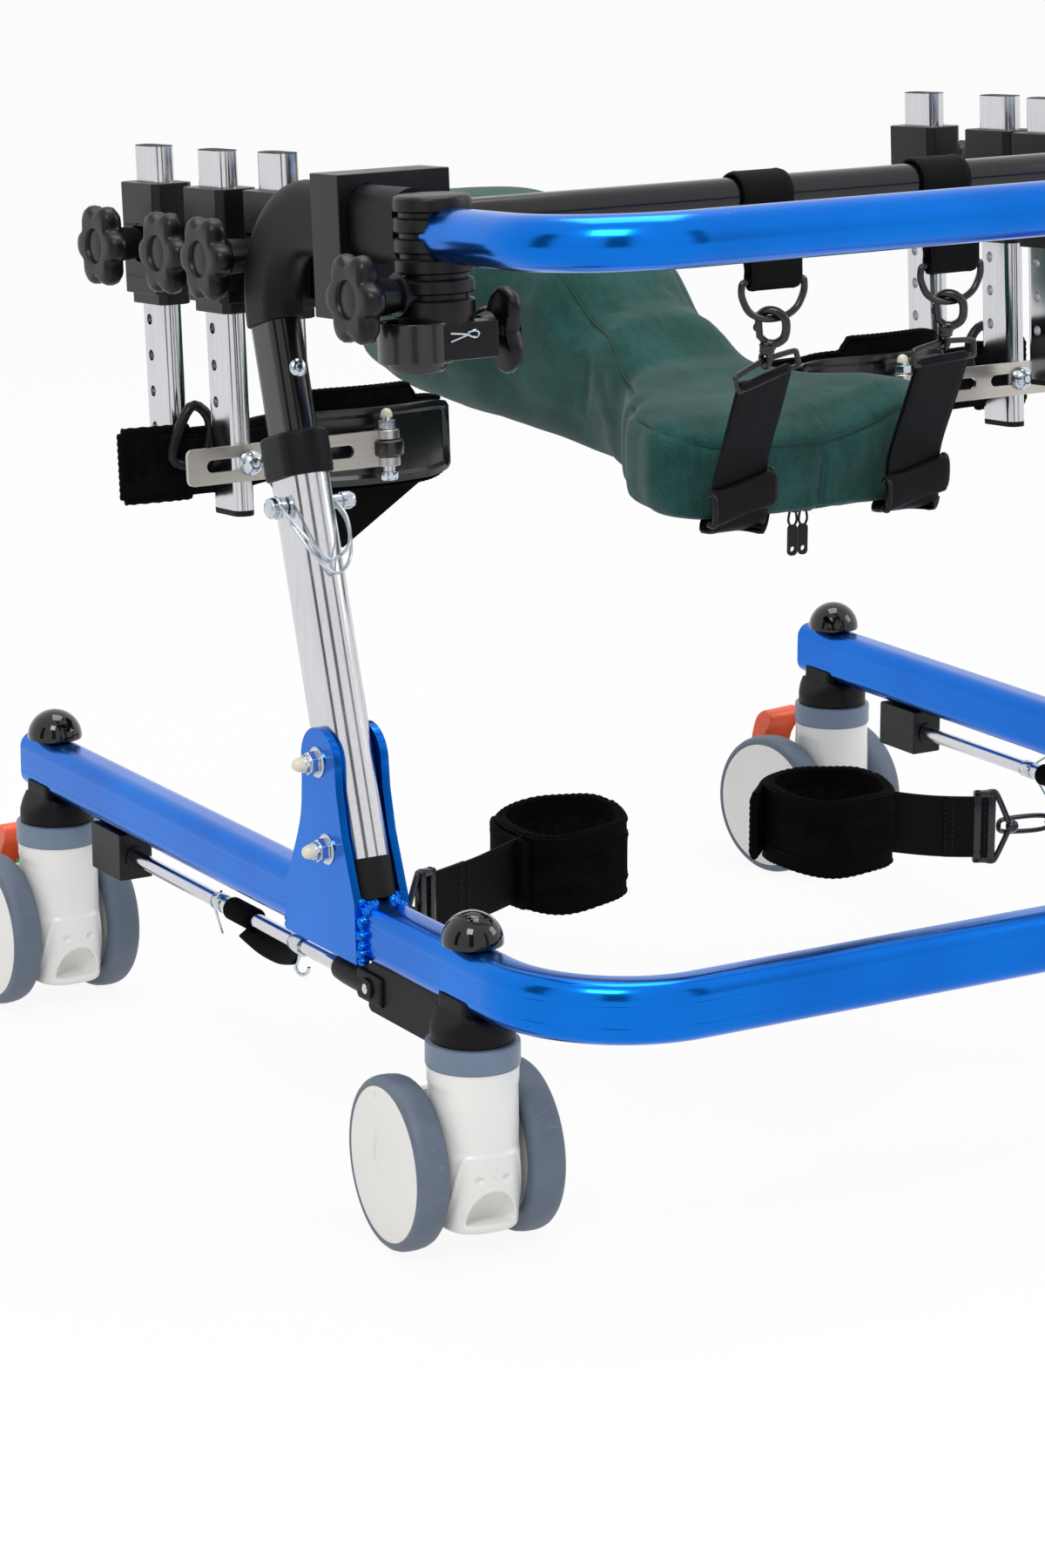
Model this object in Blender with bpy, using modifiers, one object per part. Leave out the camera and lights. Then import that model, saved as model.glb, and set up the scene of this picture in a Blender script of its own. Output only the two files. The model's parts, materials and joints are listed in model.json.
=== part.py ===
"""Pediatric walker: a wheeled gait trainer with a saddle, thigh guides and ankle cuffs.

Metres, +Z up. The walker faces -Y, its left side in the picture is -X, and it stands on z = 0.
Lengths named ..._Y are measured backwards from the front caster stems.
"""
import math

import bmesh
import bpy
from mathutils import Matrix, Vector

GAP = 0.0003             # air between two pieces that touch
RUN = 0.0004             # air round a piece that slides or turns
PAST = 0.010             # how far a cutter runs past what it cuts

# Base frame
STEM_TRACK = 0.616       # between the left and right caster stems
STEM_X = STEM_TRACK / 2
WHEELBASE = 0.535        # between the front and rear caster stems
RAIL_Z = 0.160           # centre of the base tube
TUBE_TALL = 0.036
TUBE_WIDE = 0.026
TUBE_CORNER = 0.0095
BAR_AHEAD = 0.107        # front bar ahead of the front stems
BEND_RADIUS = 0.078
RAIL_TAIL = 0.026        # rail behind the rear stems
NOTCH_LONG = 0.030       # milled seat for the caster socket
NOTCH_DEEP = 0.008
SPINDLE_RADIUS = 0.008

# Leg brackets on the base
PLATE_THICK = 0.005
PLATE_TOP_RADIUS = 0.020
PLATE_TOP_Z = 0.252
PLATE_BASE_FRONT_Y = 0.100
PLATE_BASE_LONG = 0.085
PLATE_WAIST_Z = 0.218
BOLT_RADIUS = 0.004
LOW_BOLT_Z = 0.203
LOW_BOLT_BACK = 0.005    # lower bolt behind the leg's middle

# Telescopic legs
LEG_LEAN = math.radians(17.7)
LEG_FOOT_Y = 0.1225      # leg's middle line at its foot
LEG_FOOT_Z = 0.1853
LEG_WIDE = 0.043         # flat-oval tube, wide along the walker
LEG_WALL = 0.002
LEG_CAVITY_FLOOR = 0.012
LEG_TOP = 0.254          # foot to top, along the leg
COLLAR_LONG = 0.0255
COLLAR_WALL = 0.0030
COLLAR_LIP = 0.0045
UPPER_START = 0.085      # foot to the lower end of the inner tube, along the leg
ELBOW_START = 0.323      # foot to the start of the elbow, along the leg
ELBOW_RADIUS = 0.050
SLEEVE_EXTRA = 0.0022    # elbow sleeve, thicker than the inner tube
LIFT_UP = 0.080          # travel of the upper frame along the legs
LIFT_DOWN = 0.030
PIN_RADIUS = 0.004
PIN_Z = 0.392
PIN_HEAD_RADIUS = 0.006
PIN_HEAD_LONG = 0.011
PIN_TIP = 0.006
BAIL_WIRE = 0.0013

# Casters
WHEEL_RADIUS = 0.050
WHEEL_INNER = 0.025      # caster middle to the inner face of a tyre
TYRE_WIDE = 0.020
DISC_RADIUS = 0.0452
DISC_CROWN = 0.0018
AXLE_RADIUS = 0.0047
TRAIL = 0.0215
COLLAR_RADIUS = 0.0267
CASTER_TOP_Z = 0.124
CASTER_LOW_Z = 0.012
WEB_HALF = 0.018         # half width of the body between the wheels
WELL_AIR = 0.0025
SOCKET_RADIUS = 0.024
STUB_RADIUS = 0.006
STUB_LOW_Z = 0.106
DOME_RADIUS = 0.0177
DOME_LIFT = 0.0018
CASTER_YAW = {"front_left": -5.0, "front_right": 4.0, "rear_left": 1.5, "rear_right": 9.0}
PEDAL_WIDE = 0.030
PEDAL_PIVOT_BACK = 0.0625
PEDAL_PIVOT_Z = 0.066
PEDAL_REACH = 0.098      # pedal tip behind the stem

# Guide rods for the ankle straps
ROD_Z = 0.126
ROD_RADIUS = 0.0048
ROD_BLOCK_AHEAD = 0.116   # block's front face ahead of the rear stems
ROD_BLOCK_Y = WHEELBASE - ROD_BLOCK_AHEAD
ROD_BLOCK_LONG = 0.041
ROD_BLOCK_WIDE = 0.023
ROD_BLOCK_LOW = 0.0145   # block below the rod's middle
ROD_START_Y = 0.150
FORK_BAR_WIDE = 0.012
FORK_BAR_LOW_Z = 0.111
FORK_BAR_CLEAR_Y = 0.030
FORK_BAR_END_Y = 0.098
FORK_SLEEVE_RADIUS = 0.0095

# Upper frame: drawn level, then tipped up at the front about the end of the elbows
TIP = math.radians(4.0)
ELBOW_RISE = ELBOW_RADIUS * (math.sin(LEG_LEAN) + math.cos(TIP))
ARM_Z = LEG_FOOT_Z + ELBOW_START * math.cos(LEG_LEAN) + ELBOW_RISE
HUB_Y = 0.0393
HUB_RADIUS = 0.0215
HUB_RING_RADIUS = 0.0270
HUB_LOW_DROP = 0.0757
HUB_LOW_Z = ARM_Z - HUB_LOW_DROP
HUB_RING_TOP_DROP = 0.0478
HUB_RING_TOP_Z = ARM_Z - HUB_RING_TOP_DROP
HUB_TOP_RISE = 0.0189
HUB_TOP_Z = ARM_Z + HUB_TOP_RISE
HUB_RIBS = 5
HUB_BOSS = 0.003         # knob seat beyond the ribs
HUB_KNOB_DROP = 0.0336
HUB_KNOB_Z = ARM_Z - HUB_KNOB_DROP
HUB_KNOB_INNER = 0.045   # inner knob's middle, inboard of the hub's axis
HUB_KNOB_INNER_DROP = 0.0567
HUB_KNOB_INNER_Z = ARM_Z - HUB_KNOB_INNER_DROP
HAND_RAIL_AHEAD = 0.110
HAND_RAIL_DROP = 0.0026
HAND_RAIL_Z = ARM_Z - HAND_RAIL_DROP
HAND_RAIL_RADIUS = 0.015
HAND_RAIL_BEND = 0.070
CROSS_BAR_Y = 0.092
CROSS_BAR_RADIUS = 0.011

# Star knobs
KNOB_RADIUS = 0.026
KNOB_LONG = 0.014
KNOB_NECK = 0.0165
KNOB_LOBES = 6
STUD_RADIUS = 0.004

# Accessory posts and the rail that carries them
POST_IN = 0.020          # middle and rear posts inboard of the arms
POST_FRONT_IN = 0.028
POST_X = {"front": STEM_X - POST_FRONT_IN, "middle": STEM_X - POST_IN, "rear": STEM_X - POST_IN}
POST_Y = {"front": 0.2663, "middle": 0.3273, "rear": 0.4113}
POST_WIDE = 0.035
POST_THICK = 0.013
POST_DROP = {"front": 0.1531, "middle": 0.1850, "rear": 0.1741}
POST_LOW_Z = {which: ARM_Z - drop for which, drop in POST_DROP.items()}
POST_TOP_RISE = 0.0319
POST_TOP_Z = ARM_Z + POST_TOP_RISE
POST_HOLE_RADIUS = 0.0034
POST_HOLE_PITCH = 0.022
SLEEVE_WALL = 0.007
SLEEVE_LIP_WALL = 0.004
SLEEVE_LIP = 0.0065
SLEEVE_LOW_DROP = 0.0636
SLEEVE_LOW_Z = ARM_Z - SLEEVE_LOW_DROP
SLEEVE_TOP_RISE = 0.0099
SLEEVE_TOP_Z = ARM_Z + SLEEVE_TOP_RISE
POST_RAIL_WIDE = 0.020
POST_RAIL_TALL = 0.028
POST_RAIL_DROP = 0.0381
POST_RAIL_Z = ARM_Z - POST_RAIL_DROP
POST_RAIL_START_Y = 0.110
POST_RAIL_TAIL = 0.033   # rail behind the rear post
ARM_CLAMP_LONG = 0.032
ARM_CLAMP_WALL = 0.006
POST_KNOB_DROP = 0.0261
POST_KNOB_Z = ARM_Z - POST_KNOB_DROP
FRONT_KNOB_NECK = 0.0278

# Thigh guides
GUIDE_RISE = 0.0326      # bolt above the foot of the middle post
GUIDE_Z = POST_LOW_Z["middle"] + GUIDE_RISE
GUIDE_PLATE_TALL = 0.022
GUIDE_PLATE_THICK = 0.003
GUIDE_PLATE_LONG = 0.136
GUIDE_OUT = 0.040        # bar's outer end beyond the middle post
GUIDE_OUTER_X = POST_X["middle"] + GUIDE_OUT
GUIDE_SLOT_TALL = 0.0075
GUIDE_BOLT_IN = 0.0015
GUIDE_BOLT_X = POST_X["middle"] - GUIDE_BOLT_IN
GUIDE_SLOTS = ((0.0125, 0.0660), (0.0780, 0.1120))  # from the bar's outer end
HINGE_PIN_RADIUS = 0.004
HINGE_EYE_RADIUS = 0.0075
HINGE_PIN_TALL = 0.040
KNUCKLE_TALL = 0.010
PAD_ARC_RADIUS = 0.105
PAD_THICK = 0.010
PAD_TALL = 0.047
PAD_SPREAD = math.radians(33.0)
PAD_BACK = 0.012         # pad's outer face behind the hinge pin
PAD_IN = 0.003           # pad's middle inboard of the hinge pin
THIGH_STRAP_TALL = 0.040
THIGH_STRAP_THICK = 0.006

# Saddle and its straps
SADDLE_FRONT_Y = 0.114
SADDLE_LONG = 0.470
SADDLE_LOW_DROP = 0.1921
SADDLE_LOW_Z = ARM_Z - SADDLE_LOW_DROP
SADDLE_NOSE_BOW = 0.027  # front corners behind the middle of the nose
SADDLE_STATIONS = (
    # share of length, half width, underside, top
    (0.000, 0.080, 0.010, 0.044),
    (0.015, 0.100, 0.003, 0.052),
    (0.060, 0.108, 0.000, 0.060),
    (0.130, 0.104, 0.000, 0.064),
    (0.200, 0.082, 0.001, 0.066),
    (0.290, 0.056, 0.003, 0.072),
    (0.390, 0.050, 0.005, 0.098),
    (0.520, 0.058, 0.009, 0.132),
    (0.680, 0.070, 0.013, 0.146),
    (0.840, 0.076, 0.017, 0.150),
    (0.950, 0.070, 0.024, 0.146),
    (0.990, 0.054, 0.036, 0.134),
    (1.000, 0.036, 0.050, 0.120),
)
STRAP_X = 0.062
STRAP_WIDE = 0.038
STRAP_THICK = 0.004
STRAP_TOP_Y = 0.080
STRAP_UNDER = 0.032      # sewn end behind the nose's edge
STRAP_KNEE_UP = 0.040
STRAP_TOP_DROP = 0.0841
STRAP_TOP_Z = ARM_Z - STRAP_TOP_DROP
SLIDER_TALL = 0.024
SLIDER_THICK = 0.009
SLIDER_WIDE = 0.044
RING_RADIUS = 0.020
RING_WIRE = 0.0022
RING_DROP = 0.0361
RING_Z = ARM_Z - RING_DROP
HOOK_WIDE = 0.010
TAIL_STRAP_X = 0.0735    # rear straps' ends beside the tail
TAIL_STRAP_UP = 0.100

# Ankle cuffs
CUFF_PLACE = {"left": (0.108, 0.232), "right": (0.076, 0.208)}
WEB_END = {"left": (0.235, 0.186), "right": (0.168, 0.158)}
CARRIER_Y = {"left": 0.200, "right": 0.172}
CUFF_LOW_Z = 0.115
CUFF_TALL = 0.052
CUFF_HALF_X = 0.037
CUFF_HALF_Y = 0.044
CUFF_WALL = 0.007
CUFF_STRAP_TALL = 0.036
CUFF_STRAP_THICK = 0.004
CARRIER_LONG = 0.020
CARRIER_WALL = 0.0024

SIDES = (("left", -1.0), ("right", 1.0))
LEG_THICK = TUBE_WIDE - 2 * GAP
UPPER_WIDE = LEG_WIDE - 2 * LEG_WALL - 2 * RUN
UPPER_THICK = LEG_THICK - 2 * LEG_WALL - 2 * RUN
SLEEVE_WIDE = UPPER_WIDE + 2 * SLEEVE_EXTRA
SLEEVE_THICK = UPPER_THICK + 2 * SLEEVE_EXTRA
FRONT_REACH = HAND_RAIL_AHEAD + HAND_RAIL_RADIUS
OVERALL = FRONT_REACH + WHEELBASE + PEDAL_REACH
FRONT_STEM = FRONT_REACH - OVERALL / 2


def from_front(y):
    """Turns a distance behind the front stems into a Y coordinate."""
    return FRONT_STEM + y


def tipped():
    """The turn that tips the level upper frame about the end of the elbows."""
    pivot = Matrix.Translation((0, *elbow_end()))
    return pivot @ Matrix.Rotation(-TIP, 4, "X") @ pivot.inverted()


for old in list(bpy.data.objects):
    bpy.data.objects.remove(old, do_unlink=True)

parts = bpy.data.collections.new("pediatric_walker")
guides = bpy.data.collections.new("cutters")
bpy.context.scene.collection.children.link(parts)
bpy.context.scene.collection.children.link(guides)


# Materials

FINISHES = {
    "blue_lacquer": ((0.02, 0.13, 0.62), 0.25, 0.75),
    "polished_aluminium": ((0.78, 0.78, 0.80), 0.15, 1.0),
    "black_plastic": ((0.030, 0.030, 0.033), 0.50, 0.0),
    "gloss_black": ((0.012, 0.012, 0.014), 0.12, 0.0),
    "zinc_steel": ((0.62, 0.66, 0.70), 0.25, 1.0),
    "brushed_steel": ((0.60, 0.58, 0.55), 0.32, 1.0),
    "white_plastic": ((0.78, 0.78, 0.75), 0.35, 0.0),
    "grey_tyre": ((0.105, 0.130, 0.165), 0.60, 0.0),
    "orange_plastic": ((1.0, 0.16, 0.045), 0.40, 0.0),
    "green_velour": ((0.018, 0.062, 0.050), 0.95, 0.0),
    "black_webbing": ((0.012, 0.012, 0.014), 0.65, 0.0),
    "black_neoprene": ((0.008, 0.008, 0.009), 0.95, 0.0),
}


def finish(piece, kind):
    """Gives a piece its own material."""
    colour, roughness, metallic = FINISHES[kind]
    material = bpy.data.materials.new(piece.name + "_" + kind)
    material.use_nodes = True
    shader = material.node_tree.nodes["Principled BSDF"]
    shader.inputs["Base Color"].default_value = (*colour, 1.0)
    shader.inputs["Roughness"].default_value = roughness
    shader.inputs["Metallic"].default_value = metallic
    piece.data.materials.clear()
    piece.data.materials.append(material)


# Outlines

def arc(centre, radius, start, end, count):
    """Points on an arc, both ends included, angles in degrees."""
    angles = [math.radians(start + (end - start) * i / count) for i in range(count + 1)]
    return [(centre[0] + radius * math.cos(a), centre[1] + radius * math.sin(a)) for a in angles]


def rounded_rectangle(wide, tall, radius, count=2):
    """A rectangle with round corners, about the origin."""
    x = wide / 2 - radius
    y = tall / 2 - radius
    corners = ((x, y, 0), (-x, y, 90), (-x, -y, 180), (x, -y, 270))
    return [point for cx, cy, turn in corners for point in arc((cx, cy), radius, turn, turn + 90, count)]


def flat_oval(wide, thick, count=4):
    """A flat oval with its long way along the first coordinate."""
    x = (wide - thick) / 2
    return arc((x, 0), thick / 2, -90, 90, count) + arc((-x, 0), thick / 2, 90, 270, count)


def oval(half_x, half_y, power, count=16):
    """A superellipse: power 2 is an ellipse, and more is squarer."""
    points = []
    for i in range(count):
        a = math.tau * i / count
        c, s = math.cos(a), math.sin(a)
        points.append((math.copysign(abs(c) ** (2 / power), c) * half_x,
                       math.copysign(abs(s) ** (2 / power), s) * half_y))
    return points


# Making solids

def add(name, mesh, collection=parts):
    piece = bpy.data.objects.new(name, mesh)
    collection.objects.link(piece)
    return piece


def mesh_from(name, bm):
    mesh = bpy.data.meshes.new(name)
    bmesh.ops.recalc_face_normals(bm, faces=bm.faces)
    bm.to_mesh(mesh)
    bm.free()
    return mesh


def loft(name, rings):
    """Joins rings of equally many points into a closed solid."""
    bm = bmesh.new()
    rows = [[bm.verts.new(point) for point in ring] for ring in rings]
    for low, high in zip(rows, rows[1:]):
        for i in range(len(low)):
            j = (i + 1) % len(low)
            bm.faces.new((low[i], low[j], high[j], high[i]))
    bm.faces.new(rows[0])
    bm.faces.new(rows[-1])
    return add(name, mesh_from(name, bm))


def box(name, size, centre):
    bm = bmesh.new()
    bmesh.ops.create_cube(bm, size=1.0)
    bmesh.ops.scale(bm, vec=size, verts=bm.verts)
    bmesh.ops.translate(bm, vec=centre, verts=bm.verts)
    return add(name, mesh_from(name, bm))


def rod(name, radius, start, end, sides=16):
    """A round bar between two points."""
    start, end = Vector(start), Vector(end)
    bm = bmesh.new()
    turn = (end - start).to_track_quat("Z", "X").to_matrix().to_4x4()
    place = Matrix.Translation((start + end) / 2) @ turn
    bmesh.ops.create_cone(bm, cap_ends=True, segments=sides, radius1=radius, radius2=radius,
                          depth=(end - start).length, matrix=place)
    return add(name, mesh_from(name, bm))


def to_mesh(piece):
    """Turns a curve into a welded mesh at the same place."""
    bpy.context.view_layer.update()
    evaluated = piece.evaluated_get(bpy.context.evaluated_depsgraph_get())
    mesh = bpy.data.meshes.new_from_object(evaluated)
    bm = bmesh.new()
    bm.from_mesh(mesh)
    bmesh.ops.remove_doubles(bm, verts=bm.verts, dist=0.00001)
    bmesh.ops.recalc_face_normals(bm, faces=bm.faces)
    bm.to_mesh(mesh)
    bm.free()
    name = piece.name
    place = piece.matrix_world.copy()
    bpy.data.objects.remove(piece, do_unlink=True)
    made = add(name, mesh)
    made.matrix_world = place
    return made


def plate(name, outline, thick, place, holes=()):
    """A flat outline with holes, thickened evenly about its plane."""
    curve = bpy.data.curves.new(name, "CURVE")
    curve.dimensions = "2D"
    curve.fill_mode = "BOTH"
    curve.extrude = thick / 2
    curve.render_resolution_u = 0
    for points in (outline, *holes):
        spline = curve.splines.new("POLY")
        spline.points.add(len(points) - 1)
        for target, point in zip(spline.points, points):
            target.co = (*point, 0.0, 1.0)
        spline.use_cyclic_u = True
    piece = add(name, curve)
    piece.matrix_world = place
    return to_mesh(piece)


def side_plate(name, outline, thick, x, holes=()):
    """A plate whose outline is given as (y, z), standing across X."""
    place = Matrix(((0, 0, 1, x), (1, 0, 0, 0), (0, 1, 0, 0), (0, 0, 0, 1)))
    return plate(name, outline, thick, place, holes)


def pipe(name, points, radius, resolution=2):
    """A round tube through points."""
    curve = bpy.data.curves.new(name, "CURVE")
    curve.dimensions = "3D"
    curve.bevel_depth = radius
    curve.bevel_resolution = resolution
    curve.use_fill_caps = True
    curve.render_resolution_u = 0
    spline = curve.splines.new("POLY")
    spline.points.add(len(points) - 1)
    for target, point in zip(spline.points, points):
        target.co = (*point, 1.0)
    return to_mesh(add(name, curve))


def swept(name, points, section):
    """A tube of any section along a level path."""
    outline = bpy.data.curves.new(name + "_section", "CURVE")
    outline.dimensions = "2D"
    spline = outline.splines.new("POLY")
    spline.points.add(len(section) - 1)
    for target, point in zip(spline.points, section):
        target.co = (*point, 0.0, 1.0)
    spline.use_cyclic_u = True
    shape = add(name + "_section", outline, guides)
    curve = bpy.data.curves.new(name, "CURVE")
    curve.dimensions = "3D"
    curve.twist_mode = "Z_UP"
    curve.bevel_mode = "OBJECT"
    curve.bevel_object = shape
    curve.use_fill_caps = True
    curve.render_resolution_u = 0
    spline = curve.splines.new("POLY")
    spline.points.add(len(points) - 1)
    for target, point in zip(spline.points, points):
        target.co = (*point, 1.0)
    made = to_mesh(add(name, curve))
    bpy.data.objects.remove(shape, do_unlink=True)
    return made


def turned(name, profile, steps=24):
    """Turns a profile of (radius, height), top to bottom, about Z."""
    bm = bmesh.new()
    verts = [bm.verts.new((r, 0, z)) for r, z in profile]
    for a, b in zip(verts, verts[1:]):
        bm.edges.new((a, b))
    mesh = bpy.data.meshes.new(name)
    bm.to_mesh(mesh)
    bm.free()
    piece = add(name, mesh)
    screw = piece.modifiers.new("turn", "SCREW")
    screw.steps = steps
    screw.render_steps = steps
    screw.use_merge_vertices = True
    screw.merge_threshold = 0.00005
    screw.use_normal_calculate = True
    return to_mesh(piece)


def combine(piece, tool, operation):
    """Cuts or joins a hidden tool with a piece."""
    for collection in list(tool.users_collection):
        collection.objects.unlink(tool)
    guides.objects.link(tool)
    tool.hide_render = True
    tool.display_type = "WIRE"
    tool.name = "tool_" + tool.name
    modifier = piece.modifiers.new(tool.name, "BOOLEAN")
    modifier.operation = operation
    modifier.object = tool
    modifier.solver = "EXACT"


def cut(piece, *tools):
    for tool in tools:
        combine(piece, tool, "DIFFERENCE")


def join(piece, *tools):
    for tool in tools:
        combine(piece, tool, "UNION")


def hold(name, place):
    """An empty that carries moving pieces on their joint's axis."""
    empty = bpy.data.objects.new(name, None)
    parts.objects.link(empty)
    empty.matrix_world = place
    return empty


def tools_of(piece):
    return [modifier.object for modifier in piece.modifiers if modifier.type == "BOOLEAN"]


def carry(empty, *pieces):
    """Hangs pieces and their tools under an empty, in coordinates local to it."""
    for piece in pieces:
        for item in [piece, *tools_of(piece)]:
            item.parent = empty


def seat(piece, empty):
    """Hangs a piece that is drawn in world coordinates under an empty."""
    for item in [piece, *tools_of(piece)]:
        item.parent = empty
        item.matrix_parent_inverse = empty.matrix_world.inverted()


def smooth(piece, angle=35):
    piece.data.shade_smooth()
    piece.data.set_sharp_from_angle(angle=math.radians(angle))


# Places on the leaning legs

LEG_UP = Vector((0, math.sin(LEG_LEAN), math.cos(LEG_LEAN)))
LEG_FORE = Vector((0, math.cos(LEG_LEAN), -math.sin(LEG_LEAN)))


def on_leg(side, along, back=0.0, out=0.0):
    """A point given by its distance along a leg, behind and outside its middle line."""
    foot = Vector((side * (STEM_X + out), from_front(LEG_FOOT_Y), LEG_FOOT_Z))
    return foot + LEG_UP * along + LEG_FORE * back


def leg_at_height(z):
    """Distance along the leg to a height."""
    return (z - LEG_FOOT_Z) / math.cos(LEG_LEAN)


def leg_ring(side, along, wide, thick):
    """A flat-oval ring across a leg."""
    return [on_leg(side, along, a, b) for a, b in flat_oval(wide, thick)]


def leg_prism(name, side, start, end, wide, thick):
    return loft(name, [leg_ring(side, start, wide, thick), leg_ring(side, end, wide, thick)])


# Base frame

def level_path(half_width, front, back, bend, z, steps=8):
    """A U seen from above, from the rear left end round the front to the rear right end."""
    turn = arc((-half_width + bend, front + bend), bend, 180, 270, steps)
    left = [(-half_width, back)] + turn
    right = [(-x, y) for x, y in reversed(left)]
    return [(x, y, z) for x, y in left + right]


def bracket_outline():
    """One leg bracket plate, as (y, z)."""
    top_y = on_leg(1, leg_at_height(PLATE_TOP_Z)).y
    base = from_front(PLATE_BASE_FRONT_Y)
    low = RAIL_Z - TUBE_TALL / 2 + GAP
    rear_waist = (top_y + PLATE_TOP_RADIUS - 0.0015, PLATE_WAIST_Z)
    front_waist = (top_y - PLATE_TOP_RADIUS - 0.008, PLATE_WAIST_Z - 0.008)
    crown = arc((top_y, PLATE_TOP_Z), PLATE_TOP_RADIUS, 0, 180, 10)
    return [(base, low), (base + PLATE_BASE_LONG, low), rear_waist, *crown, front_waist]


def bolt_places():
    """Middles of the two bolts through a leg, as (y, z)."""
    high = on_leg(1, leg_at_height(PLATE_TOP_Z))
    low = on_leg(1, leg_at_height(LOW_BOLT_Z))
    return ((high.y, PLATE_TOP_Z), (low.y + LOW_BOLT_BACK, LOW_BOLT_Z))


def stem_places():
    for end, y in (("front", 0.0), ("rear", WHEELBASE)):
        for side_name, side in SIDES:
            yield end + "_" + side_name, side * STEM_X, from_front(y)


def base_frame():
    back = from_front(WHEELBASE) + RAIL_TAIL
    path = level_path(STEM_X, from_front(-BAR_AHEAD), back, BEND_RADIUS, RAIL_Z)
    frame = swept("base_frame", path, rounded_rectangle(TUBE_WIDE, TUBE_TALL, TUBE_CORNER))
    inset = 0.0002
    for side_name, side in SIDES:
        for face in (-1, 1):
            x = side * STEM_X + face * (TUBE_WIDE / 2 + PLATE_THICK / 2 - inset)
            holes = [arc(place, BOLT_RADIUS + GAP, 0, 330, 11) for place in bolt_places()]
            name = f"bracket_{side_name}_{face}"
            join(frame, side_plate(name, bracket_outline(), PLATE_THICK, x, holes))
    for name, x, y in stem_places():
        low = RAIL_Z - TUBE_TALL / 2
        size = (TUBE_WIDE + 2 * PAST, NOTCH_LONG, 2 * NOTCH_DEEP)
        cut(frame, box("notch_" + name, size, (x, y, low)),
            rod("stem_hole_" + name, SPINDLE_RADIUS + GAP, (x, y, low), (x, y, RAIL_Z + TUBE_TALL), 12))
    smooth(frame)
    finish(frame, "blue_lacquer")


def stem(name, x, y):
    """Socket under the rail, spindle through it and dome on top, in one turned and lofted piece."""
    low = RAIL_Z - TUBE_TALL / 2
    top = RAIL_Z + TUBE_TALL / 2
    tab = (TUBE_WIDE / 2 + GAP, NOTCH_LONG / 2 - GAP)
    sections = [
        (STUB_RADIUS, STUB_RADIUS, 2, STUB_LOW_Z),
        (STUB_RADIUS, STUB_RADIUS, 2, CASTER_TOP_Z + GAP),
        (SOCKET_RADIUS, SOCKET_RADIUS, 2, CASTER_TOP_Z + GAP),
        (SOCKET_RADIUS, SOCKET_RADIUS, 2, CASTER_TOP_Z + 0.005),
        (tab[0] + 0.001, SOCKET_RADIUS - 0.003, 4, low - GAP),
        (*tab, 12, low - GAP),
        (*tab, 12, low + NOTCH_DEEP - GAP),
        (SPINDLE_RADIUS, SPINDLE_RADIUS, 2, low + NOTCH_DEEP - GAP),
        (SPINDLE_RADIUS, SPINDLE_RADIUS, 2, top + DOME_LIFT),
    ]
    for degrees in (0, 22, 42, 60, 76):
        a = math.radians(degrees)
        r = DOME_RADIUS * math.cos(a)
        sections.append((r, r, 2, top + DOME_LIFT + DOME_RADIUS * math.sin(a)))
    rings = [[(x + a, y + b, z) for a, b in oval(hx, hy, power)] for hx, hy, power, z in sections]
    piece = loft("stem_" + name, rings)
    smooth(piece)
    finish(piece, "gloss_black")


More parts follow.
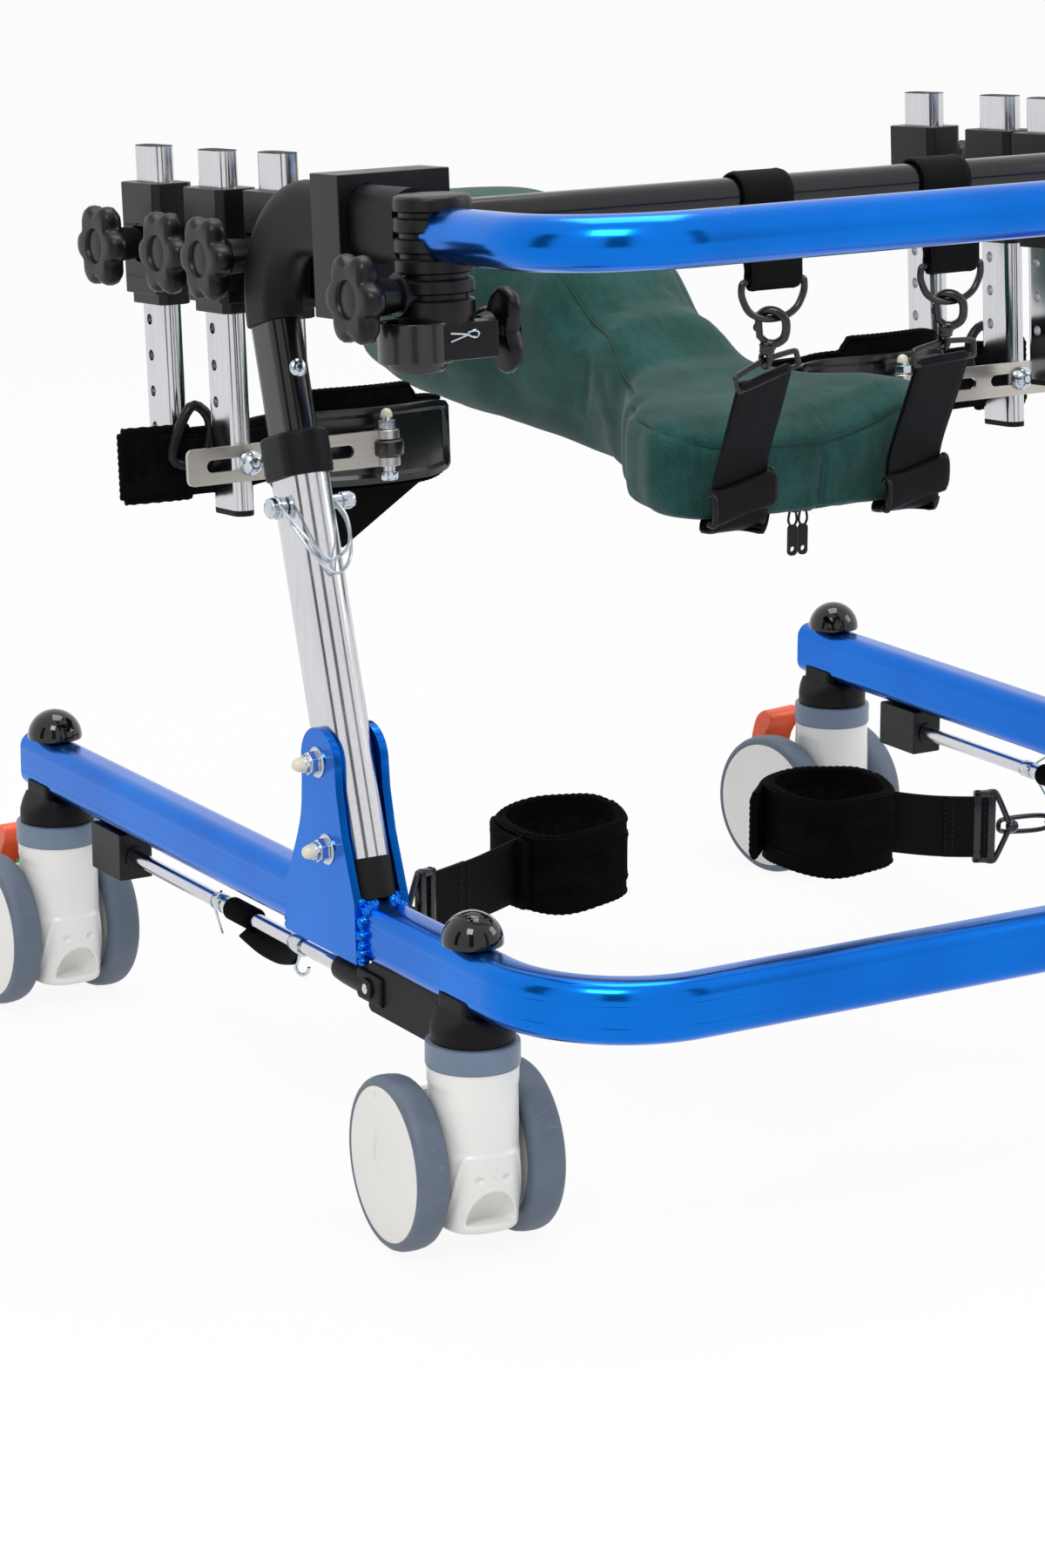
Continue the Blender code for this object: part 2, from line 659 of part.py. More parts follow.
def caster(name, x, y):
    """One swivelling twin-wheel caster, built about its own stem and turned with it."""
    swivel = hold("swivel_" + name, Matrix.Translation((x, y, 0)) @
                  Matrix.Rotation(math.radians(CASTER_YAW[name]), 4, "Z"))
    body = rod("caster_housing_" + name, COLLAR_RADIUS, (0, 0, CASTER_LOW_Z), (0, 0, CASTER_TOP_Z), 22)
    rear = TRAIL + 0.0345
    outline = [(0, CASTER_LOW_Z + 0.002)] + arc((rear - 0.016, CASTER_LOW_Z + 0.018), 0.016, -90, 0, 4)
    outline += arc((rear - 0.026, 0.062), 0.026, 0, 90, 5) + [(0, 0.098)]
    join(body, side_plate("rear_" + name, outline, 2 * WEB_HALF, 0))
    reach = WHEEL_INNER + TYRE_WIDE
    for side in (-1, 1):
        cut(body, rod(f"well_{name}_{side}", WHEEL_RADIUS + WELL_AIR, (side * (WEB_HALF - 0.0004), TRAIL, WHEEL_RADIUS),
                      (side * reach, TRAIL, WHEEL_RADIUS), 24))
    cut(body,
        rod("axle_hole_" + name, AXLE_RADIUS + RUN, (-reach, TRAIL, WHEEL_RADIUS),
            (reach, TRAIL, WHEEL_RADIUS), 12),
        rod("stub_hole_" + name, STUB_RADIUS + RUN, (0, 0, STUB_LOW_Z - GAP), (0, 0, CASTER_TOP_Z + 0.01), 12),
        rod("arch_" + name, WEB_HALF - 0.005, (0, -0.04, CASTER_LOW_Z + 0.002),
            (0, -0.012, CASTER_LOW_Z + 0.002), 16))
    smooth(body)
    finish(body, "white_plastic")
    outer = WHEEL_INNER + TYRE_WIDE
    half = [
        (0.0, outer + DISC_CROWN),
        (DISC_RADIUS * 0.6, outer + DISC_CROWN * 0.7),
        (DISC_RADIUS, outer),
        (WHEEL_RADIUS - 0.0022, outer - 0.0012),
        (WHEEL_RADIUS, outer - 0.0045),
        (WHEEL_RADIUS, WHEEL_INNER + 0.0045),
        (WHEEL_RADIUS - 0.004, WHEEL_INNER),
        (AXLE_RADIUS, WHEEL_INNER),
    ]
    profile = half + [(r, -h) for r, h in reversed(half)]
    wheels = turned("caster_wheels_" + name, profile, 22)
    wheels.matrix_world = (Matrix.Translation((0, TRAIL, WHEEL_RADIUS)) @ Matrix.Rotation(math.pi / 2, 4, "Y"))
    smooth(wheels)
    finish(wheels, "grey_tyre")
    carry(swivel, body, wheels)
    if name.startswith("rear"):
        carry(swivel, pedal(name[5:]))


def pedal(side_name):
    """Brake rocker behind a rear caster: a top tab and a foot tab about one boss."""
    y, z = PEDAL_PIVOT_BACK, PEDAL_PIVOT_Z
    tip = PEDAL_REACH
    outline = [
        (y - 0.002, z + 0.006), (y - 0.006, z + 0.022), (y - 0.014, z + 0.034), (y - 0.013, z + 0.041),
        (y - 0.006, z + 0.043), (y + 0.002, z + 0.036), (y + 0.007, z + 0.018), (y + 0.009, z - 0.004),
        (y + 0.018, z - 0.022), (tip - 0.006, z - 0.034), (tip, z - 0.038), (tip - 0.003, z - 0.043),
        (y + 0.022, z - 0.040), (y + 0.010, z - 0.028), (y + 0.002, z - 0.010),
    ]
    piece = side_plate("brake_pedal_" + side_name, outline, PEDAL_WIDE, 0)
    boss = 0.0062
    join(piece, rod("boss_" + side_name, boss, (-PEDAL_WIDE / 2 + 0.002, y, z), (PEDAL_WIDE / 2 - 0.002, y, z), 14))
    finish(piece, "orange_plastic")
    return piece


# Telescopic legs

def leg_tube(side_name, side):
    tube = leg_prism("leg_tube_" + side_name, side, -LEG_CAVITY_FLOOR, LEG_TOP, LEG_WIDE, LEG_THICK)
    rail_top = RAIL_Z + TUBE_TALL / 2 + GAP
    deep = TUBE_TALL + PAST
    cut(tube, box("foot_level_" + side_name, (TUBE_WIDE + 2 * PAST, LEG_WIDE + 4 * PAST, deep),
                  (side * STEM_X, from_front(LEG_FOOT_Y), rail_top - deep / 2)))
    cut(tube, leg_prism("leg_bore_" + side_name, side, LEG_CAVITY_FLOOR, LEG_TOP + PAST,
                        LEG_WIDE - 2 * LEG_WALL, LEG_THICK - 2 * LEG_WALL))
    reach = TUBE_WIDE
    for number, (y, z) in enumerate(bolt_places()):
        cut(tube, rod(f"leg_bolt_{side_name}_{number}", BOLT_RADIUS + GAP,
                      (side * STEM_X - reach, y, z), (side * STEM_X + reach, y, z), 10))
    pin = on_leg(side, leg_at_height(PIN_Z))
    cut(tube, rod("leg_pin_" + side_name, PIN_RADIUS + RUN, pin - Vector((reach, 0, 0)),
                  pin + Vector((reach, 0, 0)), 12))
    smooth(tube)
    finish(tube, "polished_aluminium")
    start = LEG_TOP - COLLAR_LONG + COLLAR_LIP
    wide, thick = LEG_WIDE + 2 * COLLAR_WALL, LEG_THICK + 2 * COLLAR_WALL
    collar = leg_prism("leg_collar_" + side_name, side, start, start + COLLAR_LONG, wide, thick)
    cut(collar,
        leg_prism("collar_bore_" + side_name, side, start - 0.01, LEG_TOP + GAP,
                  LEG_WIDE + 2 * GAP, LEG_THICK + 2 * GAP),
        leg_prism("collar_mouth_" + side_name, side, LEG_TOP - 0.01, start + COLLAR_LONG + 0.01,
                  UPPER_WIDE + 2 * RUN, UPPER_THICK + 2 * RUN))
    smooth(collar)
    finish(collar, "black_plastic")


def elbow_point(angle):
    """A point on the elbow's middle line, as (y, z)."""
    start = on_leg(1, ELBOW_START)
    centre = start - ELBOW_RADIUS * LEG_FORE
    return centre.y + ELBOW_RADIUS * math.cos(angle), centre.z + ELBOW_RADIUS * math.sin(angle)


def elbow_end():
    return elbow_point(math.pi / 2 - TIP)


def elbow_frames():
    """Middle line of an upper leg as (y, z, forward y, forward z, is sleeve)."""
    start = on_leg(1, ELBOW_START)
    first = on_leg(1, UPPER_START)
    up = (LEG_UP.y, LEG_UP.z)
    frames = [(first.y, first.z, *up, False), (start.y, start.z, *up, False)]
    sweep = math.pi / 2 + LEG_LEAN - TIP
    steps = 8
    for i in range(steps + 1):
        a = -LEG_LEAN + sweep * i / steps
        frames.append((*elbow_point(a), -math.sin(a), math.cos(a), True))
    y, z = elbow_end()
    reach = y - (from_front(HUB_Y) + HUB_RADIUS + GAP)
    frames.append((y - reach * math.cos(TIP), z + reach * math.sin(TIP), -math.cos(TIP), math.sin(TIP), True))
    return frames


def leg_upper(side_name, side):
    """Inner tube, elbow and level arm in one bent piece."""
    rings = []
    for y, z, fy, fz, is_sleeve in elbow_frames():
        wide = SLEEVE_WIDE if is_sleeve else UPPER_WIDE
        thick = SLEEVE_THICK if is_sleeve else UPPER_THICK
        ring = []
        for a, b in flat_oval(wide, thick):
            ring.append((side * (STEM_X + b), y + a * fz, z - a * fy))
        rings.append(ring)
    piece = loft("leg_upper_" + side_name, rings)
    pin = leg_at_height(PIN_Z)
    slot = PIN_RADIUS + RUN
    ends = (pin - LIFT_UP, pin + LIFT_DOWN)
    route = arc((0, ends[1]), slot, 0, 180, 6) + arc((0, ends[0]), slot, 180, 360, 6)
    outline = [on_leg(side, along, back).yz[:] for back, along in route]
    cut(piece, side_plate("pin_slot_" + side_name, outline, LEG_THICK + 0.01, side * STEM_X))
    smooth(piece)
    finish(piece, "black_plastic")


def lock_pin(side_name, side):
    """Quick-release pin with its spring wire loop in front of the leg."""
    middle = on_leg(side, leg_at_height(PIN_Z))
    out = Vector((side, 0, 0))
    face = LEG_THICK / 2 + GAP
    slide = hold("pull_pin_" + side_name, Matrix.Translation(middle))
    pin = rod("lock_pin_" + side_name, PIN_RADIUS, middle - out * (face + PIN_TIP),
              middle + out * (face + 0.002), 12)
    join(pin, rod("pin_head_" + side_name, PIN_HEAD_RADIUS, middle + out * face,
                  middle + out * (face + PIN_HEAD_LONG), 18))
    fore = -LEG_FORE * (LEG_WIDE / 2 + 0.004)
    start = middle + out * (face + PIN_HEAD_LONG * 0.6)
    low = LEG_UP * -0.040
    points = []
    for i in range(9):
        t = i / 8
        across = out * ((face + PIN_HEAD_LONG * 0.6) * (1 - t) - (face - 0.001) * t)
        points.append(middle + across + fore * min(1.0, math.sin(t * math.pi) * 2.0 + t) +
                      low * math.sin(min(1.0, t * 1.15) * math.pi * 0.80) * 1.02)
    points[0] = start
    join(pin, pipe("bail_" + side_name, points, BAIL_WIRE, 1))
    smooth(pin)
    finish(pin, "zinc_steel")
    seat(pin, slide)


# Guide rods

def rod_block(side_name, side):
    top = RAIL_Z - TUBE_TALL / 2 - GAP
    low = ROD_Z - ROD_BLOCK_LOW
    middle = (side * STEM_X, from_front(ROD_BLOCK_Y + ROD_BLOCK_LONG / 2), (top + low) / 2)
    block = box("rod_block_" + side_name, (ROD_BLOCK_WIDE, ROD_BLOCK_LONG, top - low), middle)
    deep = ROD_BLOCK_LONG * 0.6
    x, y = side * STEM_X, from_front(ROD_BLOCK_Y)
    cut(block, rod("rod_seat_" + side_name, ROD_RADIUS + GAP, (x, y - 0.01, ROD_Z), (x, y + deep, ROD_Z), 12))
    finish(block, "black_plastic")


def guide_rod(side_name, side):
    """Rod with the fork that holds its front end against the front socket."""
    x = side * STEM_X
    deep = ROD_BLOCK_LONG * 0.6 - GAP
    bar = rod("guide_rod_" + side_name, ROD_RADIUS, (x, from_front(FORK_BAR_END_Y), ROD_Z),
              (x, from_front(ROD_BLOCK_Y) + deep, ROD_Z), 12)
    start, clear, end = (from_front(y) for y in (SOCKET_RADIUS + GAP, FORK_BAR_CLEAR_Y, FORK_BAR_END_Y + 0.010))
    top, step = RAIL_Z - TUBE_TALL / 2 - GAP, CASTER_TOP_Z + 0.001
    outline = [(start, top), (start, step), (clear, step), (clear, FORK_BAR_LOW_Z), (end, FORK_BAR_LOW_Z), (end, top)]
    fork = side_plate("fork_" + side_name, outline, FORK_BAR_WIDE, x)
    sleeve = rod("fork_sleeve_" + side_name, FORK_SLEEVE_RADIUS, (x, from_front(FORK_BAR_END_Y - 0.004), ROD_Z),
                 (x, from_front(ROD_START_Y), ROD_Z), 14)
    join(bar, fork, sleeve)
    smooth(bar)
    finish(bar, "polished_aluminium")


# Upper frame

def hub(side_name, side):
    """Ribbed rotating clamp between a side arm and the hand rail."""
    x, y = side * STEM_X, from_front(HUB_Y)
    r = HUB_RADIUS
    profile = [(0, HUB_TOP_Z), (r - 0.004, HUB_TOP_Z), (r, HUB_TOP_Z - 0.004)]
    pitch = (HUB_TOP_Z - 0.008 - HUB_RING_TOP_Z - 0.004) / HUB_RIBS
    for i in range(HUB_RIBS):
        z = HUB_TOP_Z - 0.008 - i * pitch
        profile += [(r, z), (r - 0.0024, z - pitch * 0.5)]
    ring, foot = HUB_RING_RADIUS, HUB_RADIUS - 0.004
    profile += [(r, HUB_RING_TOP_Z + 0.002), (ring, HUB_RING_TOP_Z), (ring, HUB_LOW_Z + 0.005),
                (foot, HUB_LOW_Z + 0.005), (foot, HUB_LOW_Z + 0.001), (foot - 0.002, HUB_LOW_Z), (0, HUB_LOW_Z)]
    piece = turned("swivel_hub_" + side_name, profile, 20)
    piece.matrix_world = Matrix.Translation((x, y, 0))
    join(piece, rod("knob_boss_" + side_name, 0.0095, (x + side * 0.015, y, HUB_KNOB_Z),
                    (x + side * (r + HUB_BOSS), y, HUB_KNOB_Z), 14))
    inner = HUB_KNOB_INNER - KNOB_LONG / 2
    root = HUB_RING_RADIUS * 0.8
    inner_knob = star_knob("inner_knob_" + side_name, -side, -0.002, inner - root)
    inner_knob.matrix_world = Matrix.Translation((x - side * root, y, HUB_KNOB_INNER_Z))
    join(piece, inner_knob)
    cut(piece,
        rod("rail_seat_" + side_name, HAND_RAIL_RADIUS + GAP, (x, y - 0.05, HAND_RAIL_Z),
            (x, y - 0.004, HAND_RAIL_Z), 16),
        rod("knob_seat_" + side_name, STUD_RADIUS + RUN, (x + side * 0.05, y, HUB_KNOB_Z),
            (x + side * 0.012, y, HUB_KNOB_Z), 12))
    smooth(piece)
    finish(piece, "black_plastic")


def hand_rail():
    start = from_front(HUB_Y) - 0.005
    path = level_path(STEM_X, from_front(-HAND_RAIL_AHEAD), start, HAND_RAIL_BEND, HAND_RAIL_Z)
    rail = swept("hand_rail", path, oval(HAND_RAIL_RADIUS, HAND_RAIL_RADIUS, 2, 14))
    smooth(rail)
    finish(rail, "blue_lacquer")


def cross_bar():
    reach = STEM_X - SLEEVE_THICK / 2 - GAP
    y, z = from_front(CROSS_BAR_Y), ARM_Z
    bar = rod("cross_bar", CROSS_BAR_RADIUS, (-reach, y, z), (reach, y, z), 16)
    smooth(bar)
    finish(bar, "black_plastic")


def star_ring(radius, depth, x):
    """A lobed ring in the YZ plane at x, with three points to a lobe."""
    points = []
    for i in range(KNOB_LOBES * 3):
        a = math.tau * i / (KNOB_LOBES * 3)
        r = radius - (depth if i % 3 == 0 else 0.0)
        points.append((x, r * math.sin(a), r * math.cos(a)))
    return points


def star_knob(name, side, deep, neck=KNOB_NECK):
    """A star knob pointing to one side, with its neck starting at the origin."""
    out = neck + KNOB_LONG
    lobe = KNOB_RADIUS * 0.24
    sections = (
        (STUD_RADIUS, 0.0, -deep), (STUD_RADIUS, 0.0, 0.0), (0.0085, 0.0, 0.0), (0.0110, 0.0, neck * 0.85),
        (KNOB_RADIUS * 0.72, lobe / 2, neck), (KNOB_RADIUS, lobe, neck + KNOB_LONG * 0.30),
        (KNOB_RADIUS, lobe, out - 0.004), (KNOB_RADIUS * 0.86, lobe * 0.8, out),
        (KNOB_RADIUS * 0.36, 0.0, out), (KNOB_RADIUS * 0.32, 0.0, out - 0.0020),
    )
    if deep < 0:
        sections = sections[1:]
    return loft(name, [star_ring(radius, depth, side * x) for radius, depth, x in sections])


def knob(name, side, face, y, z, deep, neck=KNOB_NECK):
    """A knob screwed in from outside; face is where its neck meets what it clamps."""
    turn = hold("turn_" + name, Matrix.Translation((face, y, z)))
    piece = star_knob(name, side, deep, neck)
    smooth(piece)
    finish(piece, "black_plastic")
    carry(turn, piece)


# Accessory posts

POST_ORDER = ("front", "middle", "rear")


def post_y(which):
    return from_front(POST_Y[which])


def sleeve_face(which):
    """Outer face of a post's clamp block."""
    return POST_X[which] + POST_THICK / 2 + SLEEVE_WALL


def post_rail_x():
    """Middle of the bar that carries the clamp blocks."""
    return POST_X["rear"] - POST_THICK / 2 - SLEEVE_WALL - POST_RAIL_WIDE / 2 + 0.001


def sleeve_box(name, which, side, wall, low, high):
    place = Matrix.Translation((side * POST_X[which], post_y(which), (low + high) / 2))
    outline = rounded_rectangle(POST_THICK + 2 * wall, POST_WIDE + 2 * wall, 0.004, 1)
    return plate(name, outline, high - low, place)


def post_rail(side_name, side):
    """Bar, arm clamp and three post clamps in one carrier."""
    start = from_front(POST_RAIL_START_Y)
    end = post_y("rear") + POST_RAIL_TAIL
    bar_x = post_rail_x()
    rail = box("post_rail_" + side_name, (POST_RAIL_WIDE, end - start, POST_RAIL_TALL),
               (side * bar_x, (start + end) / 2, POST_RAIL_Z))
    shoulder = SLEEVE_LOW_Z + SLEEVE_LIP
    for which in POST_ORDER:
        label = f"{which}_{side_name}"
        join(rail,
             sleeve_box("sleeve_" + label, which, side, SLEEVE_WALL, shoulder, SLEEVE_TOP_Z),
             sleeve_box("lip_" + label, which, side, SLEEVE_LIP_WALL, SLEEVE_LOW_Z, shoulder + 0.002))
    arm = ARM_Z
    outer = STEM_X + SLEEVE_THICK / 2 + ARM_CLAMP_WALL
    inner = bar_x - POST_RAIL_WIDE / 2
    low = POST_RAIL_Z - POST_RAIL_TALL / 2
    high = arm + SLEEVE_WIDE / 2 + ARM_CLAMP_WALL
    clamp_y = start + ARM_CLAMP_LONG / 2
    join(rail, box("arm_clamp_" + side_name, (outer - inner, ARM_CLAMP_LONG, high - low),
                   (side * (outer + inner) / 2, clamp_y, (high + low) / 2)))
    hole = flat_oval(SLEEVE_WIDE + 2 * GAP, SLEEVE_THICK + 2 * GAP)
    rings = [[(side * STEM_X + b, clamp_y + dy, arm + a) for a, b in hole] for dy in (-ARM_CLAMP_LONG, ARM_CLAMP_LONG)]
    cut(rail, loft("arm_bore_" + side_name, rings))
    for which in POST_ORDER:
        x = side * POST_X[which]
        bore = [[(x + b, post_y(which) + a, z) for a, b in flat_oval(POST_WIDE + 2 * RUN, POST_THICK + 2 * RUN)]
                for z in (SLEEVE_LOW_Z - PAST, SLEEVE_TOP_Z + PAST)]
        face = x + side * POST_THICK / 2
        cut(rail, loft(f"post_bore_{which}_{side_name}", bore),
            rod(f"stud_bore_{which}_{side_name}", STUD_RADIUS + RUN, (face - side * 0.001, post_y(which), POST_KNOB_Z),
                (face + side * 0.03, post_y(which), POST_KNOB_Z), 12))
    smooth(rail)
    finish(rail, "black_plastic")


def post(which, side_name, side):
    """Flat-oval post with a row of holes."""
    low, x, y = POST_LOW_Z[which], side * POST_X[which], post_y(which)
    slide = hold(f"slide_post_{which}_{side_name}", Matrix.Translation((x, y, low)))
    rings = [[(x + b, y + a, z) for a, b in flat_oval(POST_WIDE, POST_THICK)] for z in (low, POST_TOP_Z)]
    piece = loft(f"post_{which}_{side_name}", rings)
    number, z = 0, SLEEVE_LOW_Z - 0.010
    while z > low + 0.014:
        if which != "middle" or abs(z - GUIDE_Z) > GUIDE_PLATE_TALL * 0.7:
            hole = rod(f"hole_{which}_{side_name}_{number}", POST_HOLE_RADIUS, (x - 0.02, y + 0.005, z),
                       (x + 0.02, y + 0.005, z), 8)
            cut(piece, hole)
        number += 1
        z -= POST_HOLE_PITCH
    if which == "middle":
        join(piece, *guide_bolt(side_name, side))
    smooth(piece)
    finish(piece, "polished_aluminium")
    seat(piece, slide)


# Thigh guides

def guide_plate_y():
    """Middle of the slotted plate, just in front of the middle post."""
    return post_y("middle") - POST_WIDE / 2 - GAP - GUIDE_PLATE_THICK / 2


def guide_bolt(side_name, side):
    """Bolt in the front edge of the middle post that clamps the slotted plate."""
    front = guide_plate_y() - GUIDE_PLATE_THICK / 2 - GAP
    x = side * GUIDE_BOLT_X
    shank = rod("shank_" + side_name, GUIDE_SLOT_TALL / 2 - RUN, (x, post_y("middle") - POST_WIDE / 2 + 0.004, GUIDE_Z),
                (x, front - 0.002, GUIDE_Z), 12)
    profile = [(0, 0.0075)] + [(0.0078 * math.sin(a), 0.0075 * math.cos(a)) for a in map(math.radians, (29, 57, 80))]
    profile += [(0.0078, 0), (0, 0)]
    dome = turned("bolt_head_" + side_name, profile, 14)
    dome.matrix_world = Matrix.Translation((x, front, GUIDE_Z)) @ Matrix.Rotation(math.pi / 2, 4, "X")
    return shank, dome


def hinge_x():
    return GUIDE_OUTER_X - GUIDE_PLATE_LONG


def slotted_plate(side_name, side):
    """Flat slotted bar whose inner end is rolled round a vertical hinge pin."""
    y = guide_plate_y()
    slide = hold("slide_guide_" + side_name, Matrix.Translation((side * GUIDE_BOLT_X, y, GUIDE_Z)))
    place = Matrix(((1, 0, 0, 0), (0, 0, -1, y), (0, 1, 0, GUIDE_Z), (0, 0, 0, 1)))
    outer, inner = GUIDE_OUTER_X, hinge_x()
    wide = outer - inner
    middle = (outer + inner) / 2
    outline = [(side * middle + a, b) for a, b in rounded_rectangle(wide, GUIDE_PLATE_TALL, 0.004, 2)]
    slots = [[(side * (outer - (near + far) / 2) + a, b) for a, b in flat_oval(far - near, GUIDE_SLOT_TALL)]
             for near, far in GUIDE_SLOTS]
    bar = plate("slotted_plate_" + side_name, outline, GUIDE_PLATE_THICK, place, slots)
    x = side * inner
    half = GUIDE_PLATE_TALL / 2
    notch = KNUCKLE_TALL / 2 + RUN
    for sign, label in ((1, "top"), (-1, "low")):
        join(bar, rod(f"eye_{label}_{side_name}", HINGE_EYE_RADIUS, (x, y, GUIDE_Z + sign * notch),
                      (x, y, GUIDE_Z + sign * half), 14))
    cut(bar, rod("knuckle_room_" + side_name, HINGE_EYE_RADIUS + 0.002, (x, y, GUIDE_Z - notch),
                 (x, y, GUIDE_Z + notch), 16))
    join(bar, rod("hinge_pin_" + side_name, HINGE_PIN_RADIUS, (x, y, GUIDE_Z - HINGE_PIN_TALL / 2),
                  (x, y, GUIDE_Z + HINGE_PIN_TALL / 2), 12))
    finish(bar, "brushed_steel")
    seat(bar, slide)


def thigh_pad(side_name, side):
    """Curved pad shell with the knuckle that turns on the hinge pin."""
    x, y = side * hinge_x(), guide_plate_y()
    swing = hold("swing_pad_" + side_name, Matrix.Translation((x, y, GUIDE_Z)))
    rows = []
    steps = 10
    middle_x = x - side * PAD_IN
    face_y = y + PAD_BACK
    for i in range(steps + 1):
        a = PAD_SPREAD * (2 * i / steps - 1)
        end = abs(2 * i / steps - 1)
        tall = PAD_TALL * (1.0 - 0.14 * end ** 6)
        thick = PAD_THICK * (1.0 - 0.30 * end ** 4)
        ring = []
        for u, v in rounded_rectangle(thick, tall, thick * 0.42, 2):
            r = PAD_ARC_RADIUS - thick / 2 + u
            ring.append((middle_x + r * math.sin(a), face_y + PAD_ARC_RADIUS - r * math.cos(a), GUIDE_Z + v))
        rows.append(ring)
    piece = loft("thigh_pad_" + side_name, rows)
    join(piece,
         rod("knuckle_" + side_name, HINGE_EYE_RADIUS + 0.001, (x, y, GUIDE_Z - KNUCKLE_TALL / 2),
             (x, y, GUIDE_Z + KNUCKLE_TALL / 2), 16),
         box("knuckle_neck_" + side_name, (0.011, PAD_BACK - 0.003, KNUCKLE_TALL),
             (x, y + (PAD_BACK + 0.011) / 2, GUIDE_Z)))
    cut(piece, rod("pin_bore_" + side_name, HINGE_PIN_RADIUS + RUN, (x, y, GUIDE_Z - PAD_TALL), (x, y, GUIDE_Z + PAD_TALL), 12))
    smooth(piece)
    finish(piece, "black_plastic")
    seat(piece, swing)
    strap = thigh_strap(side_name, side, middle_x, face_y)
    seat(strap, swing)


def ribbon(name, path, thick, low, high):
    """A standing strap: a path seen from above, thickened evenly."""
    left, right = [], []
    for i, (x, y) in enumerate(path):
        before = Vector(path[max(0, i - 1)])
        after = Vector(path[min(len(path) - 1, i + 1)])
        along = (after - before).normalized()
        side_way = Vector((-along.y, along.x)) * thick / 2
        left.append((x + side_way.x, y + side_way.y))
        right.append((x - side_way.x, y - side_way.y))
    place = Matrix.Translation((0, 0, (low + high) / 2))
    return plate(name, left + right[::-1], high - low, place)


def smooth_path(points, count):
    """Points on a Catmull-Rom curve through hand-chosen ones."""
    padded = [points[0], *points, points[-1]]
    made = []
    for i in range(len(points) - 1):
        p0, p1, p2, p3 = (Vector(p) for p in padded[i:i + 4])
        for k in range(count):
            t = k / count
            made.append(tuple(0.5 * (2 * p1 + (p2 - p0) * t + (2 * p0 - 5 * p1 + 4 * p2 - p3) * t * t +
                                     (3 * p1 - p0 - 3 * p2 + p3) * t ** 3)))
    return made + [tuple(points[-1])]


def thigh_strap(side_name, side, pad_x, face_y):
    """Neoprene sling: from the pad's inner end round behind and out between the posts."""
    inside = -side
    back = face_y + PAD_THICK
    seam = PAD_ARC_RADIUS - PAD_THICK - 2 * GAP - THIGH_STRAP_THICK / 2
    gap_y = (post_y("middle") + post_y("rear")) / 2
    post_x = POST_X["middle"]
    end_x = side * (GUIDE_OUTER_X + 0.010)
    route = [
        *[(pad_x + inside * seam * math.sin(a), face_y + PAD_ARC_RADIUS - seam * math.cos(a)) for a in (0.30, 0.42)],
        (pad_x + inside * 0.054, back + 0.024), (pad_x + inside * 0.063, back + 0.038),
        (pad_x + inside * 0.050, back + 0.064), (pad_x + inside * 0.010, back + 0.074),
        (pad_x + side * 0.040, back + 0.062), (side * (post_x - 0.022), gap_y),
        (side * post_x, gap_y), (side * (post_x + 0.022), gap_y), (end_x, gap_y + 0.004),
    ]
    low, high = GUIDE_Z - THIGH_STRAP_TALL / 2 - 0.004, GUIDE_Z + THIGH_STRAP_TALL / 2 - 0.004
    strap = ribbon("thigh_strap_" + side_name, smooth_path(route, 3), THIGH_STRAP_THICK, low, high)
    finish(strap, "black_neoprene")
    return strap


# Saddle and straps

def nose_bow(x):
    """How far the saddle's front edge falls back away from the middle."""
    return SADDLE_NOSE_BOW * (x / 0.1) ** 2


def saddle():
    """Cushion lofted through stations: wide nose, narrow waist and raised tail."""
    rings = []
    for share, half, low, high in SADDLE_STATIONS:
        y = from_front(SADDLE_FRONT_Y + SADDLE_LONG * share)
        bottom, top = SADDLE_LOW_Z + low, SADDLE_LOW_Z + high
        middle = (bottom + top) / 2
        ring = []
        for a, b in oval(half, (top - bottom) / 2, 3.0, 28):
            bow = nose_bow(a) if share < 0.1 else 0.0
            crown = 0.004 * (1 - (a / half) ** 2) if b > 0 else 0.0
            ring.append((a, y + bow, middle + b + crown))
        rings.append(ring)
    piece = loft("saddle", rings)
    smooth(piece, 50)
    finish(piece, "green_velour")


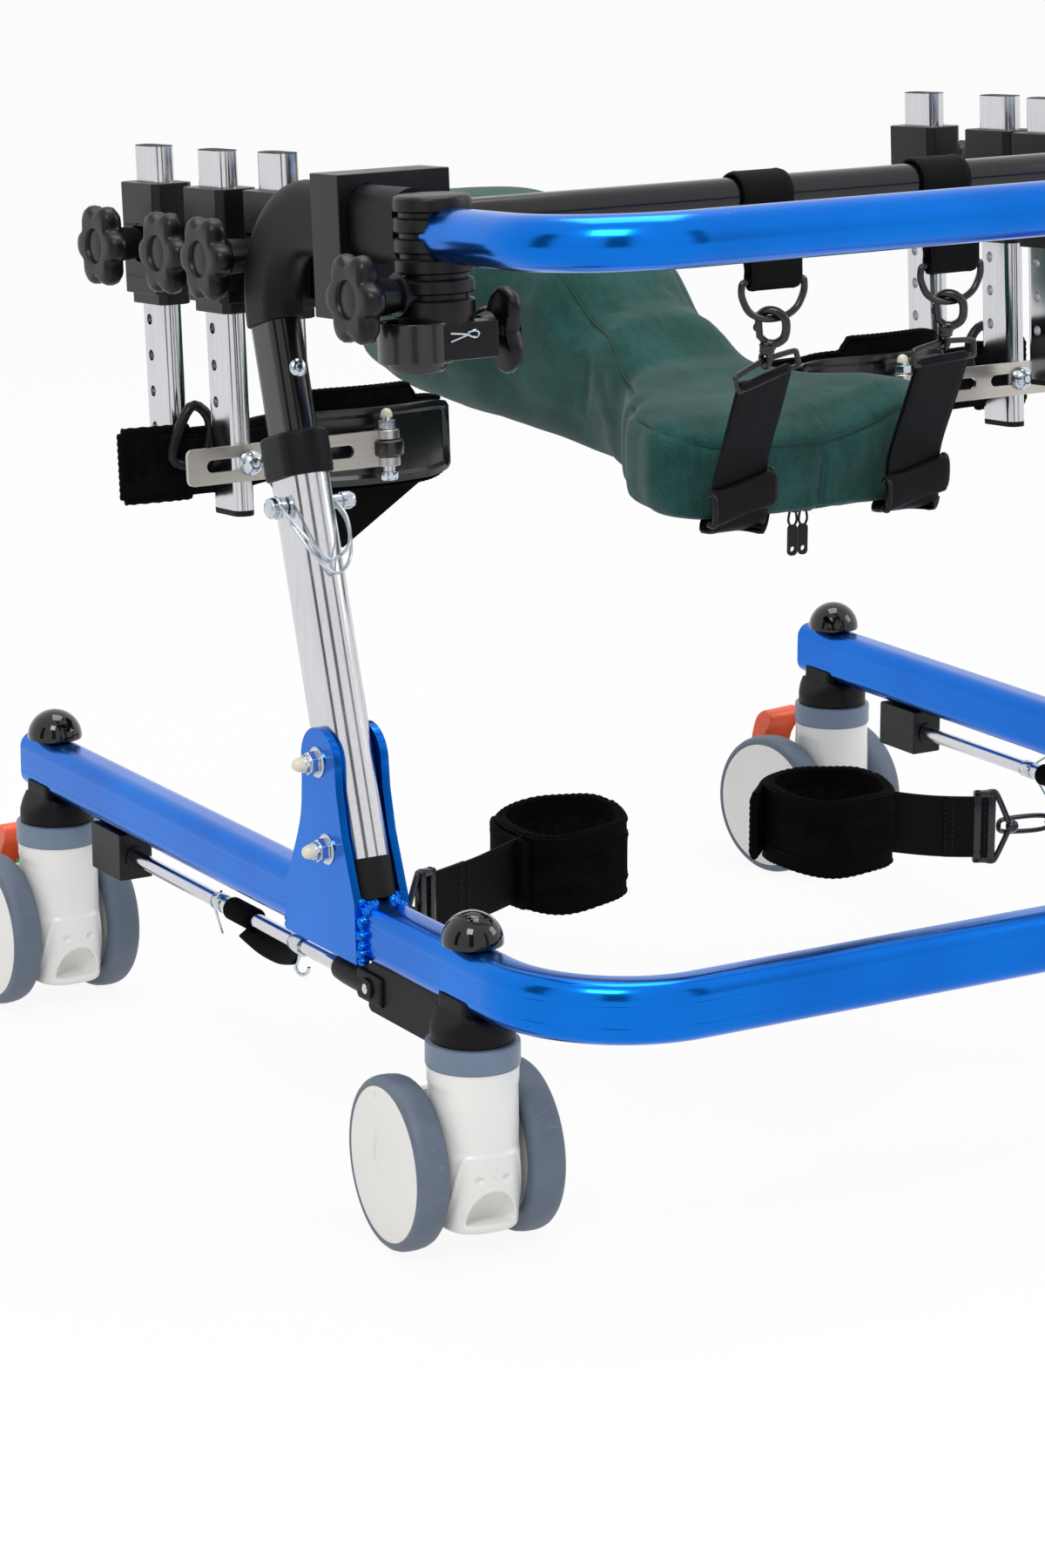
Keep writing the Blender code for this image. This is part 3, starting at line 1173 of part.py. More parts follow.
def strap_front(side_name, side):
    """Front seat strap: webbing under the nose, slider, snap hook, ring and hanger webbing."""
    x = side * STRAP_X
    bow = nose_bow(STRAP_X - SLIDER_WIDE / 2)
    nose = from_front(SADDLE_FRONT_Y) + bow - 0.003
    low = SADDLE_LOW_Z + GAP - STRAP_THICK
    top = (from_front(STRAP_TOP_Y), STRAP_TOP_Z)
    t = STRAP_THICK
    under = nose + STRAP_UNDER
    knee = SADDLE_LOW_Z + STRAP_KNEE_UP
    outline = [
        (top[0] - t / 2, top[1]), (top[0] + t / 2, top[1]), (nose - 0.004, knee),
        (nose - 0.004, low + t + 0.004), (nose + 0.002, low + t), (under, low + t), (under, low),
        (nose - 0.004, low), (nose - 0.004 - t, low + 0.004), (nose - 0.004 - t, knee),
    ]
    strap = side_plate("seat_strap_front_" + side_name, outline, STRAP_WIDE, x)
    slider_y = nose - 0.004 - t / 2
    join(strap, box("slider_" + side_name, (SLIDER_WIDE, SLIDER_THICK, SLIDER_TALL),
                    (x, slider_y - 0.001, low + 0.006 + SLIDER_TALL / 2)))
    hook_low, hook_high = STRAP_TOP_Z - 0.004, RING_Z - RING_RADIUS + 0.003
    ring_y = top[0] - 0.006
    hook = [(top[0] + 0.002, hook_low), (ring_y + 0.0025, hook_high), (ring_y - 0.0025, hook_high),
            (top[0] - 0.003, hook_low)]
    join(strap, side_plate("hook_" + side_name, hook, HOOK_WIDE, x))
    join(strap, ring_wire("ring_" + side_name, x, ring_y))
    bar = (tipped() @ Vector((0, from_front(CROSS_BAR_Y), ARM_Z))).yz
    hanger_low = RING_Z + RING_RADIUS - RING_WIRE
    reach = CROSS_BAR_RADIUS + GAP
    hanger = [(ring_y - 0.002, hanger_low), (ring_y + 0.002, hanger_low),
              (bar[0] - reach * 0.72 - 0.001, bar[1] - reach * 0.72 - 0.001),
              (bar[0] - reach * 0.72 - 0.004, bar[1] - reach * 0.72 + 0.001)]
    join(strap, side_plate("hanger_" + side_name, hanger, STRAP_WIDE - 0.004, x))
    loop = plate("bar_loop_" + side_name, arc((0, 0), reach + 0.003, 0, 337.5, 15), STRAP_WIDE - 0.004,
                 Matrix(((0, 0, 1, x), (1, 0, 0, bar[0]), (0, 1, 0, bar[1]), (0, 0, 0, 1))),
                 [arc((0, 0), reach, 0, 337.5, 15)])
    join(strap, loop)
    finish(strap, "black_webbing")


def ring_wire(name, x, y):
    """A closed wire ring standing across Y."""
    bpy.ops.mesh.primitive_torus_add(major_radius=RING_RADIUS, minor_radius=RING_WIRE, major_segments=16,
                                     minor_segments=5, location=(x, y, RING_Z), rotation=(math.pi / 2, 0, 0))
    ring = bpy.context.object
    for collection in list(ring.users_collection):
        collection.objects.unlink(ring)
    parts.objects.link(ring)
    ring.name = name
    return ring


def strap_rear(side_name, side):
    """Rear seat strap from the saddle's tail out to the end of the post rail."""
    bar_end = tipped() @ Vector((side * post_rail_x(), post_y("rear") + POST_RAIL_TAIL, POST_RAIL_Z))
    tail_y = from_front(SADDLE_FRONT_Y + SADDLE_LONG * 0.90)
    start = Vector((side * TAIL_STRAP_X, tail_y, SADDLE_LOW_Z + TAIL_STRAP_UP))
    end = bar_end + Vector((side * -0.004, 0.0015, 0.0))
    along = (end - start).normalized()
    wide = Vector((0, 0, 1)).cross(along).cross(along).normalized() * -STRAP_WIDE / 2
    thick = along.cross(wide).normalized() * STRAP_THICK / 4
    rings = []
    for point, share in ((start, 1.0), (start.lerp(end, 0.5), 1.0), (end, 0.62)):
        rings.append([tuple(point + wide * a * share + thick * b)
                      for a, b in ((-1, -1), (1, -1), (1, 1), (-1, 1))])
    strap = loft("seat_strap_rear_" + side_name, rings)
    finish(strap, "black_webbing")


# Ankle cuffs

def ankle_cuff(side_name, side):
    """Padded cuff, webbing, cord and the carrier that runs on the guide rod."""
    (cuff_x, cuff_y), (web_x, web_y) = CUFF_PLACE[side_name], WEB_END[side_name]
    x, y = side * cuff_x, from_front(cuff_y)
    carrier_y = from_front(CARRIER_Y[side_name])
    slide = hold("slide_cuff_" + side_name, Matrix.Translation((side * STEM_X, carrier_y, ROD_Z)))
    low, high = CUFF_LOW_Z, CUFF_LOW_Z + CUFF_TALL
    levels = ((low, 0.002), (low + 0.004, 0.0), (high - 0.004, 0.0), (high, 0.002))
    cuff = loft("ankle_cuff_" + side_name,
                [[(x + a, y + b, z) for a, b in oval(CUFF_HALF_X - inset, CUFF_HALF_Y - inset, 2.2, 20)]
                 for z, inset in levels])
    cut(cuff, loft("cuff_bore_" + side_name,
                   [[(x + a, y + b, z) for a, b in oval(CUFF_HALF_X - CUFF_WALL, CUFF_HALF_Y - CUFF_WALL, 2.2, 20)]
                    for z in (low - 0.01, high + 0.01)]))
    away = Vector((side * (web_x - cuff_x), web_y - cuff_y, 0)).normalized()
    across = Vector((-away.y, away.x, 0)) * CUFF_STRAP_THICK / 2
    start = Vector((x, y, (low + high) / 2)) + away * (CUFF_HALF_X - CUFF_WALL * 0.5)
    end = Vector((side * web_x, from_front(web_y), ROD_Z + 0.014))
    tall = Vector((0, 0, CUFF_STRAP_TALL / 2))
    web = [[tuple(point + across * a + tall * b * share) for a, b in ((-1, -1), (1, -1), (1, 1), (-1, 1))]
           for point, share in ((start, 1.0), (start.lerp(end, 0.85), 1.0), (end, 0.75))]
    join(cuff, loft("cuff_web_" + side_name, web))
    inner = Vector((side * (STEM_X - ROD_RADIUS - RUN - CARRIER_WALL / 2), carrier_y, ROD_Z))
    reach = (inner - end).length
    cord = [tuple((end - away * 0.004).lerp(inner, i / 4) - Vector((0, 0, math.sin(math.pi * i / 4) * reach * 0.06)))
            for i in range(5)]
    join(cuff, pipe("cuff_cord_" + side_name, cord, 0.0030, 1))
    outer = ROD_RADIUS + RUN + CARRIER_WALL
    join(cuff, rod("carrier_" + side_name, outer, (side * STEM_X, carrier_y - CARRIER_LONG / 2, ROD_Z),
                   (side * STEM_X, carrier_y + CARRIER_LONG / 2, ROD_Z), 16))
    cut(cuff, rod("carrier_bore_" + side_name, ROD_RADIUS + RUN, (side * STEM_X, carrier_y - CARRIER_LONG, ROD_Z),
                  (side * STEM_X, carrier_y + CARRIER_LONG, ROD_Z), 16))
    smooth(cuff)
    finish(cuff, "black_neoprene")
    seat(cuff, slide)


# Assembly

base_frame()
for stem_name, stem_x, stem_y in stem_places():
    stem(stem_name, stem_x, stem_y)
    caster(stem_name, stem_x, stem_y)
for label, sign in SIDES:
    leg_tube(label, sign)
    leg_upper(label, sign)
    lock_pin(label, sign)
    rod_block(label, sign)
    guide_rod(label, sign)
    strap_front(label, sign)
    strap_rear(label, sign)
    ankle_cuff(label, sign)
saddle()

standing = list(bpy.data.objects)
for label, sign in SIDES:
    hub(label, sign)
    knob("hub_knob_" + label, sign, sign * (STEM_X + HUB_RADIUS + HUB_BOSS + GAP),
         from_front(HUB_Y), HUB_KNOB_Z, 0.012)
    post_rail(label, sign)
    for which_post in POST_ORDER:
        post(which_post, label, sign)
        knob(f"post_knob_{which_post}_{label}", sign, sign * (sleeve_face(which_post) + GAP), post_y(which_post),
             POST_KNOB_Z, SLEEVE_WALL - 0.001, FRONT_KNOB_NECK if which_post == "front" else KNOB_NECK)
    slotted_plate(label, sign)
    thigh_pad(label, sign)
hand_rail()
cross_bar()
for item in [made for made in bpy.data.objects if made not in standing]:
    if item.parent is None:
        item.matrix_world = tipped() @ item.matrix_world
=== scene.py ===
# %% [markdown]
# # A pediatric walker, dressed for the studio
# The walker is a gait trainer for a child: a low blue frame on four twin-wheel
# casters, two telescopic legs, and an upper frame that carries posts, thigh
# guides and a saddle on straps. The solids come from the CAD model, and this
# script gives them their visible form: rounder skins, seams, stitches, bolts,
# and materials with grain. Nothing is moved, so each piece lands where the CAD
# puts it and follows the same joints.

# %% Load the frame
import json
import math
import bmesh
import bpy
import numpy as np
from mathutils import Matrix, Vector, noise
from mathutils.bvhtree import BVHTree

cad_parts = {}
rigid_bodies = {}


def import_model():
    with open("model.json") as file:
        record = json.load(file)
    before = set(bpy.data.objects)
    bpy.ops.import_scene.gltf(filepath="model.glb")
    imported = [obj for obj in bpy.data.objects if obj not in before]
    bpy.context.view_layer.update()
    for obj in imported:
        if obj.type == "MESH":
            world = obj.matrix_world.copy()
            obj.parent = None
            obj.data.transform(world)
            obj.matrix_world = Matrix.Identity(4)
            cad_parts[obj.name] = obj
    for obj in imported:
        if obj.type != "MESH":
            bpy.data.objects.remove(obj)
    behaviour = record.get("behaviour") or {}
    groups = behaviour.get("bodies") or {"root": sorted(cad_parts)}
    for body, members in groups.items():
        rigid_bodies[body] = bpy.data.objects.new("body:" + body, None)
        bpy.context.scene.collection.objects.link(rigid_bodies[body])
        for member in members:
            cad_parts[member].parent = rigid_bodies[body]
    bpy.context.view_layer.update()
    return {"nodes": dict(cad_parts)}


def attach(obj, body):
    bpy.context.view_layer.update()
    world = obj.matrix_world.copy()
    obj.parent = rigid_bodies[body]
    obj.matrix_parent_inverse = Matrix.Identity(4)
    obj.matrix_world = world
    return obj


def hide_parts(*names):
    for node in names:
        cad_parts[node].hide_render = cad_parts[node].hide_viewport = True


for old in list(bpy.data.objects):
    bpy.data.objects.remove(old)
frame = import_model()

# %% [markdown]
# ## Outlines and skins
# Most parts of a walker are extrusions, bent tubes, turned pieces and flat
# plates. A few helpers make those skins straight in the walker's own
# coordinates: a loft joins rings, a lathe turns a profile, a prism thickens an
# outline, and a tube carries a circle along a line. Mesh code is used here
# because every size must agree with the CAD to a fraction of a millimetre.

# %% Helpers for outlines


def clamp(value):
    return min(1.0, max(0.0, value))


def ease(value):
    """A smooth step from 0 to 1."""
    t = clamp(value)
    return t * t * (3 - 2 * t)


def arc(centre, radius, start, end, count):
    """Points on an arc in the plane, both ends included, angles in degrees."""
    turns = [math.radians(start + (end - start) * i / count) for i in range(count + 1)]
    return [(centre[0] + radius * math.cos(a), centre[1] + radius * math.sin(a)) for a in turns]


def round_box(wide, tall, radius, count=5):
    """A rectangle with round corners about the origin."""
    x, y = wide / 2 - radius, tall / 2 - radius
    corners = ((x, y, 0), (-x, y, 90), (-x, -y, 180), (x, -y, 270))
    return [p for cx, cy, turn in corners for p in arc((cx, cy), radius, turn, turn + 90, count)]


def flat_oval(wide, thick, count=12):
    """Two half circles and two flats, long along the first coordinate."""
    x = (wide - thick) / 2
    return arc((x, 0), thick / 2, -90, 90, count) + arc((-x, 0), thick / 2, 90, 270, count)


def oval(half_x, half_y, power=2.0, count=48):
    """A superellipse: power 2 is an ellipse, and more is squarer."""
    made = []
    for i in range(count):
        c, s = math.cos(math.tau * i / count), math.sin(math.tau * i / count)
        made.append((math.copysign(abs(c) ** (2 / power), c) * half_x,
                     math.copysign(abs(s) ** (2 / power), s) * half_y))
    return made


def spline(points, count=6, closed=False):
    """Points on a smooth curve through given ones."""
    pts = [Vector(p) for p in points]
    ends = [pts[-1], *pts, pts[0], pts[1]] if closed else [pts[0], *pts, pts[-1]]
    made = []
    for p0, p1, p2, p3 in zip(ends, ends[1:], ends[2:], ends[3:]):
        for k in range(count):
            t = k / count
            made.append(0.5 * (2 * p1 + (p2 - p0) * t + (2 * p0 - 5 * p1 + 4 * p2 - p3) * t * t
                               + (3 * p1 - p0 - 3 * p2 + p3) * t ** 3))
    return made if closed else made + [pts[-1]]


# %% Helpers for skins


def placed(name, data):
    """A new object in the scene."""
    made = bpy.data.objects.new(name, data)
    bpy.context.scene.collection.objects.link(made)
    return made


def as_object(bm, name):
    """Turns a skin into an object, and frees the skin."""
    mesh = bpy.data.meshes.new(name)
    bm.to_mesh(mesh)
    bm.free()
    return placed(name, mesh)


def as_shown(thing):
    """The mesh of an object with its modifiers applied."""
    bpy.context.view_layer.update()
    return bpy.data.meshes.new_from_object(thing.evaluated_get(bpy.context.evaluated_depsgraph_get()))


def as_skin(mesh, *used):
    """Turns a mesh into a skin, and removes it and the objects that it came from."""
    out = bmesh.new()
    out.from_mesh(mesh)
    bpy.data.meshes.remove(mesh)
    for thing in used:
        data = thing.data
        bpy.data.objects.remove(thing)
        bpy.data.meshes.remove(data)
    return out


def outward(bm):
    """Merges doubles and turns every face outwards."""
    bmesh.ops.remove_doubles(bm, verts=bm.verts, dist=1e-6)
    bmesh.ops.recalc_face_normals(bm, faces=bm.faces)
    return bm


def loft(rings, closed=False):
    """Joins rings of equally many points; closed joins the last ring to the first."""
    bm = bmesh.new()
    rows = [[bm.verts.new(p) for p in ring] for ring in rings]
    for low, high in list(zip(rows, rows[1:])) + ([(rows[-1], rows[0])] if closed else []):
        for i in range(len(low)):
            j = (i + 1) % len(low)
            bm.faces.new((low[i], low[j], high[j], high[i]))
    if not closed:
        bm.faces.new(rows[0][::-1])
        bm.faces.new(rows[-1])
    return outward(bm)


def lathe(profile, place=Matrix(), steps=48):
    """Turns a profile of (radius, height) about Z; its ends close on the axis."""
    rings = [[(r * math.cos(math.tau * i / steps), r * math.sin(math.tau * i / steps), z)
              for i in range(steps)]
             for r, z in profile]
    return moved(loft(rings), place)


def moved(bm, place):
    bmesh.ops.transform(bm, matrix=place, verts=bm.verts)
    if place.determinant() < 0:
        bmesh.ops.reverse_faces(bm, faces=bm.faces)
    return bm


def steps_of(points, closed=False):
    """The direction of travel at each point of a line."""
    last = len(points) - 1
    made = []
    for i in range(len(points)):
        before = points[i - 1] if i or closed else points[0]
        after = points[(i + 1) % len(points)] if i < last or closed else points[last]
        made.append((Vector(after) - Vector(before)).normalized())
    return made


def tube(points, radius, sides=12, closed=False):
    """A round wire or pipe along a line, without twist. radius is a number or one per point."""
    points = [Vector(p) for p in points]
    along = steps_of(points, closed)
    side = along[0].orthogonal().normalized()
    rings = []
    for i, (p, t) in enumerate(zip(points, along)):
        side = (side - t * side.dot(t)).normalized()
        up = t.cross(side)
        r = radius[i] if hasattr(radius, "__len__") else radius
        rings.append([p + (side * math.cos(math.tau * k / sides) + up * math.sin(math.tau * k / sides)) * r
                      for k in range(sides)])
    return loft(rings, closed=closed)


def twisted(count, low=0.003, more=0.0005):
    """Radii of a twisted cord, for each point of its line."""
    return [low + more * (k % 2) for k in range(count)]


def bar(start, end, radius, sides=32):
    return tube([start, end], radius, sides)


def ball(centre, radius, scale=(1, 1, 1), detail=3):
    bm = bmesh.new()
    bmesh.ops.create_icosphere(bm, subdivisions=detail, radius=radius)
    return moved(bm, Matrix.Translation(centre) @ Matrix.Diagonal((*scale, 1)))


def block(size, centre, soft=0.0):
    bm = bmesh.new()
    bmesh.ops.create_cube(bm, size=1.0)
    moved(bm, Matrix.Translation(centre) @ Matrix.Diagonal((*size, 1)))
    return soften(bm, soft) if soft else bm


def prism(outline, thick, place, holes=(), soft=0.0):
    """A flat outline with holes, thickened about its own plane."""
    curve = bpy.data.curves.new("outline", "CURVE")
    curve.dimensions, curve.fill_mode, curve.extrude = "2D", "BOTH", thick / 2
    for points in (outline, *holes):
        line = curve.splines.new("POLY")
        line.points.add(len(points) - 1)
        for target, point in zip(line.points, points):
            target.co = (*point, 0.0, 1.0)
        line.use_cyclic_u = True
    sketch = bpy.data.objects.new("outline", curve)
    bm = bmesh.new()
    bm.from_mesh(sketch.to_mesh())
    bpy.data.objects.remove(sketch)
    bpy.data.curves.remove(curve)
    outward(bm)
    if soft:
        flats = [e for e in bm.edges if len(e.link_faces) == 2 and e.calc_face_angle() < 0.02]
        bmesh.ops.dissolve_edges(bm, edges=flats, use_verts=False)
        soften(bm, soft)
    return moved(bm, place)


def soften(bm, width, count=2, angle=32):
    """Rounds the sharp edges, as every moulded, cast or filed part has them."""
    sharp = [e for e in bm.edges if len(e.link_faces) == 2 and abs(e.calc_face_angle()) > math.radians(angle)]
    bmesh.ops.bevel(bm, geom=sharp, offset=width, segments=count, profile=0.5, affect="EDGES",
                    clamp_overlap=True)
    return bm


def copy_of(node):
    """A welded copy of a CAD node, which is itself never changed."""
    bm = bmesh.new()
    bm.from_mesh(frame["nodes"][node].data)
    bmesh.ops.remove_doubles(bm, verts=bm.verts, dist=2e-6)
    bmesh.ops.dissolve_limit(bm, angle_limit=0.01, verts=bm.verts, edges=bm.edges)
    return bm


def side_place(x):
    """Stands an outline given as (y, z) across X."""
    return Matrix(((0, 0, 1, x), (1, 0, 0, 0), (0, 1, 0, 0), (0, 0, 0, 1)))


def front_place(y, z=0.0):
    """Stands an outline given as (x, z) across Y."""
    return Matrix(((1, 0, 0, 0), (0, 0, -1, y), (0, 1, 0, z), (0, 0, 0, 1)))


def across_x(side, x, y, z):
    """Places a piece drawn along +Z so that it points to one side."""
    return Matrix.Translation((x, y, z)) @ Matrix.Rotation(side * math.pi / 2, 4, "Y")


def across_y(place):
    """Places a piece drawn along +Z so that it points to the front."""
    return Matrix.Translation(place) @ Matrix.Rotation(math.pi / 2, 4, "X")


def aimed(place, way):
    """Places a piece drawn along +Z so that it points along a direction."""
    return Matrix.Translation(place) @ way.to_track_quat("Z", "X").to_matrix().to_4x4()


# %% Helper that makes a piece


def make(name, body, parts, replaces=(), even=True, angle=40):
    """One object from pairs of a skin or skins and a finish, riding on a body and standing for CAD nodes."""
    mesh = bpy.data.meshes.new(name)
    whole = bmesh.new()
    whole.loops.layers.uv.new("UVMap")
    single = [(bm, material) for skins, material in parts
              for bm in (skins if isinstance(skins, list) else [skins])]
    for index, (bm, material) in enumerate(single):
        for face in bm.faces:
            face.material_index = index
            face.smooth = True
        if not bm.loops.layers.uv:
            bm.loops.layers.uv.new("UVMap")
        step = bpy.data.meshes.new("step")
        bm.to_mesh(step)
        bm.free()
        whole.from_mesh(step)
        bpy.data.meshes.remove(step)
        mesh.materials.append(material)
    whole.to_mesh(mesh)
    whole.free()
    mesh.set_sharp_from_angle(angle=math.radians(angle))
    made = placed(name, mesh)
    if even:
        made.modifiers.new("even_shading", "WEIGHTED_NORMAL").keep_sharp = True
    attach(made, body)
    if replaces:
        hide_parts(*([replaces] if isinstance(replaces, str) else replaces))
    return made


def carve(bm, tools, operation="DIFFERENCE"):
    """Cuts tool skins out of a skin, or joins them to it, with an exact Boolean."""
    made = [as_object(skin, "carve") for skin in [bm, *tools]]
    for tool in made[1:]:
        step = made[0].modifiers.new("carve", "BOOLEAN")
        step.operation, step.solver, step.object = operation, "EXACT", tool
    return as_skin(as_shown(made[0]), *made)


def moulded(bm, voxel, rounds):
    """Remeshes a skin in small voxels and relaxes it, so that its edges turn soft as in a moulding."""
    rough = as_object(bm, "moulded")
    step = rough.modifiers.new("voxels", "REMESH")
    step.mode, step.voxel_size, step.use_smooth_shade = "VOXEL", voxel, True
    relax = rough.modifiers.new("relax", "SMOOTH")
    relax.factor, relax.iterations = 0.5, rounds
    return as_skin(as_shown(rough), rough)


# %% [markdown]
# ## Shared surface effects
# Real surfaces are never one colour. A lacquered tube has a faint ripple, an
# extruded one has drawn lines, plastic has the grain of its mould, and cloth
# has threads. Each effect is a small node group with its own inputs, so that
# several finishes share it with other values. A group only puts out a tone, a
# wear mask and a height; the shader stays in each material, where its plain
# numbers can be read by any program.

# %% Node helpers


def node(tree, kind, inputs=None, **settings):
    """Adds a node, sets its options, and fills or links its inputs."""
    made = tree.nodes.new(kind)
    for key, value in settings.items():
        setattr(made, key, value)
    for key, value in (inputs or {}).items():
        if isinstance(value, bpy.types.NodeSocket):
            tree.links.new(value, made.inputs[key])
        else:
            made.inputs[key].default_value = value
    return made


def effect(name, build, **values):
    """A node group that puts out Tone, Wear and Height, from a vector and named numbers."""
    tree = bpy.data.node_groups.new(name, "ShaderNodeTree")
    tree.interface.new_socket(name="Vector", in_out="INPUT", socket_type="NodeSocketVector")
    for key, value in values.items():
        kind = "NodeSocketVector" if hasattr(value, "__len__") else "NodeSocketFloat"
        tree.interface.new_socket(name=key, in_out="INPUT", socket_type=kind).default_value = value
    for key in ("Tone", "Wear", "Height"):
        tree.interface.new_socket(name=key, in_out="OUTPUT", socket_type="NodeSocketFloat")
    inside = node(tree, "NodeGroupInput")
    tone, wear, height = build(tree, inside.outputs)
    node(tree, "NodeGroupOutput", {"Tone": tone, "Wear": wear, "Height": height})
    return tree


def maths(tree, operation, a, b=0.5):
    return node(tree, "ShaderNodeMath", {0: a, 1: b}, operation=operation).outputs[0]


def product(tree, a, b):
    return maths(tree, "MULTIPLY", a, b)


def total(tree, *terms):
    """The sum of (value, share) pairs."""
    parts = [product(tree, value, share) for value, share in terms]
    for part in parts[1:]:
        parts[0] = maths(tree, "ADD", parts[0], part)
    return parts[0]


def cloud(tree, vector, scale, detail=3.0, rough=0.5):
    return node(tree, "ShaderNodeTexNoise",
                {"Vector": vector, "Scale": scale, "Detail": detail, "Roughness": rough}).outputs["Fac"]


def colours(tree, share, low, high):
    """A mix of two colours or links by a share."""
    made = node(tree, "ShaderNodeMix", {"Factor": share}, data_type="RGBA")
    for index, value in ((6, low), (7, high)):
        if isinstance(value, bpy.types.NodeSocket):
            tree.links.new(value, made.inputs[index])
        else:
            made.inputs[index].default_value = value
    return made.outputs[2]


def stretch(tree, vector, by):
    return node(tree, "ShaderNodeVectorMath", {0: vector, 1: by}, operation="MULTIPLY").outputs[0]


def ramp(tree, value, low, high):
    """Spreads the values between low and high over 0 to 1."""
    return node(tree, "ShaderNodeMapRange", {"Value": value, "From Min": low, "From Max": high},
                interpolation_type="SMOOTHSTEP").outputs[0]


# %% The shared effects


def ripple_build(tree, given):
    """Sprayed lacquer: slow colour drift, a fine orange peel and stray hairline marks."""
    tone = cloud(tree, given["Vector"], given["Drift"], 2)
    marks = ramp(tree, cloud(tree, stretch(tree, given["Vector"], (1, 1, 7)), given["Marks"], 4, 0.6), 0.63,
                 0.7)
    peel = cloud(tree, given["Vector"], given["Peel"], 1)
    return tone, marks, peel


def drawn_build(tree, given):
    """Extruded or drawn metal: lines along the bar, with soft smudges."""
    lines = cloud(tree, stretch(tree, given["Vector"], given["Across"]), 1.0, 4, 0.65)
    smudge = cloud(tree, given["Vector"], given["Smudge"], 3)
    return total(tree, (lines, 0.55), (smudge, 0.45)), ramp(tree, smudge, 0.52, 0.72), lines


def grain_build(tree, given):
    """Moulded plastic: a fine spark-eroded grain, with scuffs and settled dust on what faces up."""
    grain = node(tree, "ShaderNodeTexVoronoi", {"Vector": given["Vector"], "Scale": given["Grain"]},
                 feature="SMOOTH_F1").outputs["Distance"]
    tone = cloud(tree, given["Vector"], given["Drift"], 3)
    up = node(tree, "ShaderNodeSeparateXYZ", {0: node(tree,
                                                      "ShaderNodeNewGeometry").outputs["Normal"]}).outputs[2]
    dust = product(tree, ramp(tree, up, 0.3, 1.0), ramp(tree, cloud(tree, given["Vector"], 60, 4), 0.4, 0.7))
    scuff = ramp(tree, cloud(tree, stretch(tree, given["Vector"], (1, 5, 2)), given["Drift"], 5, 0.7), 0.62,
                 0.72)
    wear = maths(tree, "MAXIMUM", product(tree, dust, 0.6), scuff)
    return tone, wear, grain


def thread_build(tree, given):
    """Woven band: warp and weft threads that pass over and under each other."""
    parts = node(tree, "ShaderNodeSeparateXYZ", {0: given["Vector"]}).outputs
    across = product(tree, parts[0], given["Threads"])
    along = product(tree, parts[1], product(tree, given["Threads"], given["Ratio"]))
    turn = product(tree, maths(tree, "FLOOR", across), 0.5)
    warp, weft = (maths(tree, "ABSOLUTE", maths(tree, "SINE", product(tree, count, math.pi)))
                  for count in (across, maths(tree, "ADD", along, turn)))
    height = product(tree, warp, maths(tree, "ADD", product(tree, weft, 0.7), 0.3))
    lint = ramp(tree, cloud(tree, given["Vector"], 900, 2), 0.6, 0.75)
    return total(tree, (height, 0.5), (cloud(tree, given["Vector"], 45, 3), 0.5)), lint, height


def nap_build(tree, given):
    """Brushed pile: patches that lie one way or the other, over a fine fuzz."""
    patch = cloud(tree, stretch(tree, given["Vector"], (1, 0.6, 1)), given["Patch"], 4, 0.55)
    stroke = cloud(tree, stretch(tree, given["Vector"], (2.6, 0.9, 0.7)), given["Stroke"], 3, 0.6)
    speck = cloud(tree, given["Vector"], given["Speck"], 2, 0.6)
    tone = total(tree, (patch, 0.5), (stroke, 0.28), (speck, 0.22))
    fuzz = cloud(tree, given["Vector"], given["Fuzz"], 3, 0.7)
    return ramp(tree, tone, 0.4, 0.62), ramp(tree, stroke, 0.45, 0.7), fuzz


ripple = effect("lacquer_ripple", ripple_build, Drift=9.0, Marks=120.0, Peel=900.0)
drawn = effect("drawn_lines", drawn_build, Across=(900.0, 900.0, 14.0), Smudge=22.0)
grain = effect("moulded_grain", grain_build, Grain=2600.0, Drift=30.0)
threads = effect("woven_threads", thread_build, Threads=900.0, Ratio=0.6)
nap = effect("brushed_nap", nap_build, Patch=16.0, Stroke=70.0, Speck=620.0, Fuzz=2600.0)
print("effects:", [g.name for g in (ripple, drawn, grain, threads, nap)])

# %% [markdown]
# ## Finishes
# A finish mixes two colours by the effect's tone, changes its roughness where
# there is wear, and raises a bump from the height. Metal, coat and sheen are
# plain numbers on the shader itself.

# %% Helper for a finish


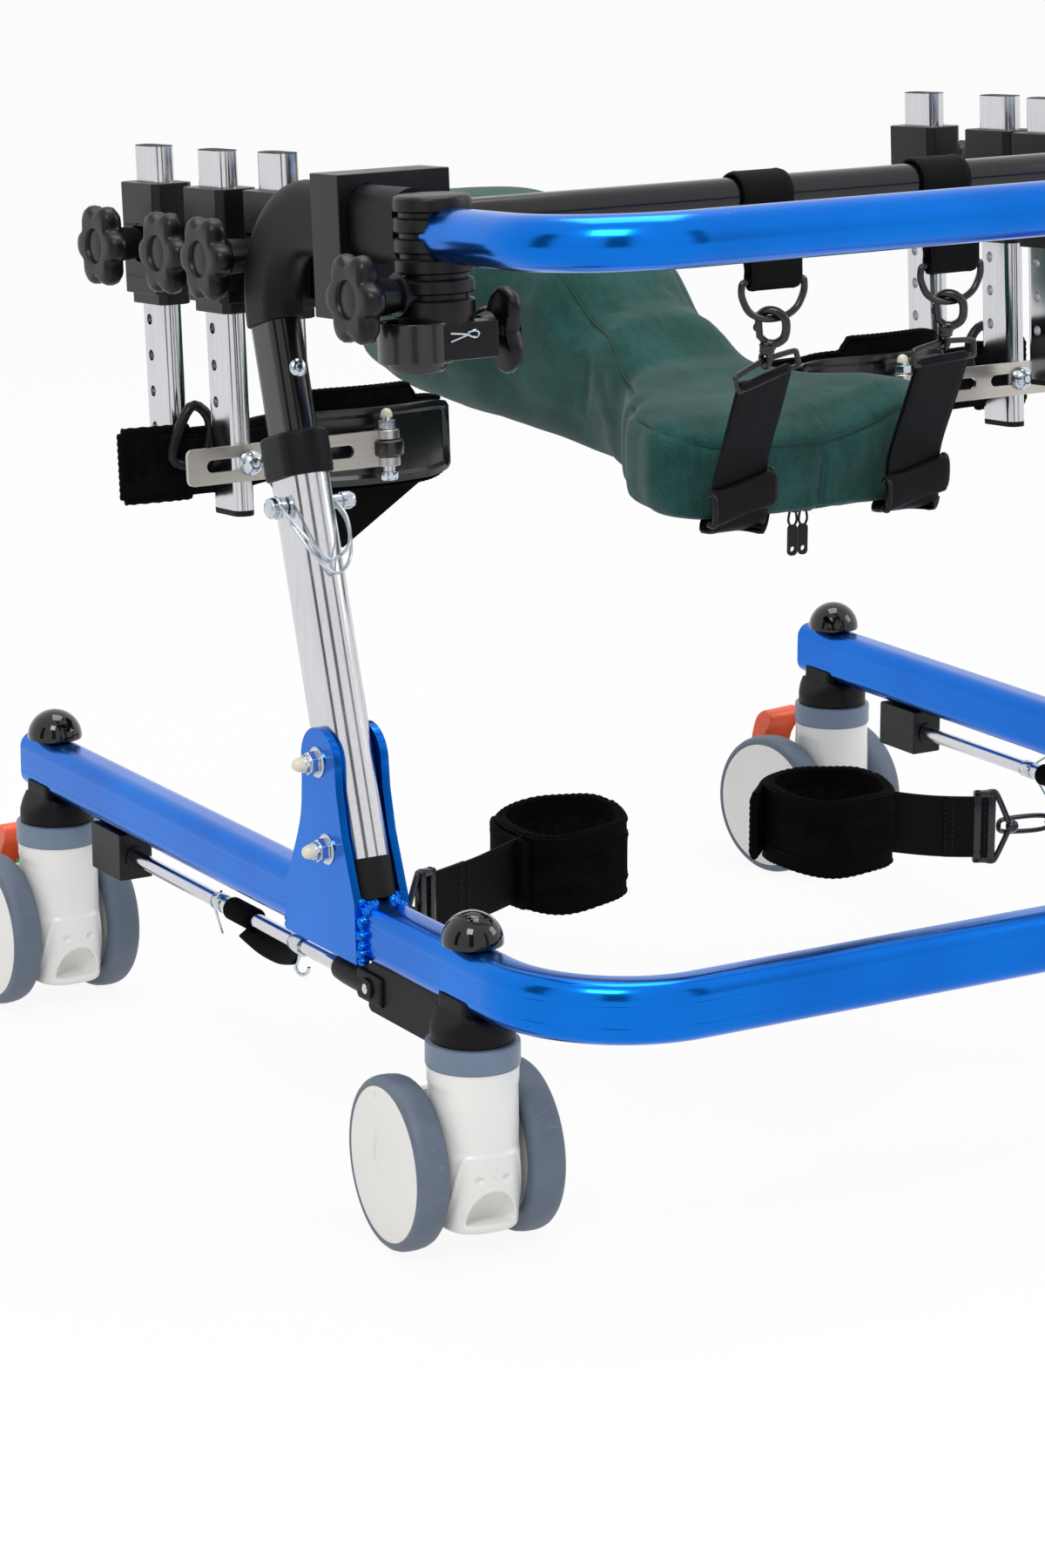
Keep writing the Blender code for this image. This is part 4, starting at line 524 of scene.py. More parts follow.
def finish(name, dark, light, rough, worn, look, values=None, bump=0.1, depth=0.0001, uv=False,
           wear_colour=None, **sockets):
    """A Principled material from two sRGB colours, two roughness values and one shared effect."""
    made = bpy.data.materials.new(name)
    made.use_nodes = True
    tree = made.node_tree
    shader = tree.nodes["Principled BSDF"]
    place = node(tree, "ShaderNodeTexCoord").outputs["UV" if uv else "Object"]
    given = node(tree, "ShaderNodeGroup", {}, node_tree=look)
    tree.links.new(place, given.inputs["Vector"])
    for key, value in (values or {}).items():
        given.inputs[key].default_value = value
    colour = colours(tree, given.outputs["Tone"], linear(dark), linear(light))
    if wear_colour:
        colour = colours(tree, given.outputs["Wear"], colour, linear(wear_colour))
    tree.links.new(colour, shader.inputs["Base Color"])
    spread = node(tree, "ShaderNodeMapRange", {"Value": given.outputs["Wear"], "To Min": rough,
                                               "To Max": worn})
    tree.links.new(spread.outputs[0], shader.inputs["Roughness"])
    relief = node(tree, "ShaderNodeBump", {"Height": given.outputs["Height"], "Strength": bump,
                                           "Distance": depth})
    tree.links.new(relief.outputs[0], shader.inputs["Normal"])
    for key, value in sockets.items():
        shader.inputs[key.replace("_", " ").title().replace("Ior", "IOR")].default_value = value
    return made


def linear(code):
    """A colour code such as 3C74CC as linear red, green, blue and alpha."""
    parts = [int(code[i:i + 2], 16) / 255 for i in (0, 2, 4)]
    return (*[c / 12.92 if c <= 0.04045 else ((c + 0.055) / 1.055) ** 2.4 for c in parts], 1.0)


# %% Finishes of the metal parts
blue = finish("blue_lacquer", "0058BE", "007EEA", 0.2, 0.3, ripple, bump=0.03, depth=0.0002,
              metallic=0.94, coat_weight=0.1, coat_roughness=0.08)
bright = finish("polished_aluminium", "B2B3B8", "ECECEF", 0.13, 0.26, drawn, {"Smudge": 18.0}, bump=0.05,
                metallic=1.0)
anodised = finish("black_anodised_tube", "0B0B0D", "1C1C20", 0.16, 0.26, drawn, bump=0.04,
                  metallic=0.55, coat_weight=0.4, coat_roughness=0.1)
zinc = finish("zinc_plated_steel", "AEB8C2", "D9E0E6", 0.16, 0.32, grain, {"Grain": 900.0, "Drift": 240.0},
              bump=0.05, metallic=1.0)
brushed = finish("brushed_steel", "A49E96", "D6D2CC", 0.26, 0.38, drawn, {"Across": (16.0, 900.0, 900.0)},
                 bump=0.08, metallic=1.0)
black_wire = finish("black_coated_wire", "08080A", "17171A", 0.24, 0.4, grain, {"Drift": 200.0}, bump=0.05,
                    metallic=0.2, coat_weight=0.3, coat_roughness=0.2)

# %% Finishes of the plastic parts
satin = finish("black_moulded_plastic", "08080A", "111114", 0.34, 0.5, grain, bump=0.1,
               wear_colour="1E1E21", specular_ior_level=0.28)
shell_black = finish("black_shell_plastic", "060608", "101013", 0.28, 0.42, grain, bump=0.04,
                     wear_colour="1C1C1F", coat_weight=0.3, coat_roughness=0.08)
soft_black = finish("black_soft_grip", "08080A", "111113", 0.46, 0.62, grain, {"Grain": 1500.0}, bump=0.14,
                    wear_colour="1A1A1C", specular_ior_level=0.16)
gloss = finish("black_gloss_dome", "030304", "070708", 0.05, 0.13, ripple, {"Peel": 300.0}, bump=0.01,
               specular_ior_level=0.2, coat_weight=0.7, coat_roughness=0.03)
rubber = finish("black_rubber", "08080A", "121213", 0.58, 0.74, grain, {"Grain": 1200.0}, bump=0.15,
                wear_colour="1C1C1E", specular_ior_level=0.2)
shell = finish("light_caster_plastic", "E6E6E1", "F4F4F0", 0.3, 0.42, grain, {"Grain": 1800.0, "Drift": 20.0},
               bump=0.05, wear_colour="DEDDD6", coat_weight=0.15, coat_roughness=0.15)
disc = finish("wheel_disc_plastic", "E8E5E0", "F4F2EF", 0.34, 0.46, grain, {"Grain": 2200.0, "Drift": 16.0},
              bump=0.05, wear_colour="DFDCD6")
collar_grey = finish("grey_collar_plastic", "63748A", "76879C", 0.36, 0.5, grain, bump=0.08)
tyre = finish("grey_tyre_rubber", "545F6E", "687485", 0.52, 0.7, grain, {"Grain": 1400.0, "Drift": 50.0},
              bump=0.12, wear_colour="6E7987")
orange = finish("orange_pedal_plastic", "F8582E", "FF7044", 0.32, 0.46, grain, bump=0.06)
green = finish("green_release_plastic", "12984E", "22AE66", 0.32, 0.46, grain, bump=0.06)
nylon = finish("natural_nylon", "D8D4BA", "EEEBDA", 0.3, 0.44, grain, bump=0.04,
               subsurface_weight=0.25, subsurface_scale=0.002)

# %% Finishes of the soft parts
velour = finish("green_velour", "19403B", "285550", 0.86, 0.96, nap, bump=0.35, depth=0.0006,
                sheen_weight=0.22, sheen_roughness=0.45, specular_ior_level=0.15)
webbing = finish("black_webbing", "040405", "0D0D0F", 0.62, 0.76, threads, {"Threads": 700.0, "Ratio": 0.5},
                 bump=0.55, depth=0.0003, uv=True, wear_colour="151517", specular_ior_level=0.08)
satin_tape = finish("black_satin_tape", "040405", "0D0D0F", 0.46, 0.6, threads,
                    {"Threads": 1500.0, "Ratio": 0.9}, bump=0.25, depth=0.0002, uv=True,
                    specular_ior_level=0.14)
knit = finish("black_knitted_edge", "030304", "101012", 0.84, 0.94, threads, {"Threads": 480.0, "Ratio": 0.9},
              bump=0.9, depth=0.0012, uv=True, wear_colour="18181A", specular_ior_level=0.05)
neoprene = finish("black_neoprene", "060607", "101012", 0.8, 0.94, nap, {"Patch": 30.0, "Stroke": 160.0},
                  bump=0.3, depth=0.0004, wear_colour="141416", specular_ior_level=0.06)
loop_pile = finish("black_loop_pile", "040405", "0D0D0F", 0.9, 0.98, nap, {"Patch": 60.0, "Fuzz": 1400.0},
                   bump=0.55, depth=0.0006, specular_ior_level=0.05)
thread_black = finish("black_thread", "0A0A0C", "18181B", 0.55, 0.7, grain, bump=0.2)
thread_green = finish("dark_green_thread", "0C211D", "17352F", 0.6, 0.74, grain, bump=0.2)
print("finishes:", len(bpy.data.materials))

# %% [markdown]
# ## Things that repeat along a line
# Weld drops, stitches and zip teeth are the same job: one small shape, set
# again and again along a line. One Geometry Nodes tree does it. Its inputs are
# the spacing, the size of the shape, how uneven it is, and its finish. The
# result is turned into a plain mesh, so the modifier isn't kept.

# %% The repeating tree


def repeat_tree():
    tree = bpy.data.node_groups.new("repeat_along_line", "GeometryNodeTree")
    for label, kind, value in (("Line", "Geometry", None), ("Spacing", "Float", 0.003),
                               ("Size", "Vector", None), ("Uneven", "Float", 0.0), ("Seed", "Int", 7),
                               ("Square", "Bool", False), ("Finish", "Material", None)):
        socket = tree.interface.new_socket(name=label, in_out="INPUT", socket_type="NodeSocket" + kind)
        if value is not None:
            socket.default_value = value
    tree.interface.new_socket(name="Made", in_out="OUTPUT", socket_type="NodeSocketGeometry")
    given = node(tree, "NodeGroupInput").outputs
    line = node(tree, "GeometryNodeMeshToCurve", {"Mesh": given["Line"]}).outputs[0]
    spots = node(tree, "GeometryNodeCurveToPoints", {"Curve": line, "Length": given["Spacing"]},
                 mode="LENGTH")
    drop = node(tree, "GeometryNodeMeshUVSphere", {"Segments": 8, "Rings": 6, "Radius": 0.5}).outputs["Mesh"]
    cube = node(tree, "GeometryNodeMeshCube").outputs["Mesh"]
    shape = node(tree, "GeometryNodeSwitch", {"Switch": given["Square"], "False": drop, "True": cube},
                 input_type="GEOMETRY").outputs[0]
    least = maths(tree, "SUBTRACT", 1.0, given["Uneven"])
    most = maths(tree, "ADD", 1.0, given["Uneven"])
    chance = node(tree, "FunctionNodeRandomValue", {2: least, 3: most, "Seed": given["Seed"]}).outputs[1]
    size = node(tree, "ShaderNodeVectorMath", {0: given["Size"], "Scale": chance},
                operation="SCALE").outputs[0]
    copies = node(tree, "GeometryNodeInstanceOnPoints", {"Points": spots.outputs["Points"], "Instance": shape,
                                                         "Rotation": spots.outputs["Rotation"],
                                                         "Scale": size})
    real = node(tree, "GeometryNodeRealizeInstances", {0: copies.outputs[0]}).outputs[0]
    round_ = node(tree, "GeometryNodeSetShadeSmooth", {0: real}).outputs[0]
    done = node(tree, "GeometryNodeSetMaterial", {0: round_, "Material": given["Finish"]}).outputs[0]
    node(tree, "NodeGroupOutput", {"Made": done})
    return tree


repeater = repeat_tree()


def repeat(lines, spacing, size, look, uneven=0.0, square=False):
    """The skin of small shapes along lines; size is (across, out, along)."""
    bm = bmesh.new()
    for points in lines:
        row = [bm.verts.new(p) for p in points]
        for a, b in zip(row, row[1:]):
            bm.edges.new((a, b))
    guide = as_object(bm, "line")
    step = guide.modifiers.new("repeat", "NODES")
    step.node_group = repeater
    for label, value in (("Spacing", spacing), ("Size", size), ("Uneven", uneven), ("Seed", 7),
                         ("Square", square), ("Finish", look)):
        step[repeater.interface.items_tree[label].identifier] = value
    return as_skin(as_shown(guide), guide)


print("repeating tree:", len(repeater.nodes), "nodes")

# %% [markdown]
# ## The blue base
# The base is one tube, bent into a U and lying open to the rear. It is an
# extrusion, so its outline never changes along the bend: round corners and two
# fine grooves in each side. Carrying one outline along a level line gives
# exactly that. The leg brackets are sawn plates, welded to the tube's sides.

# %% The base tube
FRONT_STEM = -0.254          # front caster stems, in the walker's own frame
STEM_X = 0.308
RAIL_Z = 0.16
TUBE_TALL, TUBE_WIDE = 0.036, 0.026
WHEELBASE = 0.535
GAP = 0.0003                 # kept between neighbouring solids
SIDES = (("left", -1.0), ("right", 1.0))
ENDS = [(end + "_" + label, side * STEM_X, FRONT_STEM + back)
        for end, back in (("front", 0.0), ("rear", WHEELBASE)) for label, side in SIDES]


def tube_outline():
    """Outline of the extrusion as (outwards, up), with its side grooves."""
    made = []
    for x, z in round_box(TUBE_WIDE, TUBE_TALL, 0.0095, 6):
        made.append((x, z))
        if abs(abs(x) - TUBE_WIDE / 2) < 1e-6 and x * z < 0 and abs(abs(z) - 0.0085) < 1e-5:
            turn = 1 if x > 0 else -1
            for middle in (-0.0062, 0.0062):
                for dz, deep in ((-0.0005, 0), (-0.0002, 0.0002), (0.0002, 0.0002), (0.0005, 0)):
                    made.append((x - turn * deep, turn * (middle + dz)))
    return made


def level_line(half, front, back, bend, z):
    """A U seen from above, from the rear left end to the rear right one."""
    left = [(-half, back)] + [(-half, front + bend + (back - front - bend) * k / 12)
                              for k in range(11, 0, -1)]
    left += arc((-half + bend, front + bend), bend, 180, 270, 20)
    return [(x, y, z) for x, y in left + [(-x, y) for x, y in reversed(left)]]


def level_sweep(line, outline):
    """Carries an outline (outwards, up) along a level line."""
    rings = []
    for p, t in zip([Vector(p) for p in line], steps_of(line)):
        out = Vector((-t.y, t.x, 0)) * -1
        rings.append([p - out * a + Vector((0, 0, b)) for a, b in outline])
    return loft(rings)


base_line = level_line(STEM_X, FRONT_STEM - 0.107, FRONT_STEM + WHEELBASE + 0.026, 0.078, RAIL_Z)
base_skin = level_sweep(base_line, tube_outline())
notches = [block((0.05, 0.03, 0.016), (x, y, RAIL_Z - TUBE_TALL / 2)) for _, x, y in ENDS]
base_skin = carve(base_skin, notches)
print("base tube:", len(base_skin.faces), "faces")

# %% The leg brackets and their welds
LEAN = math.radians(17.7)
LEG_FOOT = Vector((0, FRONT_STEM + 0.1225, 0.1853))
LEG_UP = Vector((0, math.sin(LEAN), math.cos(LEAN)))
LEG_BACK = Vector((0, math.cos(LEAN), -math.sin(LEAN)))


def on_leg(side, along, back=0.0, out=0.0):
    """A point by its distance along a leg, behind it and outside it."""
    return LEG_FOOT + LEG_UP * along + LEG_BACK * back + Vector((side * (STEM_X + out), 0, 0))


def at_height(z):
    return (z - LEG_FOOT.z) / math.cos(LEAN)


top_y = on_leg(1, at_height(0.252)).y
foot_y = FRONT_STEM + 0.1
low_z = RAIL_Z - TUBE_TALL / 2 + GAP
bolts = ((top_y, 0.252), (on_leg(1, at_height(0.203)).y + 0.005, 0.203))
waist = spline([(top_y + 0.02, 0.252, 0), (top_y + 0.0196, 0.235, 0), (top_y + 0.0225, 0.212, 0),
                (foot_y + 0.085 - 0.004, 0.178, 0)], 5)
bracket = [(foot_y, low_z), (foot_y + 0.085, low_z), (foot_y + 0.085, 0.172)]
bracket += [(p.x, p.y) for p in reversed(waist)][1:] + arc((top_y, 0.252), 0.02, 0, 180, 20)[1:]
bracket += [(top_y - 0.0215, 0.238), (top_y - 0.0275, 0.214), (foot_y + 0.002, 0.178)]
base_parts = [(base_skin, blue)]
weld_lines = []
for label, side in SIDES:
    for face in (-1, 1):
        x = side * STEM_X + face * (TUBE_WIDE / 2 + 0.0023)
        holes = [arc(place, 0.0043, 0, 345, 23) for place in bolts]
        base_parts.append((prism(bracket, 0.005, side_place(x), holes, soft=0.0007), blue))
        skin_x = side * STEM_X + face * (TUBE_WIDE / 2 + 0.0006)
        for y in (foot_y - 0.0006, foot_y + 0.0856):
            weld_lines.append([(skin_x, y, RAIL_Z + 0.008 - 0.0235 * k / 12) for k in range(13)])
            weld_lines.append([(skin_x - face * (0.001 + 0.0085 * (1 - math.cos(a))), y,
                                RAIL_Z + 0.0085 + 0.0095 * math.sin(a)) for a in (0.0, 0.5, 1.0, 1.4)])
        inner_x = side * STEM_X + face * (TUBE_WIDE / 2 - 0.0012)
        weld_lines.append([(inner_x, foot_y + 0.004 + 0.078 * k / 26, RAIL_Z + 0.0174) for k in range(27)])
welds = repeat(weld_lines, 0.0021, (0.0072, 0.0062, 0.0052), blue, uneven=0.34)
base_parts.append((welds, blue))
make("base_tube_and_brackets", "base", base_parts, "base_frame")
print("weld drops on", len(weld_lines), "seams")

# %% [markdown]
# ## Bolts through the brackets
# Two bolts hold each leg. Outside there is a washer, a flanged lock nut and a
# nylon cap over the thread; inside there is the hexagon head. All are turned
# or prism shapes.

# %% Bolts, nuts and caps


def hexagon(across, thick, place):
    """A hexagon nut or head with its corners turned off."""
    outline = arc((0, 0), across / math.sqrt(3), 0, 300, 5)
    return moved(prism(outline, thick, Matrix(), soft=0.0005), place)


for label, side in SIDES:
    steel, caps = [], []
    for y, z in bolts:
        out_x, in_x = (side * (STEM_X + way * (TUBE_WIDE / 2 + 0.0049)) for way in (1, -1))
        outside = across_x(side, out_x, y, z)
        steel.append(lathe([(0, 0.0012), (0.0086, 0.0012), (0.009, 0.0008), (0.009, 0), (0, 0)],
                           outside, 32))
        steel.append(hexagon(0.0122, 0.0056, across_x(side, out_x + side * 0.004, y, z)))
        steel.append(lathe([(0, 0.0098), (0.0049, 0.0096), (0.0054, 0.0086), (0.0054, 0.006), (0, 0.006)],
                           outside, 32))
        caps.append(lathe([(0, 0.0162), (0.0016, 0.0159), (0.0032, 0.0146), (0.0042, 0.0122), (0.0044, 0.009),
                           (0, 0.009)], outside, 32))
        steel.append(lathe([(0, 0.0012), (0.0082, 0.0012), (0.0082, 0), (0, 0)], across_x(-side, in_x, y, z),
                           32))
        steel.append(hexagon(0.0122, 0.0052, across_x(-side, in_x - side * 0.0036, y, z)))
        steel.append(bar((in_x, y, z), (out_x, y, z), 0.0038, 20))
    make("leg_bolts_" + label, "base", [(steel, zinc), (caps, nylon)])
print("bolts:", 2 * len(bolts))

# %% [markdown]
# ## Sockets and domes
# Each caster is held by a black socket whose square shoulder sits in a notch
# of the tube. A spindle passes up through the tube and ends in a glossy dome.
# The socket is one lofted form, from a round foot to a square tab.

# %% The caster sockets
low = RAIL_Z - TUBE_TALL / 2
for name, x, y in ENDS:
    rows = [(0.006, 0.006, 2, 0.106), (0.006, 0.006, 2, 0.1241), (0.0236, 0.0236, 2, 0.1243),
            (0.024, 0.024, 2, 0.1248), (0.024, 0.024, 2, 0.129), (0.0232, 0.0236, 2.2, 0.132),
            (0.02, 0.0232, 2.8, 0.1362), (0.0165, 0.0222, 4, 0.1392), (0.015, 0.0205, 6, 0.1408),
            (0.0146, 0.016, 10, 0.1418), (0.0144, 0.0147, 14, 0.1425), (0.0144, 0.0147, 14, 0.1488),
            (0.0138, 0.0141, 14, 0.1496), (0.012, 0.012, 14, 0.1498)]
    socket = loft([[(x + a, y + b, z) for a, b in oval(hx, hy, power, 64)] for hx, hy, power, z in rows])
    dome_z = RAIL_Z + TUBE_TALL / 2
    profile = [(0.0, dome_z + 0.0195)] + [(0.0177 * math.cos(a), dome_z + 0.0018 + 0.0177 * math.sin(a))
                                          for a in [math.radians(d) for d in range(84, -1, -7)]]
    profile += [(0.0174, dome_z + 0.001), (0.015, dome_z + 0.0006), (0.013, dome_z + 0.0001), (0.0, dome_z)]
    dome = lathe(profile, Matrix.Translation((x, y, 0)), 64)
    make("socket_" + name, "base", [(socket, soft_black), (dome, gloss)], "stem_" + name)
print("sockets:", len(ENDS))

# %% [markdown]
# ## Casters
# The twin-wheel caster is a light plastic body with a grey collar on top. The
# body is a round column that runs down into a fork between the wheels, hollowed
# where they turn. It is carved once from plain solids and then remeshed in
# small voxels, which rounds every edge as a mould does. The finished skin is
# copied to the four places and turned by each caster's own angle.

# %% The caster body
TRAIL, WHEEL_R, WEB = 0.0215, 0.05, 0.018
SECTIONS = ((0.11, 0.0259, 0.0259, 2.0), (0.102, 0.0259, 0.0259, 2.0), (0.0975, 0.0246, 0.026, 2.15),
            (0.09, 0.0243, 0.0261, 2.3), (0.07, 0.0242, 0.026, 2.4), (0.05, 0.0238, 0.0256, 2.5),
            (0.032, 0.0232, 0.0248, 2.6), (0.02, 0.0226, 0.024, 2.6), (0.0182, 0.022, 0.0234, 2.6),
            (0.0175, 0.0206, 0.0222, 2.6))


def visor(y, hy, z):
    """How far the lower front stands proud of the column."""
    return 0.0019 * ease(-1.5 * y / hy) * ease((0.0655 - z) / 0.0055)


def shell_front(x, z):
    """Y of the caster body's front surface at a place across it and a height."""
    heights = [row[0] for row in SECTIONS[::-1]]
    hx, hy, power = (float(np.interp(z, heights, [row[k] for row in SECTIONS[::-1]])) for k in (1, 2, 3))
    y = -hy * (1 - min(0.999, abs(x) / hx) ** power) ** (1 / power)
    return y - visor(y, hy, z)


def caster_body():
    rings = []
    for (za, *low), (zb, *high) in zip(SECTIONS, SECTIONS[1:]):
        for k in range(12):
            hx, hy, power = (p + (q - p) * k / 12 for p, q in zip(low, high))
            z = za + (zb - za) * k / 12
            rings.append([(x, y - visor(y, hy, z), z) for x, y in oval(hx, hy, power, 88)])
    rings.append([(x, y - visor(y, 0.0222, 0.0175), 0.0175) for x, y in oval(0.0206, 0.0222, 2.6, 88)])
    column = loft(rings)
    rear = TRAIL + 0.0345
    outline = [(0, 0.0195)] + arc((rear - 0.016, 0.03), 0.016, -90, 0, 10)
    outline += arc((rear - 0.026, 0.062), 0.026, 0, 90, 12) + [(0, 0.098)]
    fork = prism(outline, 2 * WEB, side_place(0))
    wells = [ball((side * 0.0086, shell_front(0.0086, 0.05) - 0.0006, 0.05), 0.0025, (1.3, 1.3, 0.8))
             for side in (-1, 1)]
    hood = ball((0, -0.0262, 0.0235), 0.0156, (1.0, 0.95, 1.22), 4)
    floor = block((0.05, 0.05, 0.03), (0, -0.0262, 0.0235 - 0.0156))
    wells.append(carve(hood, [floor]))
    whole = carve(carve(column, [fork], "UNION"), wells)
    lip_line, brow_line = [], []
    for k in range(33):
        turn = math.radians(-80 + 5 * k)
        x, z = 0.0236 * math.sin(turn), 0.0622 - 0.04 * ease((abs(turn) - 0.72) / 0.66)
        lip_line.append((x, shell_front(x, z) + 0.0004, z))
    for k in range(25):
        turn = math.radians(8 + 164 * k / 24)
        x, z = 0.0156 * math.cos(turn), 0.024 + 0.0194 * math.sin(turn)
        brow_line.append((x, shell_front(x, z) + 0.0004, z))
    edges = [tube(spline(line, 2), thick, 10) for line, thick in ((lip_line, 0.0012), (brow_line, 0.001))]
    return moulded(carve(whole, edges, "UNION"), 0.00085, 4)


body_skin = caster_body()
print("caster body:", len(body_skin.faces), "faces")

# %% The wheels


def wheel_pair():
    """Tyres, discs and axle about X; each disc has a shallow ring near its rim."""
    tyres, discs = [], []
    for side in (-1, 1):
        place = Matrix.Rotation(side * math.pi / 2, 4, "Y")
        tyres.append(lathe([(0.0453, 0.0451), (0.0459, 0.0454), (0.0476, 0.0449), (0.0489, 0.0434),
                            (0.0497, 0.0412), (0.05, 0.0385), (0.0499, 0.0345), (0.0493, 0.0305),
                            (0.0481, 0.0277), (0.0462, 0.0258), (0.043, 0.0251), (0.0395, 0.025),
                            (0.039, 0.0262), (0.0453, 0.029)], place, 96))
        discs.append(lathe([(0, 0.0467), (0.0022, 0.04665), (0.003, 0.0463), (0.0038, 0.04665),
                            (0.016, 0.04655), (0.03, 0.0462), (0.0405, 0.0456), (0.0408, 0.0454),
                            (0.0411, 0.0456), (0.0438, 0.0453), (0.0448, 0.0449), (0.0452, 0.0442),
                            (0.0452, 0.03), (0.0398, 0.029), (0.012, 0.027), (0.009, 0.0252), (0, 0.0252)],
                            place, 96))
    return tyres, discs, bar((-0.026, 0, 0), (0.026, 0, 0), 0.0047)


YAW = {"front_left": -5.0, "front_right": 4.0, "rear_left": 1.5, "rear_right": 9.0}
PLACES = {name: Matrix.Translation((x, y, 0)) @ Matrix.Rotation(math.radians(YAW[name]), 4, "Z")
          for name, x, y in ENDS}
for name, place in PLACES.items():
    body = moved(body_skin.copy(), place)
    ring = lathe([(0, 0.124), (0.0255, 0.124), (0.0264, 0.1235), (0.0267, 0.1226), (0.0267, 0.1108),
                  (0.0263, 0.1101), (0.0245, 0.1098), (0, 0.1098)], place, 72)
    tread = lathe([(0.0262, 0.1098), (0.0262, 0.109), (0.025, 0.109), (0.025, 0.1098)], place, 72)
    make("caster_body_" + name, "caster_" + name, [(body, shell), (ring, collar_grey), (tread, shell)],
         "caster_housing_" + name)
    tyres, discs, axle = wheel_pair()
    for skin in [*tyres, *discs, axle]:
        moved(skin, place @ Matrix.Translation((0, TRAIL, WHEEL_R)))
    make("wheels_" + name, "wheels_" + name, [(tyres, tyre), (discs, disc), (axle, zinc)],
         "caster_wheels_" + name)
body_skin.free()
print("casters:", len(ENDS))

# %% The brake pedals
for label, side in SIDES:
    py, pz = 0.0625, 0.066
    rim = ((-0.002, 0.006), (-0.006, 0.022), (-0.014, 0.034), (-0.013, 0.041), (-0.006, 0.043),
           (0.002, 0.036), (0.007, 0.018), (0.009, -0.004), (0.018, -0.022), (0.0295, -0.034),
           (0.0355, -0.038), (0.0325, -0.043), (0.022, -0.04), (0.01, -0.028), (0.002, -0.01))
    smooth_rim = [(p.x, p.y) for p in spline([(py + a, pz + b, 0) for a, b in rim], 3, closed=True)]
    pedal = prism(smooth_rim, 0.03, side_place(0), soft=0.0016)
    boss = bar((-0.0132, py, pz), (0.0132, py, pz), 0.0062)
    ridges = [block((0.02, 0.0012, 0.0012), (0, py + 0.0165 + k * 0.0042, pz - 0.0145 - k * 0.0072), 0.0004)
              for k in range(3)]
    tab = ((-0.0066, 0.01), (-0.0105, 0.019), (-0.013, 0.02), (-0.0145, 0.013), (-0.01, 0.004))
    lever = prism([(py + a, pz + b) for a, b in tab], 0.012, side_place(0), soft=0.001)
    for skin in [pedal, boss, lever, *ridges]:
        moved(skin, PLACES["rear_" + label])
    make("brake_pedal_skin_" + label, "pedal_" + label,
         [([pedal, boss], orange), (lever, green), (ridges, orange)], "brake_pedal_" + label)
print("pedals: 2")

# %% [markdown]
# ## Telescopic legs
# A leg is two flat-oval tubes, one in the other. The outer one is bright drawn
# aluminium with a rubber foot, the inner one black. A black collar guides the
# inner tube, and a plated pin with a wire bail locks the height.

# %% The outer tubes, collars and feet
LEG_WIDE, LEG_THICK, LEG_TOP = 0.043, 0.0254, 0.254
UPPER_WIDE, UPPER_THICK = LEG_WIDE - 0.0048, LEG_THICK - 0.0048
PIN = at_height(0.392)


def leg_loft(side, rows, closed=False):
    """Flat-oval rings across a leg, from rows of a place along it and what its width and thickness gain."""
    return loft([[on_leg(side, along, a, side * b) for a, b in flat_oval(LEG_WIDE + w, LEG_THICK + t, 14)]
                 for along, w, t in rows], closed)


def below_rail(side):
    """Cuts a leg's foot off level, just above the rail."""
    return block((0.06, 0.1, 0.04), (side * STEM_X, LEG_FOOT.y, RAIL_Z + TUBE_TALL / 2 + GAP - 0.02))


for label, side in SIDES:
    outer = leg_loft(side, [(-0.012, 0, 0), (LEG_TOP - 0.0006, 0, 0), (LEG_TOP, -0.0012, -0.0012),
                            (LEG_TOP, -0.004, -0.004), (0.012, -0.004, -0.004)])
    middle, reach = on_leg(side, PIN), Vector((0.04, 0, 0))
    outer = carve(outer, [below_rail(side), bar(middle - reach, middle + reach, 0.0044, 24)])
    foot = leg_loft(side, [(-0.012, 0.0004, 0.0004), (0.0115, 0.0006, 0.0004), (0.0125, -0.001, -0.0012)])
    foot = carve(foot, [below_rail(side)])
    make("leg_tube_skin_" + label, "base", [(outer, bright), (foot, rubber)], "leg_tube_" + label)
    start, end = LEG_TOP - 0.021, LEG_TOP + 0.0045
    rows = [(start, 0.0008), (start, 0.0044), (start + 0.001, 0.006), (end - 0.0024, 0.006),
            (end - 0.0006, 0.0038), (end, 0.001), (end, -0.004), (LEG_TOP + GAP, -0.004),
            (LEG_TOP + GAP, 0.0006)]
    sleeve = leg_loft(side, [(along, more, more) for along, more in rows], closed=True)
    pinch = tube([on_leg(side, start + 0.0045, a, side * b) for a, b in
                  flat_oval(LEG_WIDE + 0.0062, LEG_THICK + 0.0062, 14)], 0.00045, 6, closed=True)
    make("leg_collar_skin_" + label, "base", [([sleeve, pinch], soft_black)], "leg_collar_" + label)
print("outer legs: 2")

# %% The inner tubes and elbows
ELBOW, ELBOW_R, TIP = 0.323, 0.05, math.radians(4.0)
SLEEVE_WIDE, SLEEVE_THICK = UPPER_WIDE + 0.0044, UPPER_THICK + 0.0044
HUB_Y, HUB_Z, HUB_R, RING_R = FRONT_STEM + 0.0393, 0.5245, 0.0215, 0.021


def elbow_point(angle):
    centre = on_leg(1, ELBOW) - LEG_BACK * ELBOW_R
    return centre.y + ELBOW_R * math.cos(angle), centre.z + ELBOW_R * math.sin(angle)


ELBOW_END = elbow_point(math.pi / 2 - TIP)
PIVOT = Matrix.Translation((0, *ELBOW_END))
TIPPED = PIVOT @ Matrix.Rotation(-TIP, 4, "X") @ PIVOT.inverted()


